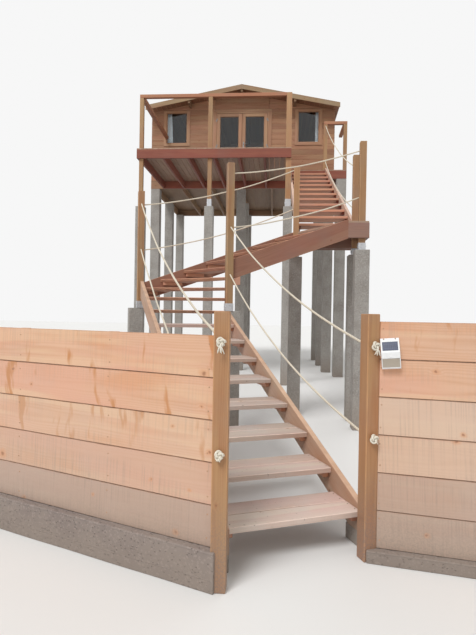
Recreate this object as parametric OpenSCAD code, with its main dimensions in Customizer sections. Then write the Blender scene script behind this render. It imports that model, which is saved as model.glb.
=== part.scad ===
// Tree house on a wooded slope. A gate between two board fences opens on a lower
// flight of open treads. The flight winds round an inner post, climbs to a
// landing by a middle flight, and an upper flight leads to a deck with a guard
// rail and a low-gabled timber cabin.
// Millimetres, +Z up, +Y uphill. The origin is the foot centre of the left
// gatepost, on the lowest ground. Every foot and pier runs down to z = 0.

/* [Posts] */
// Width of the square timber posts
post_w = 90; // [70:5:110]
// Width of the heavier post beside the upper flight
big_post_w = 120; // [100:5:140]
// Height of the metal shoe under a post
shoe_h = 100; // [60:5:160]
// Thickness of the shoe's metal
shoe_t = 5; // [3:1:8]
// Width of the concrete pier under a post
pier_w = 200; // [160:10:260]
// Clearance where one timber meets another
timber_gap = 0.2; // [0.1:0.1:0.5]

/* [Gate and fences] */
// Top of the gateposts
gatepost_h = 1600; // [1400:10:1900]
// How far the right gatepost stands in from the right stringer's inner face
gatepost_in = 33; // [0:1:60]
// How far the right gatepost stands before the first tread
gatepost_before = 119; // [100:1:180]
// Heading of the left fence, seen from above
left_fence_turn = 158; // [140:1:170]
// Heading of the right fence, seen from above
right_fence_turn = -11; // [-30:1:0]
// Length of each fence bay
bay_l = 2450; // [1800:50:3000]
// Height of a fence plank
plank_h = 240; // [180:5:300]
// Gap between two planks
plank_gap = 5; // [3:1:12]
// Thickness of a fence plank
plank_t = 28; // [20:1:40]
// Number of planks in the left fence
left_planks = 5; // [3:1:6]
// Number of planks in the right fence
right_planks = 6; // [3:1:7]
// Height of the concrete plinth under the left fence
left_plinth_h = 237; // [120:1:300]
// Height of the concrete plinth under the right fence
right_plinth_h = 85; // [60:1:200]
// Thickness of the plinths
plinth_t = 130; // [100:5:200]
// Width of the battens behind the planks
batten_w = 70; // [50:5:100]
// Thickness of the battens
batten_t = 35; // [25:1:50]

/* [Solar lamp] */
// Width of the lamp on the right fence
lamp_w = 116; // [90:1:150]
// Height of the lamp
lamp_h = 195; // [170:1:240]
// Depth of the lamp at its head
lamp_d = 50; // [48:1:60]
// Height of its raked head
lamp_head_h = 88; // [70:1:110]
// Depth of the head's top
lamp_top_d = 14; // [8:0.5:20]
// Depth of the chin under the head
lamp_chin_d = 47; // [40:0.5:48]
// Height of the chin
lamp_chin_h = 40; // [25:1:55]
// Depth of the lamp's foot
lamp_foot_d = 38; // [30:1:44]
// Slant at the foot's lower edge
lamp_foot_slant = 7; // [4:0.5:10]
// How far the lamp hangs askew
lamp_lean = 5; // [0:0.5:7]
// Distance from the gatepost's centre to the lamp's near side
lamp_off = 78; // [78:1:120]
// Height of the lamp's foot
lamp_z = 1247; // [1150:1:1300]

/* [Lower flight] */
// Heading of the lower flight, left of uphill
stair_turn = 22.6; // [10:0.1:30]
// Nosing corner of the first tread, across the slope
stair_x = 905; // [890:1:1100]
// Nosing corner of the first tread, up the slope
stair_y = 573; // [540:1:800]
// Clear width between the stringers
tread_l = 945; // [800:5:1000]
// Going of one step
going = 408; // [390:1:430]
// Rise of one step in the lower flight
rise = 170; // [150:1:190]
// Top of the first tread
first_top = 262; // [240:1:300]
// Number of parallel treads in the lower flight
lower_count = 9; // [9:1:9]
// Thickness of a tread board
tread_t = 40; // [30:1:50]
// Depth of a tread, front to back
tread_d = 380; // [340:5:385]
// Gap between the two boards of a tread
tread_gap = 6; // [3:1:12]
// Side of the square cleats under the tread ends
cleat_w = 45; // [30:1:60]
// Thickness of the stringer boards
stringer_t = 45; // [35:1:60]
// Depth of a stringer board
stringer_d = 225; // [180:5:260]
// Height of the stringer's edge above the nosings
edge_over = 20; // [10:1:40]
// Start of the stringers, from the first nosing
stringer_start = -30; // [-60:5:-10]
// Ground at the gate, where the stringers stand on footings
gate_ground = 110; // [60:5:140]

/* [Turn] */
// Distance along the lower flight to the inner post's centre
turn_start = 3250; // [3245:1:3300]
// Angle of the first winder's edge
winder_first = 21.7; // [18:0.1:24]
// Angle from one winder's edge to the next
winder_step = 15; // [14:0.1:15.5]
// Distance along the lower flight to the turn's back edge
turn_back = 4200; // [4150:5:4300]
// Rise of one step in the turn and the middle flight
turn_rise = 138.5; // [125:0.5:150]
// How far a winder reaches under the next one
winder_lap = 20; // [10:1:40]
// Top of the inner post
inner_post_top = 3565; // [3450:5:3700]
// Top of the outer post
outer_post_top = 3330; // [3250:5:3500]
// Clearance between a shoe and the stringer beside it
shoe_fit = 3; // [1:1:10]

/* [Middle flight] */
// Number of steps in the middle flight
middle_count = 4; // [4:1:4]
// Front end of its first nosing, across the lower flight
middle_front_first = 227; // [200:1:260]
// Front end of the landing's nosing, across the lower flight
middle_front_last = 1690; // [1640:5:1760]
// Front end of the landing's nosing, along the lower flight
middle_front_end = 3030; // [3000:5:3080]
// Back end of its first nosing, across the lower flight
middle_back_first = -31; // [-60:1:0]
// Back end of the landing's nosing, across the lower flight
middle_back_last = 1445; // [1400:5:1500]
// Depth of the middle stringers
middle_stringer_d = 250; // [200:5:280]
// Height of the middle stringers' edges above the nosings
middle_over = 15; // [5:1:30]

/* [Landing] */
// Length of the landing, up the slope
landing_l = 1325; // [1250:5:1500]
// Thickness of the boards of the landing and the deck
board_t = 28; // [22:1:40]
// Depth of the landing's frame
landing_frame_d = 210; // [150:5:240]
// Top of the landing's posts at its open side
landing_post_top = 4012; // [3900:2:4150]
// Top of the landing's post at the middle flight
corner_post_top = 3932; // [3850:2:4050]
// Distance from the landing's front to its second post
second_post_off = 670; // [500:10:900]
// Foot of the landing posts' shoes
landing_shoe_z = 2500; // [2350:10:2540]

/* [Upper flight] */
// Number of treads in the upper flight
upper_count = 11; // [11:1:11]
// Rise of one step in the upper flight
upper_rise = 201.2; // [180:0.1:215]
// Clear width between its stringers
upper_tread_l = 873; // [800:1:950]
// Height of its stringers' edges above the nosings
upper_edge_over = 40; // [20:1:60]
// Distance from its first nosing to the landing's back
upper_setback = 45; // [30:5:80]

/* [Deck] */
// Width of the deck's front part
deck_w = 3505; // [3200:5:3800]
// How far the deck's front lies before the top of the stairs
deck_step = 1718; // [1500:2:1900]
// Depth of the strip between the stairs and the cabin
strip_d = 962; // [900:2:1100]
// Width of the strip, from the deck's front part to its open end
strip_w = 1465; // [1350:5:1600]
// Depth of the deck's frame boards
frame_d = 200; // [160:5:240]
// Thickness of the deck's frame boards
frame_t = 45; // [35:1:60]
// Number of joists inside the deck's front part
deck_joists = 5; // [3:1:8]
// Distance from the deck's left end to its middle post
middle_post_off = 1672; // [1400:2:2000]
// Foot of the deck posts' shoes
deck_shoe_z = 4002; // [3800:2:4200]
// Height of the deck posts' shoes
deck_shoe_h = 169; // [120:1:220]
// Width of the pier under the strip's open corner
corner_pier_w = 250; // [200:10:300]

/* [Guard rail] */
// Height of the guard rail above the deck
rail_h = 1240; // [1000:5:1300]
// Depth of the rail
rail_d = 75; // [45:5:100]

/* [Cabin] */
// Width of the cabin over its side walls
cabin_w = 5120; // [4800:10:5400]
// Depth of the cabin over its front and back walls
cabin_d = 3800; // [3200:10:4400]
// How far the cabin's middle lies left of the upper flight
cabin_shift = 1300; // [1200:5:1400]
// Thickness of the cabin's walls
wall_t = 44; // [34:1:60]
// Height of the side walls
wall_h = 1920; // [1915:5:2200]
// Slope of the roof
roof_slope = 0.2; // [0.15:0.01:0.4]
// Thickness of the roof, measured plumb
roof_t = 78; // [50:1:100]
// Overhang of the roof at the gables
gable_overhang = 350; // [200:10:500]
// Overhang of the roof at the eaves
eave_overhang = 90; // [60:5:200]
// Depth of the barge boards
barge_d = 130; // [100:5:180]
// Thickness of the barge boards
barge_t = 28; // [18:1:40]
// Width of the roof beams
beam_w = 60; // [45:5:90]
// Depth of the roof beams
beam_d = 110; // [80:5:140]
// Distance from the ridge to the side beams
beam_off = 1450; // [1300:10:1700]
// Width of the floor piers
floor_pier_w = 250; // [200:10:300]

/* [Doors] */
// Width of the doorway in the wall
door_w = 1510; // [1400:10:1600]
// Height of the doorway in the wall
door_h = 1910; // [1850:5:1910]
// Width of the door frame's members
door_frame_w = 45; // [35:1:60]
// How far the door frame stands out from the wall
door_frame_out = 20; // [10:1:30]
// Clearance all round a door leaf
leaf_gap = 5; // [5:1:8]
// Clearance where the two leaves meet
meeting_gap = 9; // [9:1:12]
// Thickness of a door leaf
leaf_t = 44; // [36:1:50]
// Width of a door leaf's stiles
stile_w = 85; // [60:1:110]
// Height of a door leaf's bottom rail
bottom_rail_h = 160; // [100:5:300]
// Thickness of the glass
glass_t = 8; // [4:1:12]
// Radius of a hinge's barrel
hinge_r = 8; // [7:0.5:10]
// Radius of a hinge's pin
pin_r = 4; // [3:0.5:5]
// Height of the pin above the lower half
pin_h = 32; // [24:1:36]
// Height of the pin's bore in the upper half
pin_bore_h = 34; // [26:1:38]
// Running clearance of the hinge pin
pin_fit = 0.05; // [0.02:0.01:0.1]
// Gap between the two halves of a hinge
hinge_play = 0.3; // [0.2:0.1:0.6]
// Length of a hinge's plate
plate_l = 30; // [26:1:40]
// Thickness of a hinge's plate
plate_t = 3; // [2:0.5:4]
// Height of half a hinge
hinge_h = 40; // [30:1:60]

/* [Windows] */
// Width of a window's glass
window_w = 560; // [450:10:700]
// Height of a window's glass
window_h = 835; // [700:5:835]
// Height of a window's sill above the deck
sill_h = 1055; // [900:5:1055]
// Distance from the cabin's middle to a window's middle
window_off = 1840; // [1700:5:1900]
// Width of the members of a window's frame
sash_w = 40; // [25:1:60]
// Width of the trim boards round the openings
trim_w = 70; // [50:5:80]
// Thickness of the trim boards
trim_t = 18; // [10:1:25]
// Radius of the curtain rods
rod_r = 8; // [6:1:12]
// Distance from the wall to the middle of a rod
rod_off = 60; // [45:5:90]
// Height of a rod above its window's frame
rod_up = 25; // [20:1:40]
// How far a rod reaches past its window's frame
rod_over = 40; // [20:5:60]
// Width of the left window's drawn curtain
left_curtain_w = 190; // [120:10:300]
// Width of the right window's drawn curtain
right_curtain_w = 130; // [80:10:300]
// Length of the curtains
curtain_l = 1000; // [800:10:1100]
// Depth of a curtain's folds
curtain_d = 50; // [30:5:70]
// Clearance between a curtain and its rod
curtain_gap = 0.3; // [0.2:0.1:0.8]

/* [Ropes] */
// Diameter of the ropes
rope_d = 18; // [12:1:24]
// Clearance between a rope's end and the post that it enters
rope_seat = 0.3; // [0.2:0.1:0.8]
// Radius of the knots on the gateposts
knot_r = 22; // [16:1:28]
// Height of the upper ropes on the turn's outer post
outer_upper_rope = 3137; // [3100:1:3180]
// Height of the lower ropes on the turn's outer post
outer_lower_rope = 2486; // [2450:1:2520]
// Height of the gate's upper rope on the turn's inner post
inner_gate_upper_rope = 2716; // [2680:1:2760]
// Height of the gate's lower rope on the turn's inner post
inner_gate_lower_rope = 2096; // [2060:1:2130]
// Height of the middle flight's upper rope on the inner post
inner_upper_rope = 3436; // [3400:1:3470]
// Height of the middle flight's lower rope on the inner post
inner_lower_rope = 2723; // [2700:1:2760]
// Height of the upper rope on the landing's corner post
corner_upper_rope = 3880; // [3840:5:3900]
// Height of the lower rope on the landing's corner post
corner_lower_rope = 3265; // [3220:5:3300]
// Height of the upper rope on the landing's front post
front_upper_rope = 3885; // [3850:5:3920]
// Height of the lower rope on the landing's front post
front_lower_rope = 3235; // [3200:5:3270]
// Height of the upper rope on the landing's second post
second_upper_rope = 3850; // [3820:5:3890]
// Height of the lower rope on the landing's second post
second_lower_rope = 3200; // [3160:5:3240]
// Height of the upper rope above the deck
top_upper_rope = 1115; // [1080:5:1150]
// Height of the lower rope above the deck
top_lower_rope = 210; // [170:5:250]
// Height of the upper knot on the left gatepost
left_upper_knot = 1425; // [1200:5:1500]
// Height of the lower knot on the left gatepost
left_lower_knot = 790; // [600:5:1000]
// Height of the upper knot on the right gatepost
right_upper_knot = 1395; // [1200:5:1500]
// Height of the lower knot on the right gatepost
right_lower_knot = 800; // [600:5:1000]

/* [Hidden] */
$fn = 48;

// A length well past every cut
far = 3 * tread_l;
// A small overrun, so that a cutter passes the face it cuts
past = 1;

// Turn of a point round the origin
function turned(p, a) = [p[0] * cos(a) - p[1] * sin(a), p[0] * sin(a) + p[1] * cos(a)];
// A point of the lower flight (across, along) as a point of the plan
function to_plan(p) = [stair_x, stair_y] + turned(p, stair_turn);
// Meeting point of the line through p along d and the line through q along e
function meet(p, d, q, e) =
    p + d * ((q[0] - p[0]) * e[1] - (q[1] - p[1]) * e[0]) / (d[0] * e[1] - d[1] * e[0]);
function unit(v) = v / norm(v);
// The vector turned a quarter turn to its left
function left_of(v) = [-v[1], v[0]];
// An anticlockwise outline drawn in by a margin
function inset(p, margin) = [
    for (i = [0 : len(p) - 1])
        let (a = p[(i + len(p) - 1) % len(p)], b = p[i], c = p[(i + 1) % len(p)])
        meet(a + left_of(unit(b - a)) * margin, b - a, b + left_of(unit(c - b)) * margin, c - b)];

// Lower flight, in its own frame: x across it, y along it
slope = rise / going;
stringer_plumb = stringer_d / cos(atan(slope));
inner_post = [post_w / 2, turn_start];
outer_post = [-tread_l - post_w / 2, turn_back + post_w / 2];
winder_top = first_top + lower_count * rise;
function edge_z(s) = first_top + edge_over + slope * s;
inner_shoe_z = edge_z(turn_start - post_w / 2) + shoe_fit;

// Middle flight, in the lower flight's frame
landing_z = winder_top + 2 * middle_count * turn_rise;
middle_front_start = [post_w, turn_start];
middle_front_corner = [middle_front_last, middle_front_end];
middle_back_corner = [middle_back_last, turn_back];
middle_front_run = middle_front_corner - middle_front_start;
middle_front_dir = unit(middle_front_run);
middle_front_angle = atan2(middle_front_run[1], middle_front_run[0]);
middle_slope = turn_rise * middle_count / (middle_back_last - middle_back_first);
middle_plumb = middle_stringer_d / cos(atan(middle_slope));
// Where the treads end before the front stringer
middle_inner = middle_front_start + left_of(middle_front_dir) * (stringer_t + timber_gap);

// Landing, in plan
landing_front = to_plan(middle_front_corner);
landing_side = to_plan(middle_back_corner);
landing_left = landing_side[0];
landing_right = landing_left + upper_tread_l + 2 * stringer_t;
landing_back = landing_front[1] + landing_l;
landing_outline = [
    landing_front, [landing_right, landing_front[1]], [landing_right, landing_back],
    [landing_left, landing_back], landing_side];
landing_posts_at = [
    [landing_right - frame_t - post_w / 2, landing_front[1] + frame_t + post_w / 2],
    [landing_right - frame_t - post_w / 2, landing_front[1] + second_post_off]];

// Upper flight
upper_first = landing_back - upper_setback;
upper_slope = upper_rise / going;
upper_plumb = stringer_d / cos(atan(upper_slope));
upper_start = landing_side[1] + post_w / 2;
strip_front = upper_first + upper_count * going;
function upper_edge_z(y) =
    landing_z + upper_rise + upper_edge_over + upper_slope * (y - upper_first);

// Deck
deck_z = landing_z + (upper_count + 1) * upper_rise;
frame_top = deck_z - board_t;
frame_base = frame_top - frame_d;
deck_left = landing_left - deck_w;
deck_front = strip_front - deck_step;
cabin_front = strip_front + strip_d;
strip_right = landing_left + strip_w;
rail_base = deck_z + rail_h - rail_d;
rail_top = deck_z + rail_h;
post_y = deck_front + frame_t + post_w / 2;
corner_post = [deck_left + frame_t + post_w / 2, post_y];
middle_post = [deck_left + middle_post_off, post_y];
big_post = [landing_left - big_post_w / 2, deck_front + frame_t + big_post_w / 2];
top_left_post = [landing_left - post_w / 2, strip_front + post_w / 2];
top_right_post = [landing_right - post_w / 2, strip_front + post_w / 2];
strip_post = [strip_right - post_w / 2, strip_front + post_w / 2];

// Cabin
cabin_x = landing_left - cabin_shift;
cabin_left = cabin_x - cabin_w / 2;
cabin_right = cabin_x + cabin_w / 2;
cabin_back = cabin_front + cabin_d;
cabin_base = deck_z;
function roof_z(x) = cabin_base + wall_h + roof_slope * (cabin_w / 2 - abs(x - cabin_x));
roof_front = cabin_front - gable_overhang;
roof_back = cabin_back + gable_overhang;
door_left = cabin_x - door_w / 2;
door_right = cabin_x + door_w / 2;
doorway = [door_left - timber_gap, door_right + timber_gap];
window_centres = [cabin_x - window_off, cabin_x + window_off];

// Door leaves
leaf_face = cabin_front - door_frame_out;
leaf_w = (door_w - 2 * door_frame_w - 2 * leaf_gap - meeting_gap) / 2;
leaf_base = cabin_base + door_frame_w + leaf_gap;
leaf_h = door_h - 2 * door_frame_w - 2 * leaf_gap;
hinge_y = leaf_face - hinge_r;
hinge_left = door_left + door_frame_w + leaf_gap / 2;
hinge_right = door_right - door_frame_w - leaf_gap / 2;
hinge_zs = [leaf_base + leaf_h / 10, leaf_base + leaf_h / 2, leaf_base + leaf_h * 9 / 10];

// Route points of the ropes between their posts, from the upper end down, or
// uphill beside the middle and the upper flight
gate_left_upper_route = [
    [-1420, 3565, 2845], [-1215, 3065, 2575], [-1015, 2560, 2325], [-810, 2060, 2100],
    [-610, 1555, 1900], [-405, 1050, 1715], [-205, 550, 1560]];
gate_left_lower_route = [
    [-1420, 3565, 2210], [-1215, 3065, 1950], [-1015, 2560, 1710], [-810, 2060, 1490],
    [-610, 1555, 1285], [-405, 1050, 1100], [-205, 550, 935]];
gate_right_upper_route = [
    [-135, 3165, 2490], [10, 2785, 2280], [160, 2405, 2090], [310, 2020, 1915],
    [455, 1640, 1760], [605, 1255, 1620], [755, 875, 1500]];
gate_right_lower_route = [
    [-135, 3165, 1860], [10, 2785, 1650], [160, 2405, 1455], [310, 2020, 1280],
    [455, 1640, 1130], [605, 1255, 1000], [755, 875, 890]];
middle_back_upper_route = [
    [-1325, 4240, 3190], [-1055, 4350, 3255], [-780, 4460, 3330], [-510, 4565, 3420],
    [-235, 4675, 3515], [35, 4785, 3625], [310, 4895, 3750]];
middle_back_lower_route = [
    [-1325, 4240, 2545], [-1055, 4350, 2615], [-780, 4460, 2695], [-510, 4565, 2785],
    [-235, 4675, 2890], [35, 4785, 3005], [310, 4895, 3130]];
middle_front_upper_route = [
    [-45, 3670, 3465], [170, 3735, 3505], [380, 3795, 3550], [595, 3860, 3600],
    [810, 3920, 3660], [1025, 3985, 3730], [1240, 4045, 3805]];
middle_front_lower_route = [
    [-45, 3670, 2760], [170, 3735, 2805], [380, 3795, 2860], [595, 3860, 2920],
    [810, 3920, 2985], [1025, 3985, 3060], [1240, 4045, 3145]];
upper_flight_upper_route = [
    [1505, 5365, 4105], [1510, 6000, 4380], [1515, 6630, 4675], [1520, 7260, 4990],
    [1525, 7895, 5320], [1530, 8525, 5670], [1535, 9155, 6040]];
upper_flight_lower_route = [
    [1505, 5365, 3425], [1510, 6000, 3670], [1515, 6630, 3930], [1520, 7260, 4210],
    [1525, 7895, 4510], [1530, 8525, 4830], [1535, 9155, 5170]];

// Frame of the lower flight
module in_stair() {
    translate([stair_x, stair_y, 0]) rotate([0, 0, stair_turn]) children();
}

// Frame of the left fence: x along it, from the left gatepost
module in_left_fence() { rotate([0, 0, left_fence_turn]) children(); }

// Place of the right gatepost
gatepost_local = [-gatepost_in, -gatepost_before];
gatepost_at = to_plan(gatepost_local);
module at_right_gatepost() { translate([gatepost_at[0], gatepost_at[1], 0]) children(); }

// Frame of the right fence
module in_right_fence() { at_right_gatepost() rotate([0, 0, right_fence_turn]) children(); }

// A square post that stands centred on a point of the current frame
module post(at, base, top, w = post_w) {
    translate([at[0] - w / 2, at[1] - w / 2, base]) cube([w, w, top - base]);
}

// A flat slab under an outline, with its top at a height
module slab(outline, top, t) {
    translate([0, 0, top - t]) linear_extrude(t) polygon(outline);
}

// A board that stands on edge along y: its side outline holds (y, z) points
module board_along_y(outline, x, t) {
    translate([x, 0, 0]) rotate([90, 0, 90]) linear_extrude(t) polygon(outline);
}

// A board that stands on edge along x: its side outline holds (x, z) points
module board_along_x(outline, y, t) {
    translate([0, y + t, 0]) rotate([90, 0, 0]) linear_extrude(t) polygon(outline);
}

// Fences: planks one above the other, joined by battens behind them
module fence_panel(count, base, flip) {
    pitch = plank_h + plank_gap;
    top = base + count * pitch - plank_gap;
    for (i = [0 : count - 1])
        translate([0, -plank_t / 2, base + i * pitch]) cube([bay_l, plank_t, plank_h]);
    for (x = [bay_l / 3, bay_l * 2 / 3])
        translate([x - batten_w / 2, flip > 0 ? plank_t / 2 : -plank_t / 2 - batten_t, base])
            cube([batten_w, batten_t, top - base]);
}

module fence_left() {
    color("burlywood") difference() {
        in_left_fence() fence_panel(left_planks, left_plinth_h, -1);
        post([0, 0], 0, gatepost_h);
    }
}

module fence_right() {
    color("burlywood") difference() {
        in_right_fence() fence_panel(right_planks, right_plinth_h, 1);
        right_gatepost_solid();
    }
}

module right_gatepost_solid() {
    at_right_gatepost() rotate([0, 0, stair_turn]) post([0, 0], 0, gatepost_h);
}

module gatepost_left() { color("peru") post([0, 0], 0, gatepost_h); }

module gatepost_right() { color("peru") right_gatepost_solid(); }

// End posts of the bays, behind the planks
module fence_end_post(flip, top) {
    post([bay_l - post_w / 2, flip * (plank_t / 2 + post_w / 2)], 0, top);
}

module fence_posts() {
    pitch = plank_h + plank_gap;
    color("peru") {
        in_left_fence() fence_end_post(-1, left_plinth_h + left_planks * pitch - plank_gap);
        in_right_fence() fence_end_post(1, right_plinth_h + right_planks * pitch - plank_gap);
    }
}

// Concrete plinths under the planks, cast round the posts
module fence_plinths() {
    color("rosybrown") {
        difference() {
            in_left_fence() translate([0, -plinth_t / 2, 0]) cube([bay_l, plinth_t, left_plinth_h]);
            post([0, 0], -past, gatepost_h);
            in_left_fence() fence_end_post(-1, gatepost_h);
        }
        difference() {
            in_right_fence() translate([0, -plinth_t / 2, 0])
                cube([bay_l, plinth_t, right_plinth_h]);
            at_right_gatepost() rotate([0, 0, stair_turn]) post([0, 0], -past, gatepost_h);
            in_right_fence() fence_end_post(1, gatepost_h);
        }
    }
}

// Solar lamp on the right fence: a back plate, a raked head with the panel, and
// a lens below it
module solar_lamp() {
    color("white") in_right_fence()
        translate([lamp_off, -plank_t / 2, lamp_z]) rotate([0, -lamp_lean, 0])
        rotate([90, 0, 90]) linear_extrude(lamp_w)
            polygon([
                [0, 0], [0, lamp_h], [-lamp_top_d, lamp_h], [-lamp_d, lamp_h - lamp_head_h],
                [-lamp_chin_d, lamp_h - lamp_head_h - lamp_chin_h],
                [-lamp_foot_d, lamp_foot_slant], [lamp_foot_slant - lamp_foot_d, 0]]);
}

// Side outline of a lower stringer, up to a distance along the flight
function lower_outline(end) = [
    [stringer_start, gate_ground],
    [stringer_start + (gate_ground - edge_z(stringer_start) + stringer_plumb) / slope, gate_ground],
    [end, edge_z(end) - stringer_plumb], [end, edge_z(end)],
    [stringer_start, edge_z(stringer_start)]];

module lower_stringers() {
    color("rosybrown") in_stair() {
        board_along_y(lower_outline(turn_start - post_w / 2), 0, stringer_t);
        board_along_y(lower_outline(turn_back), -tread_l - stringer_t, stringer_t);
    }
}

// A tread of two boards on a cleat at each end: x along it, y to its back, its
// top at z = 0
module tread(l) {
    board = (tread_d - tread_gap) / 2;
    for (y = [0, board + tread_gap])
        translate([0, y, -tread_t]) cube([l, board, tread_t]);
    for (x = [0, l - cleat_w])
        translate([x, cleat_w, -tread_t - timber_gap - cleat_w])
            cube([cleat_w, tread_d - 2 * cleat_w, cleat_w]);
}

module lower_treads() {
    color("rosybrown") in_stair() for (i = [0 : lower_count - 2])
        translate([-tread_l, i * going, first_top + i * rise]) tread(tread_l);
}

// Direction of a winder's edge, seen from the inner post outwards
function winder_dir(i) = [-cos(winder_first + i * winder_step), sin(winder_first + i * winder_step)];
// A point of the same edge, moved back by a lap
function winder_lapped(i) = inner_post - left_of(winder_dir(i)) * winder_lap;
left_face = [-tread_l, 0];
back_face = [0, turn_back - timber_gap];
along_y = [0, 1];
along_x = [1, 0];
// Nosing of a middle step: its front and back ends
function nosing_x(k) =
    middle_front_first + k * (middle_front_last - middle_front_first) / middle_count;
function nosing_front(k) = middle_front_start
    + middle_front_dir * ((nosing_x(k) - middle_front_start[0]) / middle_front_dir[0]);
function nosing_back(k) = [
    middle_back_first + k * (middle_back_last - middle_back_first) / middle_count,
    turn_back - timber_gap];
function nosing_dir(k) = nosing_back(k) - nosing_front(k);

// Outlines of the winders, in the lower flight's frame
corner_top = [-tread_l, turn_back - timber_gap];
last_lower_nosing = (lower_count - 1) * going;
winder_outlines = [
    [[0, last_lower_nosing], meet(winder_lapped(0), winder_dir(0), [0, 0], along_y),
        meet(winder_lapped(0), winder_dir(0), left_face, along_y), [-tread_l, last_lower_nosing]],
    [inner_post, winder_lapped(1), meet(winder_lapped(1), winder_dir(1), left_face, along_y),
        meet(inner_post, winder_dir(0), left_face, along_y)],
    [inner_post, winder_lapped(2), meet(winder_lapped(2), winder_dir(2), back_face, along_x),
        corner_top, meet(inner_post, winder_dir(1), left_face, along_y)],
    [inner_post, winder_lapped(3), meet(winder_lapped(3), winder_dir(3), back_face, along_x),
        meet(inner_post, winder_dir(2), back_face, along_x)],
    [inner_post, meet([post_w, 0], along_y, middle_inner, middle_front_dir),
        meet(middle_inner, middle_front_dir, nosing_front(0), nosing_dir(0)),
        nosing_back(0), meet(inner_post, winder_dir(3), back_face, along_x)]];

module turn_treads() {
    color("sienna") in_stair() for (i = [0 : len(winder_outlines) - 1]) {
        top = i == 0 ? winder_top - rise : winder_top + (i - 1) * turn_rise;
        difference() {
            slab(winder_outlines[i], top, tread_t);
            post(inner_post, 0, inner_post_top, post_w + 2 * (timber_gap + (i == 0 ? shoe_t : 0)));
        }
    }
}

module turn_posts() {
    color("peru") in_stair() {
        post(inner_post, inner_shoe_z + shoe_t, inner_post_top);
        post(outer_post, outer_shoe_z + shoe_t, outer_post_top);
    }
}

// Height of the middle stringers' edge over a distance across the lower flight
function middle_back_z(x) = landing_z + middle_over - middle_slope * (middle_back_last - x);
middle_front_l = norm(middle_front_run);
middle_front_slope = turn_rise * middle_count
    / ((middle_front_last - middle_front_first) / middle_front_dir[0]);
function middle_front_z(u) = landing_z + middle_over - middle_front_slope * (middle_front_l - u);
outer_shoe_z = min(middle_back_z(-tread_l) - middle_plumb, edge_z(turn_back) - stringer_plumb)
    - shoe_h - shoe_fit;

// Everything on the landing's side of its nosing, in the lower flight's frame
module landing_side_cut() {
    edge = middle_back_corner - middle_front_corner;
    translate([middle_front_corner[0], middle_front_corner[1], 0])
        rotate([0, 0, atan2(edge[1], edge[0])])
            translate([-far, -far, 0]) cube([2 * far, far, landing_z + far]);
}

module middle_stringers() {
    overrun = 2 * post_w;
    x_end = middle_back_last + overrun;
    u_end = middle_front_l + overrun;
    color("sienna") {
        difference() {
            in_stair() board_along_x([
                [-tread_l, middle_back_z(-tread_l) - middle_plumb],
                [x_end, middle_back_z(x_end) - middle_plumb], [x_end, middle_back_z(x_end)],
                [-tread_l, middle_back_z(-tread_l)]], turn_back, stringer_t);
            in_stair() landing_side_cut();
            post(landing_side, 0, corner_post_top);
        }
        in_stair() difference() {
            translate([middle_front_start[0], middle_front_start[1], 0])
                rotate([0, 0, middle_front_angle])
                    board_along_x([
                        [-post_w, middle_front_z(-post_w) - middle_plumb],
                        [u_end, middle_front_z(u_end) - middle_plumb],
                        [u_end, middle_front_z(u_end)], [-post_w, middle_front_z(-post_w)]],
                        0, stringer_t);
            landing_side_cut();
            translate([post_w - far, 0, 0]) cube([far, 2 * far, landing_z + far]);
        }
    }
}

// Treads of the middle flight: their ends meet both stringers
module middle_treads() {
    shrink = (going - tread_d) / 2;
    color("sienna") difference() {
        in_stair() for (k = [0 : middle_count - 1]) {
            back = k < middle_count - 1 ? shrink : timber_gap;
            slab([
                meet(middle_inner, middle_front_dir, nosing_front(k), nosing_dir(k)),
                meet(middle_inner, middle_front_dir, nosing_front(k + 1) - [back, 0],
                    nosing_dir(k + 1)),
                nosing_back(k + 1) - [back, 0], nosing_back(k)],
                winder_top + (middle_count + k) * turn_rise, tread_t);
        }
        landing_posts_cut(timber_gap);
    }
}

module landing_posts_cut(fit) {
    for (p = landing_posts_at) post(p, 0, landing_post_top, post_w + 2 * fit);
    post(landing_side, 0, corner_post_top, post_w + 2 * fit);
}

// Frame round the landing, with joists across it
module landing_frame() {
    top = landing_z - board_t;
    span = landing_right - landing_left - 2 * frame_t + 2 * past;
    color("sienna") difference() {
        union() {
            difference() {
                slab(landing_outline, top, landing_frame_d);
                slab(inset(landing_outline, frame_t), top + past, landing_frame_d + 2 * past);
            }
            for (y = [landing_side[1] + post_w / 2 + frame_t, (landing_side[1] + landing_back) / 2])
                translate([landing_left + frame_t - past, y, top - landing_frame_d])
                    cube([span, frame_t, landing_frame_d]);
        }
        landing_posts_cut(0);
    }
}

module landing_boards() {
    color("sienna") difference() {
        slab(landing_outline, landing_z, board_t);
        landing_posts_cut(0);
    }
}

module landing_posts() {
    color("peru") {
        for (p = landing_posts_at) post(p, landing_shoe_z + shoe_t, landing_post_top);
        post(landing_side, landing_shoe_z + shoe_t, corner_post_top);
    }
}

// Stringers of the upper flight: a level cut on the landing, a plumb cut at the
// deck
upper_outline = [
    [upper_start, landing_z],
    [upper_first + (landing_z + upper_plumb - upper_edge_z(upper_first)) / upper_slope, landing_z],
    [strip_front, upper_edge_z(strip_front) - upper_plumb],
    [strip_front, upper_edge_z(strip_front)],
    [upper_start, upper_edge_z(upper_start)]];

module upper_stringers() {
    color("rosybrown") {
        board_along_y(upper_outline, landing_left, stringer_t);
        board_along_y(upper_outline, landing_right - stringer_t, stringer_t);
    }
}

module upper_treads() {
    color("rosybrown") for (i = [0 : upper_count - 1])
        translate([landing_left + stringer_t, upper_first + i * going,
            landing_z + (i + 1) * upper_rise]) tread(upper_tread_l);
}

// Shoe under a post: a plate and four sides that hold the post's foot
module shoe(at, z, h, w = post_w) {
    difference() {
        post(at, z, z + h, w + 2 * shoe_t);
        post(at, z + shoe_t, z + h + past, w);
    }
}

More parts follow.
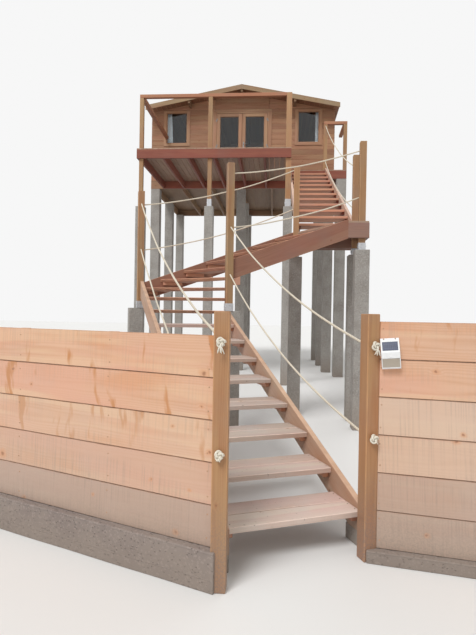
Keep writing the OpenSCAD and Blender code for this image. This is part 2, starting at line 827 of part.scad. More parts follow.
module post_shoes() {
    color("silver") {
        in_stair() {
            shoe(inner_post, inner_shoe_z, shoe_h);
            shoe(outer_post, outer_shoe_z, shoe_h);
        }
        for (p = landing_posts_at) shoe(p, landing_shoe_z, shoe_h);
        shoe(landing_side, landing_shoe_z, shoe_h);
        shoe(corner_post, deck_shoe_z, deck_shoe_h);
        shoe(middle_post, deck_shoe_z, deck_shoe_h);
        shoe(big_post, deck_shoe_z, deck_shoe_h, big_post_w);
    }
}

// Concrete piers and footings, down to the lowest ground
module stair_piers() {
    shift = pier_w / 2 - post_w / 2;
    foot_l = stringer_d;
    color("darkgray") {
        in_stair() {
            post(inner_post + [shift, shift], 0, inner_shoe_z, pier_w);
            post(outer_post + [-shift, shift], 0, outer_shoe_z, pier_w);
            for (x = [0, -tread_l - stringer_t])
                translate([x, stringer_start, 0]) cube([stringer_t, foot_l, gate_ground]);
        }
        for (p = landing_posts_at) post(p, 0, landing_shoe_z, pier_w);
        post(landing_side, 0, landing_shoe_z, pier_w);
    }
}

module deck_piers() {
    color("darkgray") {
        post(corner_post, 0, deck_shoe_z, pier_w);
        post(middle_post, 0, deck_shoe_z, pier_w);
        post(big_post, 0, deck_shoe_z, pier_w);
        post([strip_right - corner_pier_w / 2, strip_front + corner_pier_w / 2], 0, frame_base,
            corner_pier_w);
    }
}

module cabin_piers() {
    half = floor_pier_w / 2;
    color("darkgray")
        for (x = [cabin_left + half, cabin_x, cabin_right - half],
             y = [cabin_front + half, (cabin_front + cabin_back) / 2, cabin_back - half])
            post([x, y], 0, frame_base, floor_pier_w);
}

// Deck frame: a rim of boards and joists between them, cut round the posts
deck_outline = [
    [deck_left, deck_front], [landing_left, deck_front], [landing_left, strip_front],
    [strip_right, strip_front], [strip_right, cabin_front], [deck_left, cabin_front]];

module deck_posts_cut() {
    for (p = [corner_post, middle_post]) post(p, 0, rail_top);
    post(big_post, 0, rail_top, big_post_w);
}

module deck_frame() {
    inner = inset(deck_outline, frame_t);
    step = (landing_left - deck_left - frame_t) / (deck_joists + 1);
    color("brown") difference() {
        union() {
            difference() {
                slab(deck_outline, frame_top, frame_d);
                slab(inner, frame_top + past, frame_d + 2 * past);
            }
            for (i = [1 : deck_joists])
                translate([deck_left + i * step, deck_front + frame_t - past, frame_base])
                    cube([frame_t, cabin_front - deck_front - 2 * frame_t + 2 * past, frame_d]);
            for (i = [1 : 2])
                translate([landing_left + i * strip_w / 3, strip_front + frame_t - past, frame_base])
                    cube([frame_t, strip_d - 2 * frame_t + 2 * past, frame_d]);
        }
        deck_posts_cut();
    }
}

module deck_boards_front() {
    color("sienna") difference() {
        translate([deck_left, deck_front, frame_top])
            cube([deck_w, cabin_front - deck_front, board_t]);
        deck_posts_cut();
    }
}

module deck_boards_side() {
    color("sienna") translate([landing_left + timber_gap, strip_front, frame_top])
        cube([strip_w - timber_gap, strip_d, board_t]);
}

module deck_posts() {
    color("peru") {
        post(corner_post, deck_shoe_z + shoe_t, rail_base - timber_gap);
        post(middle_post, deck_shoe_z + shoe_t, rail_base - timber_gap);
        post(big_post, deck_shoe_z + shoe_t, rail_top, big_post_w);
        for (p = [top_left_post, top_right_post, strip_post])
            post(p, deck_z, rail_base - timber_gap);
    }
}

// Rails on the posts: front, left side, beside the stairs, and round the strip
module guard_rails() {
    left = corner_post[0] - post_w / 2;
    right = big_post[0] - big_post_w / 2 - timber_gap;
    front = post_y - post_w / 2;
    side_start = big_post[1] + big_post_w / 2 + timber_gap;
    color("sienna") {
        translate([left, front, rail_base]) cube([right - left, post_w, rail_d]);
        translate([left, front, rail_base])
            cube([post_w, cabin_front - trim_t - timber_gap - front, rail_d]);
        translate([landing_left - post_w, side_start, rail_base])
            cube([post_w, top_left_post[1] + post_w / 2 - side_start, rail_d]);
        translate([landing_right - post_w, strip_front, rail_base])
            cube([strip_right - landing_right + post_w, post_w, rail_d]);
        translate([strip_right - post_w, strip_front, rail_base])
            cube([post_w, strip_d, rail_d]);
    }
}

// Cabin floor: joists under a rim, and boards over them
module cabin_joists() {
    inner_w = cabin_w - 2 * frame_t;
    inner_d = cabin_d - 2 * frame_t;
    color("sienna") translate([cabin_left, cabin_front, frame_base]) {
        difference() {
            cube([cabin_w, cabin_d, frame_d]);
            translate([frame_t, frame_t, -past]) cube([inner_w, inner_d, frame_d + 2 * past]);
        }
        for (i = [1 : deck_joists])
            translate([i * cabin_w / (deck_joists + 1) - frame_t / 2, frame_t - past, 0])
                cube([frame_t, inner_d + 2 * past, frame_d]);
    }
}

module cabin_floor() {
    color("sienna") translate([cabin_left, cabin_front, frame_top])
        cube([cabin_w, cabin_d, board_t]);
}

// A gable wall's outline between two places across it, up to the roof
function wall_outline(x0, x1) = x0 < cabin_x && x1 > cabin_x
    ? [[x0, cabin_base], [x1, cabin_base], [x1, roof_z(x1)], [cabin_x, roof_z(cabin_x)],
        [x0, roof_z(x0)]]
    : [[x0, cabin_base], [x1, cabin_base], [x1, roof_z(x1)], [x0, roof_z(x0)]];

module window_cut(x) {
    translate([x - window_w / 2 - sash_w, cabin_front - past, cabin_base + sill_h - sash_w])
        cube([window_w + 2 * sash_w, wall_t + 2 * past, window_h + 2 * sash_w]);
}

module front_wall_left() {
    color("chocolate") difference() {
        board_along_x(wall_outline(cabin_left, doorway[0]), cabin_front, wall_t);
        window_cut(window_centres[0]);
    }
}

module front_wall_right() {
    color("chocolate") difference() {
        board_along_x(wall_outline(doorway[1], cabin_right), cabin_front, wall_t);
        window_cut(window_centres[1]);
    }
}

module front_wall_over_door() {
    base = cabin_base + door_h + timber_gap;
    color("chocolate") board_along_x([
        [doorway[0], base], [doorway[1], base], [doorway[1], roof_z(doorway[1])],
        [cabin_x, roof_z(cabin_x)], [doorway[0], roof_z(doorway[0])]], cabin_front, wall_t);
}

module side_wall(x0, x1) {
    color("chocolate") board_along_x([
        [x0, cabin_base], [x1, cabin_base], [x1, roof_z(x1)], [x0, roof_z(x0)]],
        cabin_front + wall_t, cabin_d - 2 * wall_t);
}

module left_wall() { side_wall(cabin_left, cabin_left + wall_t); }

module right_wall() { side_wall(cabin_right - wall_t, cabin_right); }

module back_wall() {
    color("chocolate")
        board_along_x(wall_outline(cabin_left, cabin_right), cabin_back - wall_t, wall_t);
}

// A roof half, from the ridge to its eave
module roof_half(side) {
    eave = cabin_x + side * (cabin_w / 2 + eave_overhang);
    color("dimgray") board_along_x([
        [cabin_x, roof_z(cabin_x)], [eave, roof_z(eave)], [eave, roof_z(eave) + roof_t],
        [cabin_x, roof_z(cabin_x) + roof_t]], roof_front, roof_back - roof_front);
}

module roof_left() { roof_half(-1); }

module roof_right() { roof_half(1); }

// Ridge beam and side beams: inside the room, and again under both overhangs
module roof_beam(x, y0, y1) {
    top_left = roof_z(x - beam_w / 2);
    top_right = roof_z(x + beam_w / 2);
    base = min(top_left, top_right) - beam_d;
    crown = x == cabin_x ? [[x, roof_z(x)]] : [];
    board_along_x(concat(
        [[x - beam_w / 2, base], [x + beam_w / 2, base], [x + beam_w / 2, top_right]],
        crown, [[x - beam_w / 2, top_left]]), y0, y1 - y0);
}

module roof_beams() {
    color("sienna") for (x = [cabin_x - beam_off, cabin_x, cabin_x + beam_off]) {
        roof_beam(x, roof_front, cabin_front);
        roof_beam(x, cabin_front + wall_t, cabin_back - wall_t);
        roof_beam(x, cabin_back, roof_back);
    }
}

// Barge boards on both gables
module barge_pair(y) {
    top = roof_t + 2 * past;
    eave_l = cabin_x - cabin_w / 2 - eave_overhang;
    eave_r = cabin_x + cabin_w / 2 + eave_overhang;
    board_along_x([
        [eave_l, roof_z(eave_l) + top - barge_d], [cabin_x, roof_z(cabin_x) + top - barge_d],
        [eave_r, roof_z(eave_r) + top - barge_d], [eave_r, roof_z(eave_r) + top],
        [cabin_x, roof_z(cabin_x) + top], [eave_l, roof_z(eave_l) + top]], y, barge_t);
}

module barge_boards() {
    color("tan") {
        barge_pair(roof_front - barge_t);
        barge_pair(roof_back);
    }
}

// A rectangular frame in the wall's plane: x0..x1, z0..z1 outside, one width
module ring(x0, x1, z0, z1, w, y, t) {
    difference() {
        translate([x0, y, z0]) cube([x1 - x0, t, z1 - z0]);
        translate([x0 + w, y - past, z0 + w])
            cube([x1 - x0 - 2 * w, t + 2 * past, z1 - z0 - 2 * w]);
    }
}

module window_frames() {
    color("sandybrown") for (x = window_centres)
        ring(x - window_w / 2 - sash_w, x + window_w / 2 + sash_w,
            cabin_base + sill_h - sash_w, cabin_base + sill_h + window_h + sash_w,
            sash_w, cabin_front, wall_t);
}

module window_glass() {
    color("lightblue", 0.5) for (x = window_centres)
        translate([x - window_w / 2, cabin_front + (wall_t - glass_t) / 2, cabin_base + sill_h])
            cube([window_w, glass_t, window_h]);
}

// Trim boards on the wall's face, round the windows and the doorway
module wall_trims() {
    z0 = cabin_base + sill_h - sash_w;
    z1 = cabin_base + sill_h + window_h + sash_w;
    half = window_w / 2 + sash_w;
    lap = sash_w / 2;
    color("peru") {
        for (x = window_centres)
            ring(x - half - trim_w + lap, x + half + trim_w - lap, z0 - trim_w + lap,
                min(z1 + trim_w - lap, roof_z(cabin_x - window_off - half - trim_w) - barge_t),
                trim_w, cabin_front - trim_t, trim_t);
        for (x = [doorway[0] - trim_w, doorway[1]])
            translate([x, cabin_front - trim_t, cabin_base])
                cube([trim_w, trim_t, door_h + timber_gap]);
        translate([doorway[0] - trim_w, cabin_front - trim_t, cabin_base + door_h + timber_gap])
            cube([doorway[1] - doorway[0] + 2 * trim_w, trim_t, trim_w]);
    }
}

// Curtains inside the windows, each drawn to its outer side on a rod
rod_y = cabin_front + wall_t + rod_off;
rod_z = cabin_base + sill_h + window_h + sash_w + rod_up;
rod_reach = window_w / 2 + sash_w + rod_over;

module curtain_rods() {
    bracket_w = 2 * rod_r;
    color("gray") for (x = window_centres) {
        translate([x - rod_reach, rod_y, rod_z]) rotate([0, 90, 0])
            cylinder(r = rod_r, h = 2 * rod_reach);
        for (side = [-1, 1])
            translate([x + side * (rod_reach - bracket_w) - bracket_w / 2,
                cabin_front + wall_t, rod_z - rod_r])
                cube([bracket_w, rod_off, 2 * rod_r]);
    }
}

// A drawn curtain, which hangs from its rod's underside
module curtain(x0, w) {
    color("lavender") translate([x0, rod_y - curtain_d / 2, rod_z - rod_r - curtain_gap - curtain_l])
        cube([w, curtain_d, curtain_l]);
}

module curtain_left() {
    curtain(window_centres[0] - window_w / 2 - sash_w, left_curtain_w);
}

module curtain_right() {
    curtain(window_centres[1] + window_w / 2 + sash_w - right_curtain_w, right_curtain_w);
}

// Half of a hinge: a barrel on a plate that reaches to one side
module hinge_half(x, z, side) {
    translate([x, hinge_y, z]) cylinder(r = hinge_r, h = hinge_h);
    translate([side > 0 ? x : x - plate_l, leaf_face - plate_t, z])
        cube([plate_l, plate_t, hinge_h]);
}

// Door frame: jambs, head and sill, with the lower half of each hinge and its pin
module door_frame() {
    color("sandybrown") {
        ring(door_left, door_right, cabin_base, cabin_base + door_h, door_frame_w, leaf_face,
            door_frame_out + wall_t);
        for (z = hinge_zs, side = [-1, 1]) {
            x = side < 0 ? hinge_left : hinge_right;
            hinge_half(x, z - hinge_h, side);
            translate([x, hinge_y, z - past]) cylinder(r = pin_r, h = pin_h + past);
        }
    }
}

// A glazed leaf with the upper half of each hinge
module door_leaf(side) {
    x0 = side < 0 ? door_left + door_frame_w + leaf_gap
        : door_right - door_frame_w - leaf_gap - leaf_w;
    hinge_x = side < 0 ? hinge_left : hinge_right;
    color("peru") difference() {
        union() {
            translate([x0, leaf_face, leaf_base]) cube([leaf_w, leaf_t, leaf_h]);
            for (z = hinge_zs) hinge_half(hinge_x, z + hinge_play, -side);
        }
        translate([x0 + stile_w, leaf_face - past, leaf_base + bottom_rail_h])
            cube([leaf_w - 2 * stile_w, leaf_t + 2 * past, leaf_h - bottom_rail_h - stile_w]);
        for (z = hinge_zs)
            translate([hinge_x, hinge_y, z - past])
                cylinder(r = pin_r + pin_fit, h = pin_bore_h + past);
    }
}

module door_glass(side) {
    x0 = side < 0 ? door_left + door_frame_w + leaf_gap
        : door_right - door_frame_w - leaf_gap - leaf_w;
    color("lightblue", 0.5)
        translate([x0 + stile_w, leaf_face + (leaf_t - glass_t) / 2, leaf_base + bottom_rail_h])
            cube([leaf_w - 2 * stile_w, glass_t, leaf_h - bottom_rail_h - stile_w]);
}

module door_leaf_left() { door_leaf(-1); }

module door_leaf_right() { door_leaf(1); }

module door_glass_left() { door_glass(-1); }

module door_glass_right() { door_glass(1); }

// A rope: rings of eight points square to its route. Its first and last rings
// lie flat on the faces of the posts that it enters
rope_sides = 8;
function cross_unit(a, b) = let (c = cross(a, b)) c / norm(c);
function ring_points(at, d) = let (side = cross_unit(d, [0, 0, 1]), up = cross(side, d))
    [for (k = [0 : rope_sides - 1])
        at + side * rope_d / 2 * cos(k * 360 / rope_sides)
            + up * rope_d / 2 * sin(k * 360 / rope_sides)];

module rope(from, from_dir, route, to, to_dir) {
    n = rope_sides;
    path = concat([from], route, [to]);
    rings = len(path);
    dirs = [for (i = [0 : rings - 1])
        i == 0 ? from_dir : i == rings - 1 ? to_dir : unit(path[i + 1] - path[i - 1])];
    points = [for (i = [0 : rings - 1]) each ring_points(path[i], dirs[i])];
    sides = [for (i = [0 : rings - 2], k = [0 : n - 1])
        [i * n + k, i * n + (k + 1) % n, (i + 1) * n + (k + 1) % n, (i + 1) * n + k]];
    first = [for (k = [0 : n - 1]) n - 1 - k];
    last = [for (k = [0 : n - 1]) (rings - 1) * n + k];
    color("ivory") polyhedron(points, concat([first], sides, [last]));
}

// Places where the ropes enter the posts, and the directions of the faces
function lift(p, z) = [p[0], p[1], z];
stair_along = lift(turned(along_y, stair_turn), 0);
stair_across = lift(turned(along_x, stair_turn), 0);
outer_front = to_plan(outer_post - [0, post_w / 2 + rope_seat]);
outer_right = to_plan(outer_post + [post_w / 2 + rope_seat, 0]);
inner_front = to_plan(inner_post - [0, post_w / 2 + rope_seat]);
inner_right = to_plan(inner_post + [post_w / 2 + rope_seat, 0]);
left_gate_back = [0, post_w / 2 + rope_seat];
right_gate_back = to_plan(gatepost_local + [0, post_w / 2 + rope_seat]);
corner_left = landing_side - [post_w / 2 + rope_seat, 0];
front_post_left = landing_posts_at[0] - [post_w / 2 + rope_seat, 0];
second_post_back = landing_posts_at[1] + [0, post_w / 2 + rope_seat];
top_post_front = top_right_post - [0, post_w / 2 + rope_seat];
left_knot = [0, -post_w / 2 - knot_r - rope_seat];
right_knot = to_plan(gatepost_local - [0, post_w / 2 + knot_r + rope_seat]);

module knot(at, z) { color("ivory") translate([at[0], at[1], z]) sphere(r = knot_r); }

module rope_gate_left_upper() {
    rope(lift(outer_front, outer_upper_rope), -stair_along, gate_left_upper_route,
        lift(left_gate_back, left_upper_knot), [0, -1, 0]);
    knot(left_knot, left_upper_knot);
}

module rope_gate_left_lower() {
    rope(lift(outer_front, outer_lower_rope), -stair_along, gate_left_lower_route,
        lift(left_gate_back, left_lower_knot), [0, -1, 0]);
    knot(left_knot, left_lower_knot);
}

module rope_gate_right_upper() {
    rope(lift(inner_front, inner_gate_upper_rope), -stair_along, gate_right_upper_route,
        lift(right_gate_back, right_upper_knot), -stair_along);
    knot(right_knot, right_upper_knot);
}

module rope_gate_right_lower() {
    rope(lift(inner_front, inner_gate_lower_rope), -stair_along, gate_right_lower_route,
        lift(right_gate_back, right_lower_knot), -stair_along);
    knot(right_knot, right_lower_knot);
}

module rope_middle_back_upper() {
    rope(lift(outer_right, outer_upper_rope), stair_across, middle_back_upper_route,
        lift(corner_left, corner_upper_rope), [1, 0, 0]);
}

module rope_middle_back_lower() {
    rope(lift(outer_right, outer_lower_rope), stair_across, middle_back_lower_route,
        lift(corner_left, corner_lower_rope), [1, 0, 0]);
}

module rope_middle_front_upper() {
    rope(lift(inner_right, inner_upper_rope), stair_across, middle_front_upper_route,
        lift(front_post_left, front_upper_rope), [1, 0, 0]);
}

module rope_middle_front_lower() {
    rope(lift(inner_right, inner_lower_rope), stair_across, middle_front_lower_route,
        lift(front_post_left, front_lower_rope), [1, 0, 0]);
}

module rope_upper_flight_upper() {
    rope(lift(second_post_back, second_upper_rope), [0, 1, 0], upper_flight_upper_route,
        lift(top_post_front, deck_z + top_upper_rope), [0, 1, 0]);
}

module rope_upper_flight_lower() {
    rope(lift(second_post_back, second_lower_rope), [0, 1, 0], upper_flight_lower_route,
        lift(top_post_front, deck_z + top_lower_rope), [0, 1, 0]);
}

fence_plinths();
fence_left();
fence_right();
fence_posts();
gatepost_left();
gatepost_right();
solar_lamp();
lower_stringers();
lower_treads();
turn_posts();
turn_treads();
middle_stringers();
middle_treads();
landing_frame();
landing_boards();
landing_posts();
upper_stringers();
upper_treads();
post_shoes();
stair_piers();
deck_piers();
cabin_piers();
deck_frame();
deck_boards_front();
deck_boards_side();
deck_posts();
guard_rails();
cabin_joists();
cabin_floor();
front_wall_left();
front_wall_right();
front_wall_over_door();
left_wall();
right_wall();
back_wall();
roof_left();
roof_right();
roof_beams();
barge_boards();
window_frames();
window_glass();
wall_trims();
curtain_rods();
curtain_left();
curtain_right();
door_frame();
door_leaf_left();
door_leaf_right();
door_glass_left();
door_glass_right();
rope_gate_left_upper();
rope_gate_left_lower();
rope_gate_right_upper();
rope_gate_right_lower();
rope_middle_back_upper();
rope_middle_back_lower();
rope_middle_front_upper();
rope_middle_front_lower();
rope_upper_flight_upper();
rope_upper_flight_lower();
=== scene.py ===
"""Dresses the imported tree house: boards, posts, roof, windows, ropes and their finishes.

Every length is in metres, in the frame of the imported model. A board's mesh carries
"grain", the place in the board's own frame with x along the grain, "tone", a number
from 0 to 1 that differs from board to board, and "end", "arris" and "under", which
mark its end grain, its arrises and its underside.
"""
from __future__ import annotations

import logging
import math
import random
from contextlib import contextmanager
from dataclasses import dataclass, field
from enum import Enum
from typing import Callable, Iterable, Iterator, Sequence

import bmesh
import bpy
from mathutils import Matrix, Vector

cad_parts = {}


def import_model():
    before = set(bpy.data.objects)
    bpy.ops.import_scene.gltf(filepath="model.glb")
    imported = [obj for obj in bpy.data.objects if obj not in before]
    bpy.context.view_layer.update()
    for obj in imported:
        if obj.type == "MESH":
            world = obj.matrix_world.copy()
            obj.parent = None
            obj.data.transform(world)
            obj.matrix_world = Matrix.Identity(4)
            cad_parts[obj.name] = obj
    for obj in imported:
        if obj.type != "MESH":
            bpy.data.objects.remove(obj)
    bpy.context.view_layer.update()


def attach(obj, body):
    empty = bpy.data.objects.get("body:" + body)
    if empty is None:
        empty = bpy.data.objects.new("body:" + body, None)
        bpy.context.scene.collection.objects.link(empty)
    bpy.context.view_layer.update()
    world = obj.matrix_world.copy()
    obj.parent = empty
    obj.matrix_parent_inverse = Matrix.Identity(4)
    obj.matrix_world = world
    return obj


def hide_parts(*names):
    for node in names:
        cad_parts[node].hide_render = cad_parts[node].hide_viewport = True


log = logging.getLogger("tree_house")
RGB = tuple[float, float, float]
Thing = bpy.types.Object
HOUSE = "house"
X_WAY, Y_WAY, Z_WAY = Vector((1, 0, 0)), Vector((0, 1, 0)), Vector((0, 0, 1))


def operator(name: str, swapped: bool = False) -> Callable[..., "Value"]:
    """Return a method that adds a Math node, with its operands swapped if asked."""
    def method(value: "Value", other: "Value | float" = 0.0) -> "Value":
        """Return the node's result for the value and another one."""
        a, b = (other, value) if swapped else (value, other)
        return value.tree.node("ShaderNodeMath", {"operation": name}, {0: a, 1: b})
    return method


class Value:
    """A shader socket that adds, multiplies and compares like a number."""

    __add__ = __radd__ = operator("ADD")
    __sub__ = operator("SUBTRACT")
    __rsub__ = operator("SUBTRACT", swapped=True)
    __mul__ = __rmul__ = operator("MULTIPLY")
    __truediv__ = operator("DIVIDE")
    __pow__ = operator("POWER")
    sine, part, size = operator("SINE"), operator("FRACT"), operator("ABSOLUTE")
    above, most = operator("GREATER_THAN"), operator("MAXIMUM")

    def __init__(self, tree: "Shader", socket: bpy.types.NodeSocket) -> None:
        """Keep the shader that the socket is in, and the socket."""
        self.tree, self.socket = tree, socket

    def wave(self) -> "Value":
        """Return a sine of the value, moved to run from 0 to 1."""
        return self.sine() * 0.5 + 0.5

    def rise(self, low: float, high: float) -> "Value":
        """Return a soft step from 0 at one value to 1 at another."""
        return self.tree.node(
            "ShaderNodeMapRange", {"interpolation_type": "SMOOTHSTEP", "clamp": True},
            {0: self, 1: low, 2: high, 3: 0.0, 4: 1.0})


class Shader:
    """A node material that is built from expressions."""

    def __init__(self, name: str) -> None:
        """Start an empty material with its surface shader."""
        self.material = bpy.data.materials.new(name)
        self.material.use_nodes = True
        self.nodes = self.material.node_tree.nodes
        self.links = self.material.node_tree.links
        self.nodes.clear()
        self.surface = self.nodes.new("ShaderNodeBsdfPrincipled")
        output = self.nodes.new("ShaderNodeOutputMaterial")
        self.links.new(self.surface.outputs[0], output.inputs[0])

    def node(self, kind: str, settings: dict | None = None, inputs: dict | None = None,
             out: int | str = 0) -> Value:
        """Add a node and return one of its outputs.

        Args:
            kind: The node's type.
            settings: Its settings.
            inputs: Numbers, colours or values for its sockets, by index or name.
            out: Which output is returned.

        Returns:
            The output as a value.
        """
        made = self.nodes.new(kind)
        for name, setting in (settings or {}).items():
            setattr(made, name, setting)
        for key, value in (inputs or {}).items():
            self.feed(made.inputs[key], value)
        return Value(self, made.outputs[out])

    def feed(self, socket: bpy.types.NodeSocket, value: object) -> None:
        """Link a value to a socket, or set it to a number or colour."""
        if isinstance(value, Value):
            self.links.new(value.socket, socket)
        elif isinstance(value, (tuple, list)) and socket.type == "RGBA":
            socket.default_value = (*value[:3], 1.0)
        else:
            socket.default_value = value

    def set(self, **sockets: object) -> None:
        """Set sockets of the surface shader; underscores stand for spaces."""
        for name, value in sockets.items():
            self.feed(self.surface.inputs[name.replace("_", " ")], value)

    def place(self) -> Value:
        """Return the point on the surface, in the object's coordinates."""
        return self.node("ShaderNodeTexCoord", out="Object")

    def attribute(self, name: str, out: str = "Fac") -> Value:
        """Return a mesh attribute as a number, or as a vector."""
        return self.node("ShaderNodeAttribute", {"attribute_name": name}, out=out)

    def split(self, vector: Value) -> tuple[Value, Value, Value]:
        """Return a vector's three numbers."""
        node = self.nodes.new("ShaderNodeSeparateXYZ")
        self.links.new(vector.socket, node.inputs[0])
        return tuple(Value(self, socket) for socket in node.outputs)

    def join(self, x: object, y: object, z: object) -> Value:
        """Return a vector made of three numbers."""
        return self.node("ShaderNodeCombineXYZ", inputs={0: x, 1: y, 2: z})

    def noise(self, vector: Value, scale: float, detail: float = 2.0, rough: float = 0.5) -> Value:
        """Return smooth noise from about 0 to 1."""
        return self.node("ShaderNodeTexNoise", inputs={
            "Vector": vector, "Scale": scale, "Detail": detail, "Roughness": rough})

    def drawn(self, x: object, y: object, z: object, detail: float = 2.0,
              rough: float = 0.5) -> Value:
        """Return noise at a place that is drawn out by its own scale along each axis."""
        return self.noise(self.join(x, y, z), 1.0, detail, rough)

    def cells(self, vector: Value, scale: float, out: str = "Distance",
              dimensions: str = "3D") -> Value:
        """Return the distance or the colour of scattered cells."""
        return self.node("ShaderNodeTexVoronoi", {"voronoi_dimensions": dimensions},
                         {"Vector": vector, "Scale": scale}, out)

    def speckle(self, scale: float) -> Value:
        """Return a number for each of the cells scattered over the surface."""
        return self.split(self.cells(self.place(), scale, "Color"))[0]

    def mix(self, share: object, a: object, b: object, blend: str = "MIX") -> Value:
        """Return two colours mixed by a share."""
        return self.node("ShaderNodeMix", {"data_type": "RGBA", "blend_type": blend},
                         {0: share, 6: a, 7: b}, 2)

    def bump(self, height: Value, distance: float, strength: float = 1.0) -> None:
        """Bend the surface by a height map from 0 to 1, where 1 stands for a distance."""
        self.set(Normal=self.node("ShaderNodeBump", inputs={
            "Height": height, "Distance": distance, "Strength": strength}))


def tint(colour: RGB, *factors: float) -> RGB:
    """Return a colour times one factor, or times one factor for each channel."""
    return tuple(min(1.0, c * f) for c, f in zip(colour, factors * 3))


@dataclass(frozen=True)
class Coat:
    """A finish with a name, whose shader is built on first use."""

    name: str

    def material(self) -> bpy.types.Material:
        """Return the finish's material."""
        known = bpy.data.materials.get(self.name)
        if known is not None:
            return known
        shader = Shader(self.name)
        self.dress(shader)
        return shader.material

    def dress(self, shader: Shader) -> None:
        """Build the finish on an empty shader."""
        raise NotImplementedError


@dataclass(frozen=True)
class Grain:
    """The values that every part of a timber finish works with.

    Attributes:
        x: Place along the grain.
        y: Place across it.
        z: Place through the board.
        tone: The board's own number.
        slow: A slow waver of the grain, about 0.
    """

    x: Value
    y: Value
    z: Value
    tone: Value
    slow: Value


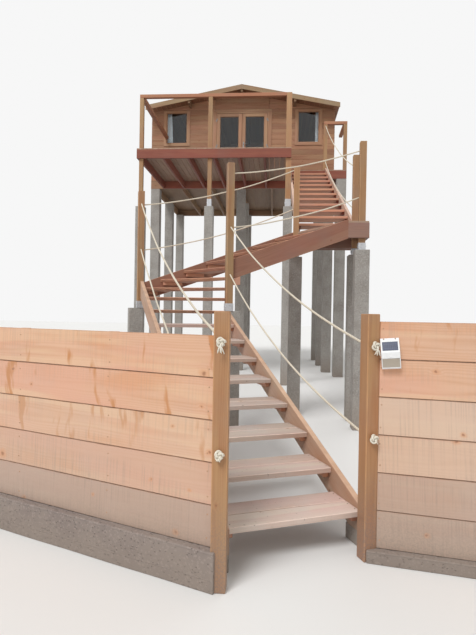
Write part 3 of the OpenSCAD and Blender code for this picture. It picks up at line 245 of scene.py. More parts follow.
@dataclass(frozen=True)
class Timber(Coat):
    """A softwood finish: growth rings, long fibres, knots, weather and soil.

    Attributes:
        pale: Colour of the spring wood.
        deep: Colour of the summer wood and the streaks.
        knot: Colour of a knot's heart.
        figure: How strongly the rings show.
        knots: Share of the places that may hold a knot which do.
        variety: How far boards differ in tone.
        roughness: Roughness of the surface.
        sawn: Depth of the saw's marks across the board.
        grey: How much of the surface has weathered grey.
        soil: Height above the ground that splashed soil reaches.
        splashed: Colour of the soil on it.
        bleached: Colour of boards in the middle of the tones, if it is another one.
        aged: Colour of boards at the far end of the tones, if it is another one.
        arris: Colour of the arrises, if it isn't a lighter one of the face's; the lighter arrises
            are rubbed wear together with a painted highlight where they face up to the light.
        amber: How strongly resin has streaked some of the boards.
        ends: How much deeper the end grain is.
        specks: How dark the crumbs of leaves and soil on it are.
    """

    pale: RGB
    deep: RGB
    knot: RGB = (0.16, 0.07, 0.035)
    figure: float = 0.5
    knots: float = 0.4
    variety: float = 0.22
    roughness: float = 0.62
    sawn: float = 0.0
    grey: float = 0.15
    soil: float = 0.0
    splashed: RGB = (0.30, 0.25, 0.21)
    bleached: RGB | None = None
    aged: RGB | None = None
    arris: RGB | None = None
    amber: float = 0.0
    ends: float = 0.35
    specks: float = 0.0

    def knot_marks(self, wood: Shader, at: Grain) -> tuple[Value, Value, Value]:
        """Return the hearts of the knots, their rims and the swirls round them."""
        bend = wood.drawn(at.x * 26.0, at.y * 34.0, at.tone * 9.0) - 0.5
        spots = wood.join(at.x * 3.1 + bend * 0.09,
                          at.y * 3.9 + at.tone * 17.0 - bend * 0.07, 0.0)
        pick, size, _ = wood.split(wood.cells(spots, 1.0, "Color", "2D"))
        far = wood.cells(spots, 1.0, dimensions="2D") * (2.1 - size * 1.4)
        chosen = pick.above(1.0 - self.knots)
        return (chosen * (1.0 - far.rise(0.015, 0.055)) * size.rise(0.0, 0.2),
                chosen * (1.0 - far.rise(0.035, 0.14)), chosen * (1.0 - far.rise(0.0, 0.24)))

    def zones(self, wood: Shader, at: Grain, blotch: Value, colour: Value) -> Value:
        """Return the colour with its warm, pink and yellow zones and the board's own tone."""
        x, y, tone = at.x, at.y, at.tone
        colour = wood.mix(blotch.rise(0.46, 0.74) * 0.6, colour, self.warm)
        flush = wood.drawn(x * 0.8, y * 2.2, tone * 23.0)
        colour = wood.mix(flush.rise(0.42, 0.64) * 0.6, colour, tint(self.pale, 1.0, 0.87, 0.92))
        sap = wood.drawn(x * 0.55 + 7.0, y * 7.5, tone * 31.0)
        colour = wood.mix(sap.rise(0.5, 0.6) * 0.55, colour, tint(self.pale, 1.06, 1.16, 1.12))
        if self.amber > 0.0:
            run = wood.drawn(x * 7.5 + at.slow * 1.4, y * 1.7, tone * 61.0, 3.0, 0.6)
            resin = run.rise(0.575, 0.66) * (1.0 - tone.rise(0.3, 0.6)) * self.amber
            colour = wood.mix(resin, colour, (0.56, 0.24, 0.085))
        if self.bleached is not None:
            middle = tone.rise(0.2, 0.45) * (1.0 - tone.rise(0.6, 0.8))
            colour = wood.mix(middle * 0.75, colour, self.bleached)
        if self.aged is not None:
            colour = wood.mix(tone.rise(0.6, 1.0) * 0.85, colour, self.aged)
        dim = 1.0 - self.variety * tone
        return wood.mix(1.0, colour, wood.join(dim, dim, dim), "MULTIPLY")

    def faces(self, wood: Shader, at: Grain, blotch: Value, colour: Value) -> Value:
        """Return the colour with its deeper ends, its arrises, rubbed and lit by a painted
        highlight, and painted shade on its underside.
        """
        colour = wood.mix(wood.attribute("end") * self.ends, colour, self.deep)
        # Arrises: rubbed wear, with a painted highlight where they face up to the light.
        patchy = wood.drawn(at.x * 9.0, at.tone * 30.0, 0.0, 3.0).rise(0.3, 0.7)
        colour = wood.mix(wood.attribute("arris") * (patchy * 0.45 + 0.3), colour,
                          self.arris or tint(self.pale, 1.32))
        # Painted shade: faces that look down are darkened towards the deep colour.
        return wood.mix(wood.attribute("under") * (blotch * 0.3 + 0.5), colour,
                        tint(self.deep, 0.42))

    def weather(self, wood: Shader, at: Grain, blotch: Value, colour: Value) -> Value:
        """Return the colour with the saw's marks, grey wear, splashed soil and crumbs."""
        px, py, pz = wood.split(wood.place())
        worn = wood.drawn(px * 2.2, py * 2.2, pz * 2.2, 4.0, 0.65)
        if self.sawn > 0.0:
            stroke = wood.drawn(at.x * 75.0 + at.y * 3.0, at.y * 1.5, at.tone * 40.0)
            worked = blotch.rise(0.35, 0.6) * (at.tone * 0.3 + 0.12) * self.sawn
            colour = wood.mix(stroke.rise(0.46, 0.66) * worked, colour,
                              tint(self.aged or self.deep, 0.72))
        silver = sum(self.pale) / 3.0 * 0.9
        open_air = worn.rise(0.42, 0.78) * (1.0 - wood.attribute("under"))
        colour = wood.mix(open_air * self.grey, colour, tint((silver,) * 3, 1.0, 0.97, 0.92))
        if self.soil > 0.0:
            splash = (1.0 - (pz + (worn - 0.5) * 0.35).rise(0.05, self.soil)) * 0.62
            fleck = wood.noise(wood.place(), 90.0, 2.0).rise(0.4, 0.65) * 0.5 + 0.5
            colour = wood.mix(splash * fleck, colour, self.splashed)
        if self.specks > 0.0:
            crumbs = wood.drawn(px * 42.0, py * 42.0, pz * 42.0, 4.0, 0.6)
            fallen = crumbs.rise(0.64, 0.7) * worn.rise(0.4, 0.6) * self.specks
            colour = wood.mix(fallen, colour, (0.14, 0.09, 0.065))
        return colour

    @property
    def warm(self) -> RGB:
        """Colour of the warm blotches and of the knots' rims."""
        return tint(self.deep, 1.16, 1.04, 0.92)

    def dress(self, wood: Shader) -> None:
        """Build the finish on an empty shader."""
        x, y, z = wood.split(wood.attribute("grain", "Vector"))
        slow = wood.drawn(x * 0.9, y * 2.5, z * 2.5) - 0.5
        at = Grain(x, y, z, wood.attribute("tone"), slow)
        heart, rim, swirl = self.knot_marks(wood, at)

        height = z + 0.075 + at.tone * 0.03
        reach = (y * y + height * height) ** 0.5 + slow * 0.05 + swirl * 0.012
        ring = (reach * 520.0).wave() ** 2.0
        fibre = wood.drawn(x * 5.0, y * 160.0, z * 160.0)
        streak = wood.drawn(x * 1.1, y * 24.0, z * 24.0, 3.0, 0.6)
        figure = (ring * 0.5 + fibre * 0.25 + streak.rise(0.35, 0.75) * 0.5) * self.figure
        blotch = wood.drawn(x * 1.6, y * 6.0, z * 6.0, 3.0)

        colour = self.zones(wood, at, blotch, wood.mix(figure, self.pale, self.deep))
        colour = wood.mix(rim * 0.5, colour, self.warm)
        colour = wood.mix(heart * 0.8, colour, self.knot)
        colour = self.weather(wood, at, blotch, self.faces(wood, at, blotch, colour))
        wood.set(Base_Color=colour, Roughness=figure * 0.12 + self.roughness, IOR=1.45)
        relief = fibre * 0.35 + ring * 0.25 - heart * 0.4
        if self.sawn > 0.0:
            cut = ((x + slow * 0.02) * 900.0).wave() * 0.35 * self.sawn
            relief = relief + cut + wood.drawn(x * 240.0, y * 60.0, z * 60.0) * 0.4
        wood.bump(relief, 0.0008, 0.8)


@dataclass(frozen=True)
class Concrete(Coat):
    """Cast concrete, pitted and stained by soil up to a height over the ground."""

    body: RGB
    stain: RGB
    soil: float = 0.4

    def dress(self, cast: Shader) -> None:
        """Build the finish on an empty shader."""
        place = cast.place()
        _, _, up = cast.split(place)
        cloud = cast.noise(place, 3.2, 5.0, 0.62)
        grit = cast.noise(place, 210.0, 3.0, 0.7)
        pits = 1.0 - cast.cells(place, 42.0).rise(0.1, 0.3)
        lines = 1.0 - ((up * 6.6667).part() - 0.5).size().rise(0.0, 0.03)
        colour = cast.mix(cloud.rise(0.3, 0.75), self.body, self.stain)
        colour = cast.mix(grit * 0.45, colour, tint(self.body, 0.62))
        colour = cast.mix(cast.speckle(95.0).above(0.86) * 0.3, colour, tint(self.body, 1.5))
        # Painted shade: the pits are darkened.
        colour = cast.mix(pits * 0.55, colour, tint(self.stain, 0.4))
        wet = (1.0 - (up + (cloud - 0.5) * 0.5).rise(0.0, self.soil)) * 0.6
        cast.set(Base_Color=cast.mix(wet, colour, (0.27, 0.22, 0.18)),
                 Roughness=0.94 - pits * 0.1)
        sand = cast.noise(place, 46.0, 3.0) * 0.5
        cast.bump(sand + grit * 0.3 - pits * 0.9 + cloud * 0.6 + lines * 0.35, 0.004, 0.9)


@dataclass(frozen=True)
class Galvanised(Coat):
    """Zinc-coated sheet with its bright spangle and dull streaks."""

    zinc: RGB
    dull: RGB
    metallic: float = 0.85

    def dress(self, sheet: Shader) -> None:
        """Build the finish on an empty shader."""
        place = sheet.place()
        x, y, z = sheet.split(place)
        spangle, shade, _ = sheet.split(sheet.cells(place, 85.0, "Color"))
        run = sheet.drawn(x * 40.0, y * 40.0, z * 4.0, 3.0)
        cloud = sheet.noise(place, 14.0, 4.0, 0.6)
        colour = sheet.mix(cloud.rise(0.35, 0.7) * 0.6 + spangle * 0.25, self.zinc, self.dull)
        colour = sheet.mix(run.rise(0.55, 0.8) * 0.35, colour, tint(self.dull, 0.7))
        sheet.set(Base_Color=colour, Metallic=self.metallic - cloud.rise(0.4, 0.8) * 0.25,
                  Roughness=shade * 0.12 + cloud * 0.25 + 0.28)
        sheet.bump(cloud * 0.6 + spangle * 0.2, 0.0006, 0.5)


@dataclass(frozen=True)
class Felt(Coat):
    """Mineral felt with dust and patches of lichen."""

    mineral: RGB
    moss: RGB

    def dress(self, felt: Shader) -> None:
        """Build the finish on an empty shader."""
        place = felt.place()
        fleck = felt.speckle(260.0)
        cloud = felt.noise(place, 1.7, 5.0, 0.6)
        patch = felt.noise(place, 7.5, 5.0, 0.7)
        colour = felt.mix(fleck.rise(0.2, 0.9), tint(self.mineral, 0.6), tint(self.mineral, 1.4))
        colour = felt.mix(cloud.rise(0.4, 0.7) * 0.35, colour, (0.24, 0.23, 0.20))
        colour = felt.mix(patch.rise(0.58, 0.72) * 0.7, colour, self.moss)
        felt.set(Base_Color=colour, Roughness=0.93 - fleck * 0.06)
        felt.bump(felt.noise(place, 420.0, 2.0, 0.8) * 0.5 + patch * 0.4, 0.003, 0.8)


@dataclass(frozen=True)
class Glazing(Coat):
    """Clear glass with a thin film of dust."""

    body: RGB

    def dress(self, glass: Shader) -> None:
        """Build the finish on an empty shader."""
        place = glass.place()
        x, y, z = glass.split(place)
        run = glass.drawn(x * 9.0, y * 9.0, z * 1.4, 4.0, 0.6)
        dust = glass.noise(place, 30.0, 4.0, 0.7)
        film = run.rise(0.5, 0.85) * 0.5 + dust.rise(0.55, 0.8) * 0.3
        glass.set(Base_Color=glass.mix(film * 0.25, self.body, (0.66, 0.66, 0.62)),
                  Roughness=film * 0.05 + 0.01, IOR=1.45, Transmission_Weight=1.0,
                  Specular_IOR_Level=0.15)
        glass.bump(glass.noise(place, 3.0, 1.0), 0.002, 0.3)


@dataclass(frozen=True)
class Moulding(Coat):
    """Moulded plastic with a fine grain, opaque or partly clear."""

    body: RGB
    roughness: float = 0.35
    clear: float = 0.0

    def dress(self, shell: Shader) -> None:
        """Build the finish on an empty shader."""
        place = shell.place()
        grime = shell.noise(place, 45.0, 4.0, 0.7)
        shell.set(Base_Color=shell.mix(grime.rise(0.45, 0.8) * 0.22, self.body,
                                       tint(self.body, 0.55)),
                  Roughness=grime * 0.2 + self.roughness, IOR=1.49,
                  Transmission_Weight=self.clear)
        shell.bump(shell.noise(place, 1500.0, 2.0) * 0.3 + grime * 0.2, 0.0003, 0.4)


@dataclass(frozen=True)
class SolarCells(Coat):
    """Dark cells under clear resin, crossed by fine lines at a pitch."""

    cell: RGB
    line: RGB
    pitch: float = 0.011

    def dress(self, panel: Shader) -> None:
        """Build the finish on an empty shader."""
        u, v, _ = panel.split(panel.attribute("grain", "Vector"))
        across = ((u / self.pitch).part() - 0.5).size().above(0.455)
        along = ((v / (self.pitch * 2.6)).part() - 0.5).size().above(0.48)
        crystal = panel.speckle(240.0)
        colour = panel.mix(crystal * 0.35, self.cell, tint(self.cell, 2.2))
        colour = panel.mix(across.most(along) * 0.7, colour, self.line)
        panel.set(Base_Color=colour, Roughness=crystal * 0.1 + 0.3, Coat_Weight=0.5,
                  Coat_Roughness=0.05)


@dataclass(frozen=True)
class LaidRope(Coat):
    """Three-strand rope: light crowns, grooves darkened by painted shade, fibres along the yarns.
    """

    crown: RGB
    groove: RGB

    def dress(self, rope: Shader) -> None:
        """Build the finish on an empty shader."""
        u, v, _ = rope.split(rope.attribute("yarn", "Vector"))
        thread = rope.drawn(u * 60.0, v * 9.0, 0.0, 3.0, 0.6)
        dirt = rope.noise(rope.place(), 5.0, 4.0, 0.6)
        fuzz = rope.noise(rope.place(), 700.0, 2.0)
        # Painted shade: the grooves between the strands are darker than the crowns.
        colour = rope.mix(rope.attribute("groove").rise(0.1, 0.75), self.groove, self.crown)
        colour = rope.mix(thread.rise(0.4, 0.75) * 0.4, colour, self.groove)
        colour = rope.mix(dirt.rise(0.45, 0.75) * 0.3, colour, (0.42, 0.36, 0.27))
        rope.set(Base_Color=colour, Roughness=thread * 0.1 + 0.82)
        rope.bump(thread * 0.7 + fuzz * 0.4, 0.0012, 0.9)


@dataclass(frozen=True)
class Cotton(Coat):
    """Thin cotton, woven of threads at a distance from one another."""

    body: RGB
    thread: float = 0.0016

    def dress(self, cloth: Shader) -> None:
        """Build the finish on an empty shader."""
        u, v, _ = cloth.split(cloth.attribute("grain", "Vector"))
        turn = math.tau / self.thread
        weave = (u * turn).wave() * (v * turn).wave()
        slub = cloth.drawn(u * 30.0, v * 300.0, 0.0)
        colour = cloth.mix(weave * 0.12 + slub.rise(0.5, 0.8) * 0.1, self.body,
                           tint(self.body, 0.7))
        cloth.set(Base_Color=colour, Roughness=slub * 0.08 + 0.86, Sheen_Weight=0.2)
        crease = cloth.drawn(u * 7.0, v * 2.0, 0.0, 3.0)
        cloth.bump(weave * 0.3 + crease * 0.6, 0.0015, 0.6)


@dataclass(frozen=True)
class PlainSteel(Coat):
    """Turned or rolled steel, dull, with an amount of rust at its pores."""

    body: RGB
    rust: RGB = (0.26, 0.11, 0.05)
    amount: float = 0.2
    roughness: float = 0.38

    def dress(self, steel: Shader) -> None:
        """Build the finish on an empty shader."""
        place = steel.place()
        cloud = steel.noise(place, 60.0, 5.0, 0.7)
        mark = steel.noise(place, 300.0, 2.0)
        rusty = cloud.rise(0.72 - self.amount, 0.8) * 0.8
        steel.set(Base_Color=steel.mix(rusty, self.body, self.rust), Metallic=0.9 - rusty,
                  Roughness=rusty * 0.35 + mark * 0.15 + self.roughness)
        steel.bump(cloud * 0.5 + mark * 0.3, 0.0004, 0.5)


class Finish(Enum):
    """The finishes of the tree house."""

    FENCE = Timber("sawn_fence_board", (0.74, 0.46, 0.31), (0.58, 0.30, 0.16),
                   knot=(0.34, 0.15, 0.08), knots=0.5, figure=0.5, sawn=1.0, soil=0.5,
                   grey=0.12, variety=0.05, bleached=(0.70, 0.53, 0.41),
                   aged=(0.50, 0.37, 0.30), arris=(0.26, 0.11, 0.05), amber=0.85)
    GATE = Timber("gatepost_pine", (0.46, 0.25, 0.12), (0.34, 0.155, 0.07), knots=0.3,
                  knot=(0.2, 0.085, 0.035), figure=0.6, variety=0.12, soil=0.7, grey=0.2,
                  roughness=0.55, splashed=(0.18, 0.155, 0.15))
    PINE = Timber("planed_pine", (0.45, 0.265, 0.135), (0.33, 0.17, 0.072), knots=0.25,
                  figure=0.6, variety=0.25, grey=0.2, roughness=0.55)
    TREAD = Timber("worn_tread", (0.70, 0.555, 0.48), (0.55, 0.395, 0.315), knots=0.3,
                   knot=(0.17, 0.085, 0.05), figure=0.5, variety=0.3, soil=0.3, grey=0.45,
                   ends=0.1, specks=0.7)
    # The stringers' light arris colour is mostly a painted highlight on their lit top edges.
    STRING = Timber("stringer_board", (0.52, 0.34, 0.24), (0.38, 0.21, 0.13), knots=0.25,
                    figure=0.5, variety=0.1, soil=0.3, grey=0.25, arris=(0.70, 0.46, 0.31))
    BLEACHED = Timber("bleached_stringer", (0.62, 0.43, 0.34), (0.48, 0.30, 0.22), knots=0.25,
                      figure=0.5, variety=0.1, grey=0.25)
    STAINED = Timber("stained_frame", (0.30, 0.095, 0.058), (0.19, 0.05, 0.036),
                     knot=(0.1, 0.035, 0.02), knots=0.25, figure=0.55, variety=0.22, grey=0.16)
    # Its light arris colour is a painted highlight on the lit top edges.
    SKEWED = Timber("middle_stringer_board", (0.31, 0.15, 0.10), (0.215, 0.09, 0.056),
                    knot=(0.12, 0.045, 0.025), knots=0.3, figure=0.5, variety=0.15, grey=0.2,
                    arris=(0.62, 0.33, 0.20))
    FADED = Timber("faded_landing_board", (0.32, 0.185, 0.14), (0.23, 0.12, 0.088),
                   knot=(0.12, 0.05, 0.03), knots=0.3, figure=0.5, variety=0.15, grey=0.3)
    RAIL = Timber("rail_timber", (0.45, 0.21, 0.115), (0.32, 0.125, 0.065),
                  knot=(0.12, 0.045, 0.025), knots=0.25, figure=0.55, variety=0.2, grey=0.2)
    RED_TREAD = Timber("orange_tread", (0.66, 0.35, 0.23), (0.49, 0.225, 0.135),
                       knot=(0.14, 0.05, 0.03), knots=0.25, figure=0.5, variety=0.18, grey=0.25,
                       ends=0.1)
    DECKING = Timber("deck_board", (0.46, 0.30, 0.215), (0.34, 0.20, 0.13), knots=0.25,
                     figure=0.55, grey=0.25, ends=0.0)
    CLADDING = Timber("wall_board", (0.42, 0.225, 0.13), (0.29, 0.135, 0.072), knots=0.42,
                      knot=(0.12, 0.05, 0.028), figure=0.6, variety=0.28, grey=0.08)
    TRIM = Timber("planed_trim", (0.44, 0.25, 0.145), (0.32, 0.16, 0.085), knots=0.15,
                  figure=0.45, variety=0.14, grey=0.08, roughness=0.5)
    BARGE = Timber("lichened_board", (0.37, 0.24, 0.135), (0.26, 0.155, 0.082), knots=0.25,
                   figure=0.45, variety=0.2, grey=0.3)
    ROOM = Timber("room_board", (0.31, 0.19, 0.11), (0.22, 0.125, 0.068), knots=0.3,
                  figure=0.45, variety=0.15, grey=0.0)
    CONCRETE = Concrete("plinth_concrete", (0.33, 0.275, 0.25), (0.235, 0.19, 0.175))
    PIER = Concrete("pier_concrete", (0.40, 0.38, 0.355), (0.30, 0.275, 0.25), 0.6)
    ZINC = Galvanised("zinc_sheet", (0.62, 0.63, 0.65), (0.46, 0.47, 0.49))
    SCREW = PlainSteel("screw_steel", (0.34, 0.27, 0.19), amount=0.2, roughness=0.5)
    YELLOWED = PlainSteel("yellowed_screw_steel", (0.56, 0.37, 0.25), amount=0.06,
                          roughness=0.6)
    HINGE = PlainSteel("hinge_steel", (0.30, 0.29, 0.28), amount=0.12, roughness=0.42)
    ROD = PlainSteel("curtain_rod_steel", (0.22, 0.21, 0.20), amount=0.02)
    FELT = Felt("mineral_felt", (0.13, 0.13, 0.125), (0.25, 0.24, 0.12))
    GLASS = Glazing("window_pane", (0.84, 0.88, 0.89))
    SHELL = Moulding("lamp_shell_white", (0.86, 0.87, 0.88))
    LENS = Moulding("lamp_lens_frosted", (0.60, 0.53, 0.44), 0.3, 0.25)
    CELLS = SolarCells("solar_panel", (0.012, 0.02, 0.06), (0.10, 0.13, 0.24))
    ROPE = LaidRope("laid_rope", (0.80, 0.74, 0.62), (0.52, 0.44, 0.32))
    FRAY = LaidRope("frayed_end", (0.84, 0.80, 0.70), (0.62, 0.55, 0.43))
    CURTAIN = Cotton("curtain_cotton", (0.92, 0.94, 0.97))

    def material(self) -> bpy.types.Material:
        """Return the finish's material, built on first use."""
        return self.value.material()


@dataclass(frozen=True)
class Spot:
    """A frame to build in, seen from above: its origin and its x axis's heading in degrees."""

    x: float = 0.0
    y: float = 0.0
    turn: float = 0.0

    def matrix(self) -> Matrix:
        """Return the matrix from this frame to the model's."""
        return Matrix.Translation((self.x, self.y, 0.0)) @ Matrix.Rotation(
            math.radians(self.turn), 4, "Z")

    def point(self, x: float, y: float, z: float = 0.0) -> Vector:
        """Return a point of this frame as a point of the model."""
        return self.matrix() @ Vector((x, y, z))

    @property
    def across(self) -> Vector:
        """Direction of its x axis."""
        return self.point(1, 0) - self.point(0, 0)

    @property
    def along(self) -> Vector:
        """Direction of its y axis."""
        return self.point(0, 1) - self.point(0, 0)


def turned(along: Vector, wide: Vector) -> Matrix:
    """Return the turn with its x axis on one direction and its y axis on another."""
    return Matrix((along, wide, along.cross(wide))).transposed().to_4x4()


class Lay(Enum):
    """How a board lies: its grain axis, then its width, in its frame."""

    X_FLAT = (X_WAY, Y_WAY)
    X_EDGE = (X_WAY, Z_WAY)
    Y_FLAT = (Y_WAY, X_WAY)
    Y_EDGE = (Y_WAY, Z_WAY)
    Z_X = (Z_WAY, X_WAY)


def select_only(*objects: Thing) -> None:
    """Leave edit mode and select these objects alone."""
    if bpy.context.object is not None and bpy.context.object.mode != "OBJECT":
        bpy.ops.object.mode_set(mode="OBJECT")
    bpy.ops.object.select_all(action="DESELECT")
    for each in objects:
        each.select_set(True)
    bpy.context.view_layer.objects.active = objects[0] if objects else None


@contextmanager
def editing(made: Thing) -> Iterator[None]:
    """Work on an object in edit mode, with the whole of its mesh selected at first."""
    select_only(made)
    bpy.ops.object.mode_set(mode="EDIT")
    bpy.ops.mesh.select_all(action="SELECT")
    yield
    bpy.ops.object.mode_set(mode="OBJECT")


def select(kind: str, wanted: Callable[[object], bool]) -> None:
    """Select the parts of the mesh in edit mode that a test accepts.

    Args:
        kind: FACE or EDGE.
        wanted: The test of a face or an edge.
    """
    bpy.ops.mesh.select_mode(type=kind)
    bpy.ops.mesh.select_all(action="DESELECT")
    mesh = bpy.context.object.data
    shape = bmesh.from_edit_mesh(mesh)
    for each in shape.faces if kind == "FACE" else shape.edges:
        each.select_set(bool(wanted(each)))
    bmesh.update_edit_mesh(mesh)


def looks_up(face: bmesh.types.BMFace) -> bool:
    """Return whether a face is a level one on top."""
    return face.normal.z > 0.9


def push(x: float, y: float, z: float) -> None:
    """Extrude what is selected in edit mode along a vector."""
    bpy.ops.mesh.extrude_region_move(TRANSFORM_OT_translate={"value": (x, y, z)})


def apply_modifier(made: Thing, kind: str, **settings: object) -> None:
    """Add a modifier to a piece, with its settings, and apply it."""
    select_only(made)
    modifier = made.modifiers.new(kind.lower(), kind)
    for name, value in settings.items():
        setattr(modifier, name, value)
    bpy.ops.object.modifier_apply(modifier=modifier.name)


def round_off(made: Thing, width: float, segments: int = 2) -> None:
    """Round the arrises of a solid."""
    apply_modifier(made, "BEVEL", width=width, segments=segments, limit_method="ANGLE")


def settle(made: Thing) -> None:
    """Put a piece's place into its mesh."""
    select_only(made)
    bpy.ops.object.transform_apply(location=True, rotation=True, scale=True)


def added(mesh: bpy.types.Mesh) -> Thing:
    """Return a new object in the scene with a mesh."""
    made = bpy.data.objects.new(mesh.name, mesh)
    bpy.context.scene.collection.objects.link(made)
    return made


def meshed(name: str, shape: bmesh.types.BMesh) -> Thing:
    """Turn a finished bmesh into an object."""
    bmesh.ops.recalc_face_normals(shape, faces=shape.faces)
    mesh = bpy.data.meshes.new(name)
    shape.to_mesh(mesh)
    shape.free()
    return added(mesh)


def unit_cube() -> Thing:
    """Model a cube with sides of 1."""
    select_only()
    bpy.ops.mesh.primitive_cube_add(size=1.0)
    return bpy.context.object


def cylinder(radius: float, depth: float, sides: int = 24, at: Sequence[float] = (0, 0, 0),
             turn: Sequence[float] = (0, 0, 0)) -> Thing:
    """Model a cylinder with its place in its mesh.

    Args:
        radius: Its radius.
        depth: Its length.
        sides: Number of its sides.
        at: Its middle.
        turn: Its turn from upright, in radians.

    Returns:
        The cylinder.
    """
    select_only()
    bpy.ops.mesh.primitive_cylinder_add(vertices=sides, radius=radius, depth=depth, location=at,
                                        rotation=turn)
    made = bpy.context.object
    settle(made)
    return made


def extruded(outline: Sequence[Sequence[float]], way: Vector, bevel: float, segments: int,
             cuts: int = 0) -> Thing:
    """Extrude a flat outline and round the solid's arrises.

    Args:
        outline: Corners of the outline.
        way: How far it is drawn out.
        bevel: Width of the arrises.
        segments: Number of faces across an arris.
        cuts: Number of rings along it.

    Returns:
        The solid.
    """
    mesh = bpy.data.meshes.new("profile")
    mesh.from_pydata(outline, [], [range(len(outline))])
    made = added(mesh)
    with editing(made):
        push(*way)
        bpy.ops.mesh.select_all(action="SELECT")
        bpy.ops.mesh.normals_make_consistent(inside=False)
        if cuts:
            ahead = way.normalized()
            select("EDGE", lambda e: abs((e.verts[0].co - e.verts[1].co).dot(ahead)) > 0.5)
            bpy.ops.mesh.subdivide(number_cuts=cuts)
    round_off(made, bevel, segments)
    return made


def blank(bevel: float, cuts: int, segments: int) -> Thing:
    """Model a board of unit size with its arrises taken off and rings across it."""
    made = unit_cube()
    with editing(made):
        bpy.ops.mesh.bevel(offset=bevel, segments=segments, affect="EDGES")
        if cuts:
            select("EDGE", lambda e: abs(e.verts[0].co.x - e.verts[1].co.x) > 0.5)
            bpy.ops.mesh.subdivide(number_cuts=cuts)
    return made


def screw_head() -> Thing:
    """Model a countersunk screw's head with its recess."""
    made = cylinder(0.0048, 0.0016, 12)
    with editing(made):
        select("FACE", looks_up)
        bpy.ops.mesh.inset(thickness=0.001)
        bpy.ops.transform.translate(value=(0.0, 0.0, 0.0006))
        bpy.ops.mesh.inset(thickness=0.0018)
        push(0, 0, -0.0015)
    return made


def bolt_head() -> Thing:
    """Model a hexagon bolt's head on its washer."""
    washer = cylinder(0.012, 0.002, 20, (0, 0, 0.001))
    head = cylinder(0.0085, 0.006, 6, (0, 0, 0.005))
    with editing(head):
        select("FACE", looks_up)
        bpy.ops.mesh.inset(thickness=0.0012)
        bpy.ops.transform.translate(value=(0.0, 0.0, 0.0008))
    select_only(washer, head)
    bpy.ops.object.join()
    return washer


class Bench:
    """The workbench: it cuts boards, drives screws and hands over pieces."""

    def __init__(self, seed: int = 11) -> None:
        """Start with a fixed seed, so that every run gives the same boards."""
        self.random = random.Random(seed)
        self.patterns: dict[tuple, bpy.types.Mesh] = {}

    def copy(self, model: Callable[..., Thing], *sizes: float) -> Thing:
        """Return a copy of what a function models, which it does once for the same sizes."""
        key = (model.__name__, *sizes)
        if key not in self.patterns:
            made = model(*sizes)
            self.patterns[key] = made.data
            bpy.data.objects.remove(made)
        return added(self.patterns[key].copy())

    def fixing(self, model: Callable[[], Thing], place: Matrix) -> Thing:
        """Set a screw's or a bolt's head, which looks along the place's z axis."""
        made = self.copy(model)
        made.data.transform(place)
        return made

    def board(self, size: Sequence[float], place: Matrix, bevel: float = 0.003, cuts: int = 0,
              wave: float = 0.0, segments: int = 1) -> "Board":
        """Cut a board.

        Args:
            size: Its length, width and thickness.
            place: The place of its middle; x is its length and y its width.
            bevel: Width of its arrises.
            cuts: Number of rings across it, for a board that isn't straight.
            wave: How far its edges wander.
            segments: Number of faces across an arris.

        Returns:
            The board, still in its own frame.
        """
        made = self.copy(blank, bevel, cuts, segments)
        phase = [self.random.uniform(0.0, math.tau) for _ in range(6)]
        length, width, thick = size
        for vertex in made.data.vertices:
            x, y, z = vertex.co
            if abs(x) > 0.5 - bevel - 1e-5:
                x = math.copysign(length / 2 - (0.5 - abs(x)), x)
            else:
                x *= length
            y = math.copysign(width / 2 - (0.5 - abs(y)), y)
            z = math.copysign(thick / 2 - (0.5 - abs(z)), z)
            if wave:
                side = 0 if y > 0 else 2
                y += wave * (math.sin(x * 2.1 + phase[side]) + 0.5 * math.sin(
                    x * 6.3 + phase[side + 1]) - 0.9 * (1 if y > 0 else -1))
                z += wave * 0.5 * math.sin(x * 1.7 + phase[4])
            vertex.co = (x, y, z)
        return Board(self, made, place)

    def laid(self, size: Sequence[float], middle: Vector, along: Vector, wide: Vector,
             **finish: float) -> "Board":
        """Cut a board round a middle point.

        Args:
            size: Its length, width and thickness.
            middle: Its middle.
            along: Direction of its length.
            wide: Direction of its width.
            **finish: Its arrises, rings and wander, as for any board.

        Returns:
            The board.
        """
        return self.board(size, Matrix.Translation(middle) @ turned(along, wide), **finish)

    def between(self, low: Sequence[float], high: Sequence[float], lay: Lay,
                spot: Spot = Spot(), **finish: float) -> "Board":
        """Cut a board that fills a box.

        Args:
            low: The box's lowest corner, in a frame.
            high: The box's highest corner.
            lay: How the board lies.
            spot: The frame.
            **finish: Its arrises, rings and wander, as for any board.

        Returns:
            The board.
        """
        low, high = Vector(low), Vector(high)
        turn = turned(*lay.value)
        size = turn.to_3x3().transposed() @ (high - low)
        place = spot.matrix() @ Matrix.Translation((low + high) / 2) @ turn
        return self.board([abs(v) for v in size], place, **finish)

    def post(self, x: float, y: float, base: float, top: float, width: float,
             spot: Spot = Spot(), **finish: float) -> "Board":
        """Cut a square post that stands on a point of a frame."""
        half = width / 2
        return self.between((x - half, y - half, base), (x + half, y + half, top), Lay.Z_X, spot,
                            **{"bevel": 0.006, "segments": 2, **finish})

    def piece(self, name: str, parts: Iterable["Board | Thing"], finish: Finish, slot: str,
              replaces: Sequence[str] = (), body: str = HOUSE) -> Thing:
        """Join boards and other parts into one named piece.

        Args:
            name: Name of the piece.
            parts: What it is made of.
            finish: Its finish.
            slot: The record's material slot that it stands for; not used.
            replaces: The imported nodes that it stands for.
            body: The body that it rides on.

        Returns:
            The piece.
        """
        cut = [each.done() if isinstance(each, Board) else each for each in parts]
        select_only(*cut)
        if len(cut) > 1:
            bpy.ops.object.join()
        made = bpy.context.object
        made.name = made.data.name = name
        made.data.materials.clear()
        made.data.materials.append(finish.material())
        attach(made, body)
        if replaces:
            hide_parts(*replaces)
        log.info("%s: %d parts, %d faces", name, len(cut), len(made.data.polygons))
        return made


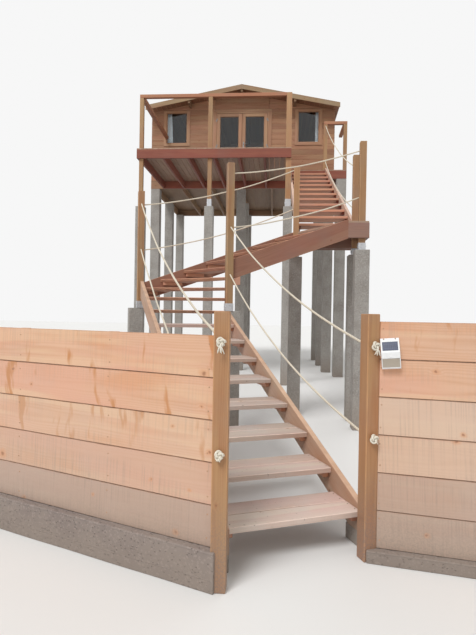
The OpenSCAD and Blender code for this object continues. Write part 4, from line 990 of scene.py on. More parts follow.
class Board:
    """A board on the bench, cut in its own frame before it goes to its place."""

    def __init__(self, bench: Bench, made: Thing, place: Matrix) -> None:
        """Keep the bench, the board's object and the place that it will go to."""
        self.bench, self.made, self.place = bench, made, place
        self.tone: float | None = None

    def saw(self, point: Sequence[float], normal: Sequence[float]) -> "Board":
        """Saw off what lies beyond a plane, given by a point and the side that falls away."""
        with editing(self.made):
            bpy.ops.mesh.bisect(plane_co=self.place.inverted() @ Vector(point),
                                plane_no=self.place.to_3x3().transposed() @ Vector(normal),
                                use_fill=True, clear_outer=True)
        return self

    def notch(self, low: Sequence[float], high: Sequence[float], spot: Spot = Spot()) -> "Board":
        """Cut a box out of the board, given by its two corners in a frame."""
        tool = unit_cube()
        low, high = Vector(low), Vector(high)
        shape = Matrix.Translation((low + high) / 2) @ Matrix.Diagonal((*(high - low), 1.0))
        tool.data.transform(self.place.inverted() @ spot.matrix() @ shape)
        apply_modifier(self.made, "BOOLEAN", operation="DIFFERENCE", object=tool, solver="EXACT")
        bpy.data.objects.remove(tool)
        return self

    def clear(self, posts: Iterable[Sequence[float]], slack: float = 0.0,
              height: tuple[float, float] = (0, 5)) -> None:
        """Notch the board round the posts that pass it.

        Args:
            posts: The posts' middles and widths.
            slack: How far a post has to reach into the board's box.
            height: Ends of the notch.
        """
        corners = [self.place @ v.co for v in self.made.data.vertices]
        for x, y, width in posts:
            half = width / 2
            if all(min(c[i] for c in corners) < at + half - slack
                   and max(c[i] for c in corners) > at - half + slack
                   for i, at in enumerate((x, y))):
                self.notch((x - half, y - half, height[0]), (x + half, y + half, height[1]))

    def keep(self, faces: int, boards: list["Board"]) -> None:
        """Add the board to a list, or throw it away if the saw left too few faces."""
        if len(self.made.data.polygons) > faces:
            boards.append(self)
        else:
            bpy.data.objects.remove(self.made)

    def done(self) -> Thing:
        """Mark the grain and the tone, and move the board to its place."""
        mesh, chance = self.made.data, self.bench.random
        shift = Vector((chance.uniform(0, 40), chance.uniform(-0.04, 0.04),
                        chance.uniform(-0.02, 0.02)))
        drawn = chance.random()
        tone = drawn if self.tone is None else self.tone
        marks = {"end": [], "arris": [], "under": []}
        for face in mesh.polygons:
            along, widest = abs(face.normal.x), max(abs(part) for part in face.normal)
            up = (self.place.to_3x3() @ face.normal).z
            marks["end"].append(float(along > 0.7))
            # The arris mark takes bevels and faces that tilt up to the light, which get rubbed wear
            # and a painted highlight; the under mark takes faces that look down, which get painted
            # shade.
            marks["arris"].append(float(along < 0.3 and (widest < 0.95 or 0.3 < up < 0.93)))
            marks["under"].append(float(up < -0.7))
        grain = mesh.attributes.new("grain", "FLOAT_VECTOR", "POINT")
        grain.data.foreach_set("vector", [number for vertex in mesh.vertices
                                          for number in vertex.co + shift])
        shade = mesh.attributes.new("tone", "FLOAT", "POINT")
        shade.data.foreach_set("value", [tone] * len(mesh.vertices))
        for name, values in marks.items():
            mesh.attributes.new(name, "FLOAT", "FACE").data.foreach_set("value", values)
        mesh.transform(self.place)
        return self.made


@dataclass(frozen=True)
class Plan:
    """The sizes that several parts of the tree house share."""

    post: float = 0.09
    big_post: float = 0.12
    shoe: float = 0.005
    stair: Spot = Spot(0.905, 0.573, 22.6)
    gate: tuple[float, float] = (-0.033, -0.119)
    tread: float = 0.945
    tread_thick: float = 0.04
    tread_deep: float = 0.38
    tread_gap: float = 0.006
    cleat: float = 0.045
    going: float = 0.408
    rise: float = 0.170
    lower_count: int = 8
    first_top: float = 0.262
    string: float = 0.045
    string_deep: float = 0.225
    string_start: float = -0.030
    edge_over: float = 0.020
    gate_ground: float = 0.110
    turn_start: float = 3.250
    turn_back: float = 4.200
    turn_rise: float = 0.1385
    turn_tops: tuple[float, float] = (3.565, 3.330)
    middle_deep: float = 0.250
    middle_count: int = 4
    middle_over: float = 0.015
    middle_front_first: float = 0.227
    middle_front_last: float = 1.690
    middle_front_end: float = 3.030
    middle_back_first: float = -0.031
    middle_back_last: float = 1.445
    board: float = 0.028
    frame_thick: float = 0.045
    landing_z: float = 2.900
    landing_frame: float = 0.210
    landing_deep: float = 1.325
    landing_foot: float = 2.500
    landing_tops: tuple[float, float, float] = (4.012, 4.012, 3.932)
    second_post: float = 0.670
    upper_width: float = 0.873
    upper_rise: float = 0.2012
    upper_count: int = 11
    frame_deep: float = 0.200
    gap: float = 0.0002
    shoe_high: float = 0.100
    shoe_fit: float = 0.003
    deck_foot: float = 4.002
    deck_wide: float = 3.505
    deck_before: float = 1.718
    deck_post_off: float = 1.672
    strip_wide: float = 1.465
    strip_deep: float = 0.962
    rail_low: float = 1.165
    rail_high: float = 1.240
    cabin_shift: float = 1.300
    cabin_wide: float = 5.120
    cabin_deep: float = 3.800
    wall_thick: float = 0.044
    wall_high: float = 1.920
    roof_slope: float = 0.2
    roof_thick: float = 0.078
    gable_over: float = 0.350
    eave_over: float = 0.090
    door_wide: float = 1.510
    door_high: float = 1.910
    door_frame: float = 0.045
    leaf_gap: float = 0.005
    meeting: float = 0.009
    window_off: float = 1.840
    window_wide: float = 0.560
    window_high: float = 0.835
    sill: float = 1.055
    sash: float = 0.040
    trim: float = 0.070
    trim_thick: float = 0.018

    @property
    def inner(self) -> tuple[float, float]:
        """Middle of the turn's inner post, in the stair's frame."""
        return self.post / 2, self.turn_start

    @property
    def outer(self) -> tuple[float, float]:
        """Middle of the turn's outer post, in the stair's frame."""
        return -self.tread - self.post / 2, self.turn_back + self.post / 2

    @property
    def front(self) -> Vector:
        """Front corner of the landing."""
        return self.stair.point(self.middle_front_last, self.middle_front_end)

    @property
    def side(self) -> Vector:
        """Left corner of the landing, at the middle flight's back stringer."""
        return self.stair.point(self.middle_back_last, self.turn_back)

    @property
    def left(self) -> float:
        """Left edge of the landing and the upper flight."""
        return self.side.x

    @property
    def right(self) -> float:
        """Right edge of the landing and the upper flight."""
        return self.left + self.upper_width + 2 * self.string

    @property
    def back(self) -> float:
        """Back edge of the landing."""
        return self.front.y + self.landing_deep

    @property
    def landing_posts(self) -> list[tuple[float, float, float]]:
        """Middles and widths of the landing's posts."""
        x, front = self.right - self.frame_thick - self.post / 2, self.front.y
        return [(x, front + self.frame_thick + self.post / 2, self.post),
                (x, front + self.second_post, self.post), (self.side.x, self.side.y, self.post)]

    @property
    def upper_first(self) -> float:
        """Nosing of the upper flight's first tread."""
        return self.back - self.frame_thick

    @property
    def strip_front(self) -> float:
        """Front of the strip at the top of the stairs."""
        return self.upper_first + self.upper_count * self.going

    @property
    def deck_z(self) -> float:
        """Top of the deck."""
        return self.landing_z + (self.upper_count + 1) * self.upper_rise

    @property
    def frame_top(self) -> float:
        """Top of the deck's frame."""
        return self.deck_z - self.board

    @property
    def frame_base(self) -> float:
        """Underside of the deck's frame."""
        return self.frame_top - self.frame_deep

    @property
    def deck_front(self) -> float:
        """Front edge of the deck."""
        return self.strip_front - self.deck_before

    @property
    def deck_left(self) -> float:
        """Left edge of the deck."""
        return self.left - self.deck_wide

    @property
    def deck_posts(self) -> list[tuple[float, float, float]]:
        """Middles and widths of the posts that pass the deck's frame."""
        front = self.deck_front + self.frame_thick
        return [(self.deck_left + self.frame_thick + self.post / 2, front + self.post / 2,
                 self.post),
                (self.deck_left + self.deck_post_off, front + self.post / 2, self.post),
                (self.left - self.big_post / 2, front + self.big_post / 2, self.big_post)]

    @property
    def strip_right(self) -> float:
        """Right edge of the strip."""
        return self.left + self.strip_wide

    @property
    def wall(self) -> float:
        """Front face of the cabin's front wall."""
        return self.strip_front + self.strip_deep

    @property
    def rail_base(self) -> float:
        """Underside of the guard rail."""
        return self.deck_z + self.rail_low

    @property
    def rail_top(self) -> float:
        """Top of the guard rail."""
        return self.deck_z + self.rail_high

    @property
    def slope(self) -> float:
        """Slope of the lower flight."""
        return self.rise / self.going

    @property
    def middle_slope(self) -> float:
        """Slope of the middle flight's back stringer."""
        return self.turn_rise * self.middle_count / (self.middle_back_last
                                                     - self.middle_back_first)

    def middle_back_top(self, x: float) -> float:
        """Return the height of that stringer's edge at a place across the lower flight."""
        return self.landing_z + self.middle_over - self.middle_slope * (self.middle_back_last - x)

    @property
    def turn_top(self) -> float:
        """Top of the second winder."""
        return self.first_top + (self.lower_count + 1) * self.rise

    @property
    def inner_shoe(self) -> float:
        """Underside of the turn's inner post's shoe."""
        return self.edge(self.turn_start - self.post / 2) + self.shoe_fit

    @property
    def outer_shoe(self) -> float:
        """Underside of the turn's outer post's shoe."""
        back = self.middle_back_top(-self.tread) - self.middle_deep * math.hypot(
            1.0, self.middle_slope)
        lower = self.edge(self.turn_back) - self.string_deep * math.hypot(1.0, self.slope)
        return min(back, lower) - self.shoe_high - self.shoe_fit

    @property
    def cabin_x(self) -> float:
        """Middle of the cabin."""
        return self.left - self.cabin_shift

    @property
    def cabin_back(self) -> float:
        """Back face of the cabin's back wall."""
        return self.wall + self.cabin_deep

    @property
    def gables(self) -> tuple[float, float]:
        """Front and back end of the roof."""
        return self.wall - self.gable_over, self.cabin_back + self.gable_over

    @property
    def windows(self) -> tuple[float, float]:
        """Middles of the windows."""
        return self.cabin_x - self.window_off, self.cabin_x + self.window_off

    @property
    def window_z(self) -> tuple[float, float]:
        """Lower and upper edge of the windows' glass."""
        return self.deck_z + self.sill, self.deck_z + self.sill + self.window_high

    def roof_z(self, x: float) -> float:
        """Return the height of the roof's underside over a place."""
        return self.deck_z + self.wall_high + self.roof_slope * (
            self.cabin_wide / 2 - abs(x - self.cabin_x))

    def edge(self, along: float) -> float:
        """Return the top of the lower stringers at a distance along them."""
        return self.first_top + self.edge_over + self.slope * along


PLAN = Plan()


@dataclass(frozen=True)
class Line:
    """Two ropes from post to post, one over the other.

    Attributes:
        name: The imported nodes' names, without the word for the rope's place.
        start: Where they leave the first post's face, in plan.
        route: The points between the posts, in plan.
        end: Where they enter the other post's face, in plan.
        upper: The upper rope's heights, from its start to its end.
        lower: The lower rope's heights.
        knot: Middle of the knots in front of a gatepost, if there are any.
    """

    name: str
    start: Vector
    route: tuple[tuple[float, float], ...]
    end: Vector
    upper: tuple[float, ...]
    lower: tuple[float, ...]
    knot: Vector | None = None


def smooth(points: Sequence[Vector], step: float, dense_count: int = 16) -> list[Vector]:
    """Return points a short step apart on one smooth curve through others.

    Args:
        points: The points that the curve runs through.
        step: Distance between the returned points.
        dense_count: Number of points between two of them that the curve is measured by.

    Returns:
        The points of the curve.
    """
    ends = [2 * points[0] - points[1], *points, 2 * points[-1] - points[-2]]
    dense: list[Vector] = []
    for a, b, c, d in zip(ends, ends[1:], ends[2:], ends[3:]):
        for k in range(dense_count):
            t = k / dense_count
            dense.append(0.5 * (2 * b + (c - a) * t + (2 * a - 5 * b + 4 * c - d) * t * t
                                + (3 * b - a - 3 * c + d) * t ** 3))
    dense.append(points[-1].copy())
    total = sum((b - a).length for a, b in zip(dense, dense[1:]))
    count = max(2, round(total / step))
    even, walked, index = [dense[0]], 0.0, 0
    for k in range(1, count):
        target = total * k / count
        while walked + (dense[index + 1] - dense[index]).length < target:
            walked += (dense[index + 1] - dense[index]).length
            index += 1
        span = dense[index + 1] - dense[index]
        even.append(dense[index] + span * ((target - walked) / span.length))
    return [*even, dense[-1]]


@dataclass
class Ropes:
    """The hand lines beside the stairs, three laid strands each."""

    bench: Bench
    diameter: float = 0.018
    pitch: float = 0.062
    ring: float = 0.009
    sides: int = 12
    knot_out: float = 0.022
    loop: tuple[float, float, float] = (0.0078, 0.0082, 0.0085)
    loop_points: int = 48

    def lines(self) -> list[Line]:
        """Return the pairs of ropes, with their ends on the faces of their posts."""
        stair, seat = PLAN.stair, PLAN.post / 2 + 0.0003
        (ix, iy), (ox, oy), (gx, gy) = PLAN.inner, PLAN.outer, PLAN.gate
        first, second, side = PLAN.landing_posts
        aside, knot, deck = Vector((seat, 0, 0)), seat + self.knot_out, PLAN.deck_z
        return [
            Line("rope_gate_left", stair.point(ox, oy - seat), (
                (-1.42, 3.565), (-1.215, 3.065), (-1.015, 2.56), (-0.81, 2.06), (-0.61, 1.555),
                (-0.405, 1.05), (-0.205, 0.55)), Vector((0, seat, 0)),
                (3.137, 2.845, 2.575, 2.325, 2.1, 1.9, 1.715, 1.56, 1.425),
                (2.486, 2.21, 1.95, 1.71, 1.49, 1.285, 1.1, 0.935, 0.79), Vector((0, -knot, 0))),
            Line("rope_gate_right", stair.point(ix, iy - seat), (
                (-0.135, 3.165), (0.01, 2.785), (0.16, 2.405), (0.31, 2.02), (0.455, 1.64),
                (0.605, 1.255), (0.755, 0.875)), stair.point(gx, gy + seat),
                (2.716, 2.49, 2.28, 2.09, 1.915, 1.76, 1.62, 1.5, 1.395),
                (2.096, 1.86, 1.65, 1.455, 1.28, 1.13, 1.0, 0.89, 0.8), stair.point(gx, gy - knot)),
            Line("rope_middle_back", stair.point(ox + seat, oy), (
                (-1.325, 4.24), (-1.055, 4.35), (-0.78, 4.46), (-0.51, 4.565), (-0.235, 4.675),
                (0.035, 4.785), (0.31, 4.895)), Vector((*side[:2], 0)) - aside,
                (3.137, 3.19, 3.255, 3.33, 3.42, 3.515, 3.625, 3.75, 3.88),
                (2.486, 2.545, 2.615, 2.695, 2.785, 2.89, 3.005, 3.13, 3.265)),
            Line("rope_middle_front", stair.point(ix + seat, iy), (
                (-0.045, 3.67), (0.17, 3.735), (0.38, 3.795), (0.595, 3.86), (0.81, 3.92),
                (1.025, 3.985), (1.24, 4.045)), Vector((*first[:2], 0)) - aside,
                (3.436, 3.465, 3.505, 3.55, 3.6, 3.66, 3.73, 3.805, 3.885),
                (2.723, 2.76, 2.805, 2.86, 2.92, 2.985, 3.06, 3.145, 3.235)),
            Line("rope_upper_flight", Vector((second[0], second[1] + seat, 0)), (
                (1.505, 5.365), (1.51, 6.0), (1.515, 6.63), (1.52, 7.26), (1.525, 7.895),
                (1.53, 8.525), (1.535, 9.155)),
                Vector((PLAN.right - PLAN.post / 2, PLAN.strip_front + PLAN.post / 2 - seat, 0)),
                (3.85, 4.105, 4.38, 4.675, 4.99, 5.32, 5.67, 6.04, deck + 1.115),
                (3.2, 3.425, 3.67, 3.93, 4.21, 4.51, 4.83, 5.17, deck + 0.21))]

    def tube(self, points: Sequence[Vector], radius: float, strands: int = 3,
             taper: float = 0.0) -> Thing:
        """Sweep a laid rope of twisted strands along close-spaced points.

        Args:
            points: The points of its centreline.
            radius: Radius over the strands.
            strands: Number of strands, or 0 for a plain yarn.
            taper: Share of the radius lost at the far end.

        Returns:
            The rope.
        """
        shape = bmesh.new()
        groove = shape.verts.layers.float.new("groove")
        yarn = shape.verts.layers.float_vector.new("yarn")
        side = Z_WAY.cross(points[1] - points[0])
        side = side.normalized() if side.length > 1e-6 else X_WAY
        rings, walked = [], 0.0
        for i, point in enumerate(points):
            ahead = points[min(i + 1, len(points) - 1)] - points[max(i - 1, 0)]
            ahead.normalize()
            side = (side - ahead * side.dot(ahead)).normalized()
            up = ahead.cross(side)
            if i:
                walked += (point - points[i - 1]).length
            twist = walked / self.pitch * math.tau
            size = radius * (1.0 - taper * i / (len(points) - 1))
            ring = []
            for k in range(self.sides):
                angle = k * math.tau / self.sides
                crown = abs(math.cos((angle - twist) * strands / 2)) if strands else 1.0
                reach = size * (0.8 + 0.2 * crown ** 0.7)
                vertex = shape.verts.new(
                    point + (side * math.cos(angle) + up * math.sin(angle)) * reach)
                vertex[groove] = crown
                vertex[yarn] = (walked * 8.0, angle - twist, 0.0)
                ring.append(vertex)
            rings.append(ring)
        for a, b in zip(rings, rings[1:]):
            for k in range(self.sides):
                j = (k + 1) % self.sides
                shape.faces.new((a[k], a[j], b[j], b[k])).smooth = True
        shape.faces.new(rings[0][::-1])
        shape.faces.new(rings[-1])
        return meshed("rope", shape)

    def knot(self, name: str, end: Vector, middle: Vector) -> Thing:
        """Tie the stopper knot in front of a gatepost, with its frayed tail.

        Args:
            name: The rope that the knot ends.
            end: Where the rope enters the post's far face.
            middle: Middle of the knot.

        Returns:
            The knot.
        """
        out = (middle - end).normalized()
        side = Z_WAY.cross(out)
        loops, (wide, high, deep) = [], self.loop
        for k in range(self.loop_points - 1):
            t = k / self.loop_points * math.tau
            reach = 2.0 + math.cos(3 * t)
            loops.append(middle + side * (wide * reach * math.cos(2 * t))
                         + Z_WAY * (high * reach * math.sin(2 * t))
                         + out * (deep * math.sin(3 * t)))
        stub = [end + out * 0.088, end + out * 0.098, middle + out * 0.004]
        parts = [self.tube(smooth(loops, 0.004), 0.0085), self.tube(smooth(stub, 0.004), 0.0088)]
        root = middle + out * 0.012 - Z_WAY * 0.006
        count, share = (3, 0.5) if name.endswith("lower") else (9, 1.0)
        for _ in range(count):
            lean = self.bench.random.uniform(-0.022, 0.022)
            drop = self.bench.random.uniform(0.040, 0.058) * share
            tail = [root, root + out * 0.010 - Z_WAY * 0.012,
                    root + side * lean * 0.5 + out * 0.012 - Z_WAY * drop * 0.5,
                    root + side * lean + out * 0.004 - Z_WAY * drop]
            parts.append(self.tube(smooth(tail, 0.006), 0.0032, 0, 0.4))
        return self.bench.piece(f"{name}_knot", parts, Finish.FRAY, "rope_cream")

    def hang(self, line: Line, name: str, heights: Sequence[float]) -> None:
        """Args:
            line: The pair.
            name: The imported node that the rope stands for.
            heights: Heights of its points.
        """
        plan = (line.start, *line.route, line.end)
        corners = [Vector((p[0], p[1], z)) for p, z in zip(plan, heights)]
        points = smooth(corners, self.ring)
        made = self.tube(points, self.diameter / 2)
        rope = self.bench.piece(f"{name}_strands", [made], Finish.ROPE, "rope_cream", [name])
        length = sum((b - a).length for a, b in zip(points, points[1:]))
        if line.knot is not None:
            self.knot(name, corners[-1], line.knot + Z_WAY * heights[-1])
        tuple(corners[0])
        [tuple(p) for p in points]

    def build(self) -> None:
        """Make every rope."""
        for line in self.lines():
            self.hang(line, f"{line.name}_upper", line.upper)
            self.hang(line, f"{line.name}_lower", line.lower)


@dataclass(frozen=True)
class Bay:
    """One bay of fence beside a gatepost.

    Attributes:
        side: The word for its side of the gate.
        spot: Its frame, x along it from the gatepost.
        base: Underside of the lowest plank.
        flip: The side that the battens are on, 1 or -1.
        tones: Tone of each plank, from the lowest to the highest.
        post: The gatepost's frame and its middle there.
        inwards: Direction into the gatepost, from the face that the planks end at.
    """

    side: str
    spot: Spot
    base: float
    flip: int
    tones: tuple[float, ...]
    post: tuple[Spot, float, float]
    inwards: Vector

    @property
    def face(self) -> Vector:
        """A point of the gatepost's face that the planks end at."""
        spot, x, y = self.post
        return spot.point(x, y) - self.inwards * PLAN.post / 2

    def top(self, pitch: float, joint: float) -> float:
        """Return the top of the highest plank, from the planks' pitch and joint."""
        return self.base + len(self.tones) * pitch - joint


@dataclass
class Fences:
    """Two bays of sawn planks on battens, their posts and plinths, and the gateposts."""

    bench: Bench
    bay: float = 2.450
    plank: float = 0.2425
    joint: float = 0.0025
    thick: float = 0.028
    tongue: tuple[float, float] = (0.012, 0.008)
    batten: tuple[float, float] = (0.070, 0.035)
    screw_in: float = 0.05
    gatepost: float = 1.600
    plinth_half: float = 0.065
    screws: list[Thing] = field(default_factory=list)

    @property
    def right(self) -> Spot:
        """Frame of the right fence, from the right gatepost."""
        gate = PLAN.stair.point(*PLAN.gate)
        return Spot(gate.x, gate.y, -11.0)

    @property
    def bays(self) -> tuple[Bay, Bay]:
        """The left and the right bay."""
        return (Bay("left", Spot(0.0, 0.0, 158.0), 0.237, -1, (1.0, 0.73, 0.29, 0.02, 0.13),
                    (Spot(), 0.0, 0.0), X_WAY),
                Bay("right", self.right, 0.085, 1, (0.97, 0.90, 0.66, 0.52, 0.07, 0.16),
                    (PLAN.stair, *PLAN.gate), -PLAN.stair.across))

    def bay_boards(self, bay: Bay) -> list[Board]:
        """Cut the planks, the tongues in their joints and the battens of one bay."""
        boards, face, inwards = [], bay.face, bay.inwards
        pitch = self.plank + self.joint
        for row, tone in enumerate(bay.tones):
            z = bay.base + row * pitch
            board = self.bench.between(
                (0.0, -self.thick / 2, z), (self.bay, self.thick / 2, z + self.plank),
                Lay.X_EDGE, bay.spot, cuts=24, wave=0.0005)
            board.saw(face - inwards * self.bench.random.uniform(0.0004, 0.0014), inwards)
            board.tone = tone
            boards.append(board)
            if row:
                high, deep = self.tongue
                seam = z - self.joint / 2
                tongue = self.bench.between(
                    (0.0, -deep / 2, seam - high / 2),
                    (self.bay - 0.002, deep / 2, seam + high / 2), Lay.X_EDGE, bay.spot,
                    bevel=0.0006)
                tongue.saw(face - inwards * 0.002, inwards)
                tongue.tone = 1.0
                boards.append(tongue)
            for x in (PLAN.post / 2 + 0.032, self.bay / 3, self.bay * 2 / 3, self.bay - 0.04):
                for side in (self.screw_in, self.plank - self.screw_in):
                    self.drive(bay, x, z + side)
        width, thick = self.batten
        for x in (self.bay / 3, self.bay * 2 / 3):
            y0, y1 = sorted((bay.flip * self.thick / 2, bay.flip * (self.thick / 2 + thick)))
            boards.append(self.bench.between(
                (x - width / 2, y0, bay.base), (x + width / 2, y1, bay.top(pitch, self.joint)),
                Lay.Z_X, bay.spot))
        return boards

    def drive(self, bay: Bay, x: float, z: float) -> None:
        """Drive a screw into a plank's outer face."""
        jitter = self.bench.random.uniform(-0.006, 0.006)
        face = Matrix.Translation((x + jitter, -bay.flip * (self.thick / 2 + 0.0002), z + jitter))
        self.screws.append(self.bench.fixing(screw_head, bay.spot.matrix() @ face @ Matrix.Rotation(
            bay.flip * math.pi / 2, 4, "X")))

    def plinth(self, bay: Bay) -> Board:
        """Cast a rough plinth with worn upper arrises."""
        half = self.plinth_half
        block = self.bench.between((0.0, -half, 0.0), (self.bay, half, bay.base), Lay.X_EDGE,
                                   bay.spot, bevel=0.006, cuts=60, segments=2)
        for vertex in block.made.data.vertices:
            along = vertex.co.x
            if vertex.co.y > 0.0:
                vertex.co.y -= 0.002 * (1 + math.sin(along * 23.0) * math.sin(along * 71.0))
            vertex.co.z += 0.0012 * math.sin(along * 9.0 + vertex.co.y * 30.0)
        return block

    def build(self) -> None:
        """Make the bays, the posts, the plinths and the screws."""
        bench, half = self.bench, PLAN.post / 2
        for bay in self.bays:
            bench.piece(f"fence_{bay.side}_planks", self.bay_boards(bay), Finish.FENCE,
                        "fence_board", [f"fence_{bay.side}"])
        bench.piece("fence_screws", self.screws, Finish.YELLOWED, "shoe_steel")
        pitch = self.plank + self.joint
        posts = [bench.post(self.bay - half, bay.flip * (self.thick / 2 + half), 0.0,
                            bay.top(pitch, self.joint), PLAN.post, bay.spot) for bay in self.bays]
        bench.piece("fence_end_posts", posts, Finish.PINE, "post_pine", ["fence_posts"])
        for bay in self.bays:
            spot, x, y = bay.post
            gate = bench.post(x, y, 0.0, self.gatepost, PLAN.post, spot)
            bench.piece(f"{bay.side}_gatepost", [gate], Finish.GATE, "post_pine",
                        [f"gatepost_{bay.side}"])
        blocks = [self.plinth(bay) for bay in self.bays]
        for block, bay in zip(blocks, self.bays):
            spot, x, y = bay.post
            block.notch((x - half, y - half, -0.1), (x + half, y + half, 1.0), spot)
        for block, bay in zip(blocks, self.bays):
            y0, y1 = sorted((bay.flip * self.thick / 2, bay.flip * (self.thick / 2 + PLAN.post)))
            block.notch((self.bay - PLAN.post, y0, -0.1), (self.bay + 0.1, y1, 1.0), bay.spot)
        bench.piece("cast_plinths", blocks, Finish.CONCRETE, "concrete", ["fence_plinths"])


@dataclass
class SolarLamp:
    """The lamp on the right fence: shell, raked panel, frosted lens and screws."""

    bench: Bench
    width: float = 0.116
    height: float = 0.195
    depth: float = 0.050
    crown: float = 0.014
    head: float = 0.088
    chin: float = 0.047
    band: float = 0.040
    foot_deep: float = 0.038
    slant: float = 0.007
    side: float = 0.005
    seam: float = 0.0005
    lean: float = 5.0
    off: float = 0.078
    foot: float = 1.247
    ribs: int = 10

    def place(self, fences: Fences) -> Matrix:
        """Return the lamp's frame: x to the right, y to the fence, z up."""
        return (fences.right.matrix() @ Matrix.Translation(
            (self.off, -fences.thick / 2, self.foot))
            @ Matrix.Rotation(-math.radians(self.lean), 4, "Y"))

    @staticmethod
    def loft(profile: Sequence[tuple[float, float]], x0: float, x1: float, bevel: float) -> Thing:
        """Extrude a side profile across the lamp and round its arrises."""
        return extruded([(x0, y, z) for y, z in profile], X_WAY * (x1 - x0), bevel, 3)

    def fit(self, name: str, parts: list[Thing], finish: Finish, place: Matrix,
            replaces: Sequence[str] = ()) -> None:
        """Put parts on the fence as one piece.

        Args:
            name: Name of the piece.
            parts: Its parts, in the lamp's frame.
            finish: Its finish.
            place: The lamp's frame.
            replaces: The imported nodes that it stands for.
        """
        for part in parts:
            part.data.transform(place)
        self.bench.piece(name, parts, finish, "lamp_shell", replaces)

    def housing(self, knee: float, chin: float) -> list[Thing]:
        """Model the head, the back plate, the foot and the cheeks beside the lens.

        Args:
            knee: Height where the raked face ends.
            chin: Height where the head ends.

        Returns:
            The parts.
        """
        d, w, h = self.depth, self.width, self.height
        low, deep, slant = chin - self.seam, self.foot_deep, self.slant
        return [
            self.loft([(0, chin), (0, h), (-self.crown, h), (-d, knee), (-self.chin, chin)],
                      0.0, w, 0.003),
            self.loft([(0, 0), (0, low), (-0.006, low), (-0.006, 0)], 0.001, w - 0.001, 0.001),
            self.loft([(-0.0065, 0.0), (-0.0065, 0.006), (-deep - 0.0003, slant + 0.004),
                       (-deep, slant), (slant - deep, 0.0)], 0.0, w, 0.0012),
            *(self.loft([(-0.0065, 0.0062), (-0.0065, low), (-self.chin, low),
                         (-deep - 0.0004, 0.0112)], x, x + self.side, 0.0008)
              for x in (0.0, w - self.side))]

    def lens(self, chin: float) -> list[Thing]:
        """Model the lens with its upright ribs under the head."""
        w, top = self.width, chin - 0.001
        a, b = -self.foot_deep + 0.0022, 0.0113
        c, e = -self.chin + 0.0022, top
        parts = [self.loft([(-0.0068, 0.0064), (-0.0068, top), (c, e), (a, b)], 0.0052,
                           w - 0.0052, 0.0015)]
        for k in range(self.ribs + 1):
            x = 0.012 + k * (w - 0.024) / self.ribs
            parts.append(self.loft([(a + 0.001, b + 0.003), (c + 0.001, e - 0.003),
                                    (c - 0.0012, e - 0.003), (a - 0.0012, b + 0.003)],
                                   x - 0.0013, x + 0.0013, 0.0004))
        return parts

    def sensor(self, chin: float) -> Thing:
        """Model the small dome over the lens."""
        select_only()
        bpy.ops.mesh.primitive_uv_sphere_add(segments=20, ring_count=10, radius=0.006)
        eye = bpy.context.object
        with editing(eye):
            bpy.ops.mesh.bisect(plane_co=(0, 0, 0), plane_no=(0, 0, -1), use_fill=True,
                                clear_outer=True)
        round_off(eye, 0.0006)
        eye.data.transform(Matrix.Translation((self.width / 2, -self.chin - 0.0008, chin + 0.012))
                           @ Matrix.Diagonal((1.0, 0.5, 1.0, 1.0))
                           @ Matrix.Rotation(math.radians(90), 4, "X"))
        return eye

    def build(self, fences: Fences) -> None:
        """Make the lamp's parts on the fences."""
        place, w, h = self.place(fences), self.width, self.height
        knee = h - self.head
        chin = knee - self.band
        self.fit("lamp_shell", self.housing(knee, chin), Finish.SHELL, place, ["solar_lamp"])
        rake = Vector((0.0, self.crown - self.depth, knee - h))
        up = -rake.normalized()
        middle = Vector((w / 2, -(self.crown + self.depth) / 2, (h + knee) / 2)) - up * 0.006
        panel = self.bench.board((w - 0.020, rake.length - 0.036, 0.0022),
                                 place @ Matrix.Translation(middle) @ turned(X_WAY, up),
                                 bevel=0.0006)
        self.bench.piece("lamp_panel", [panel], Finish.CELLS, "lamp_shell")
        self.fit("lamp_lens", self.lens(chin), Finish.LENS, place)
        out = X_WAY.cross(up)
        lean = math.atan2(out.z, -out.y)
        screws = []
        for x in (0.022, w - 0.022):
            at = Vector((x, -self.crown, h)) - up * 0.0052 + out * 0.0002
            screws.append(self.bench.fixing(screw_head, place @ Matrix.Translation(at)
                                            @ Matrix.Rotation(math.pi / 2 - lean, 4, "X")))
        self.fit("lamp_sensor", [self.sensor(chin)], Finish.SHELL, place)
        self.bench.piece("lamp_screws", screws, Finish.SCREW, "shoe_steel")


class Outline:
    """A convex outline in plan."""

    def __init__(self, corners: Iterable[Vector]) -> None:
        """Keep the corners at height 0, and each edge's ends with its outward direction."""
        self.corners = [Vector((p.x, p.y, 0.0)) for p in corners]
        middle = sum(self.corners, Vector()) / len(self.corners)
        self.middle = middle
        self.edges: list[tuple[Vector, Vector, Vector]] = []
        for a, b in zip(self.corners, self.corners[1:] + self.corners[:1]):
            out = Vector((b.y - a.y, a.x - b.x, 0.0)).normalized()
            self.edges.append((a, b, -out if (middle - a).dot(out) > 0 else out))


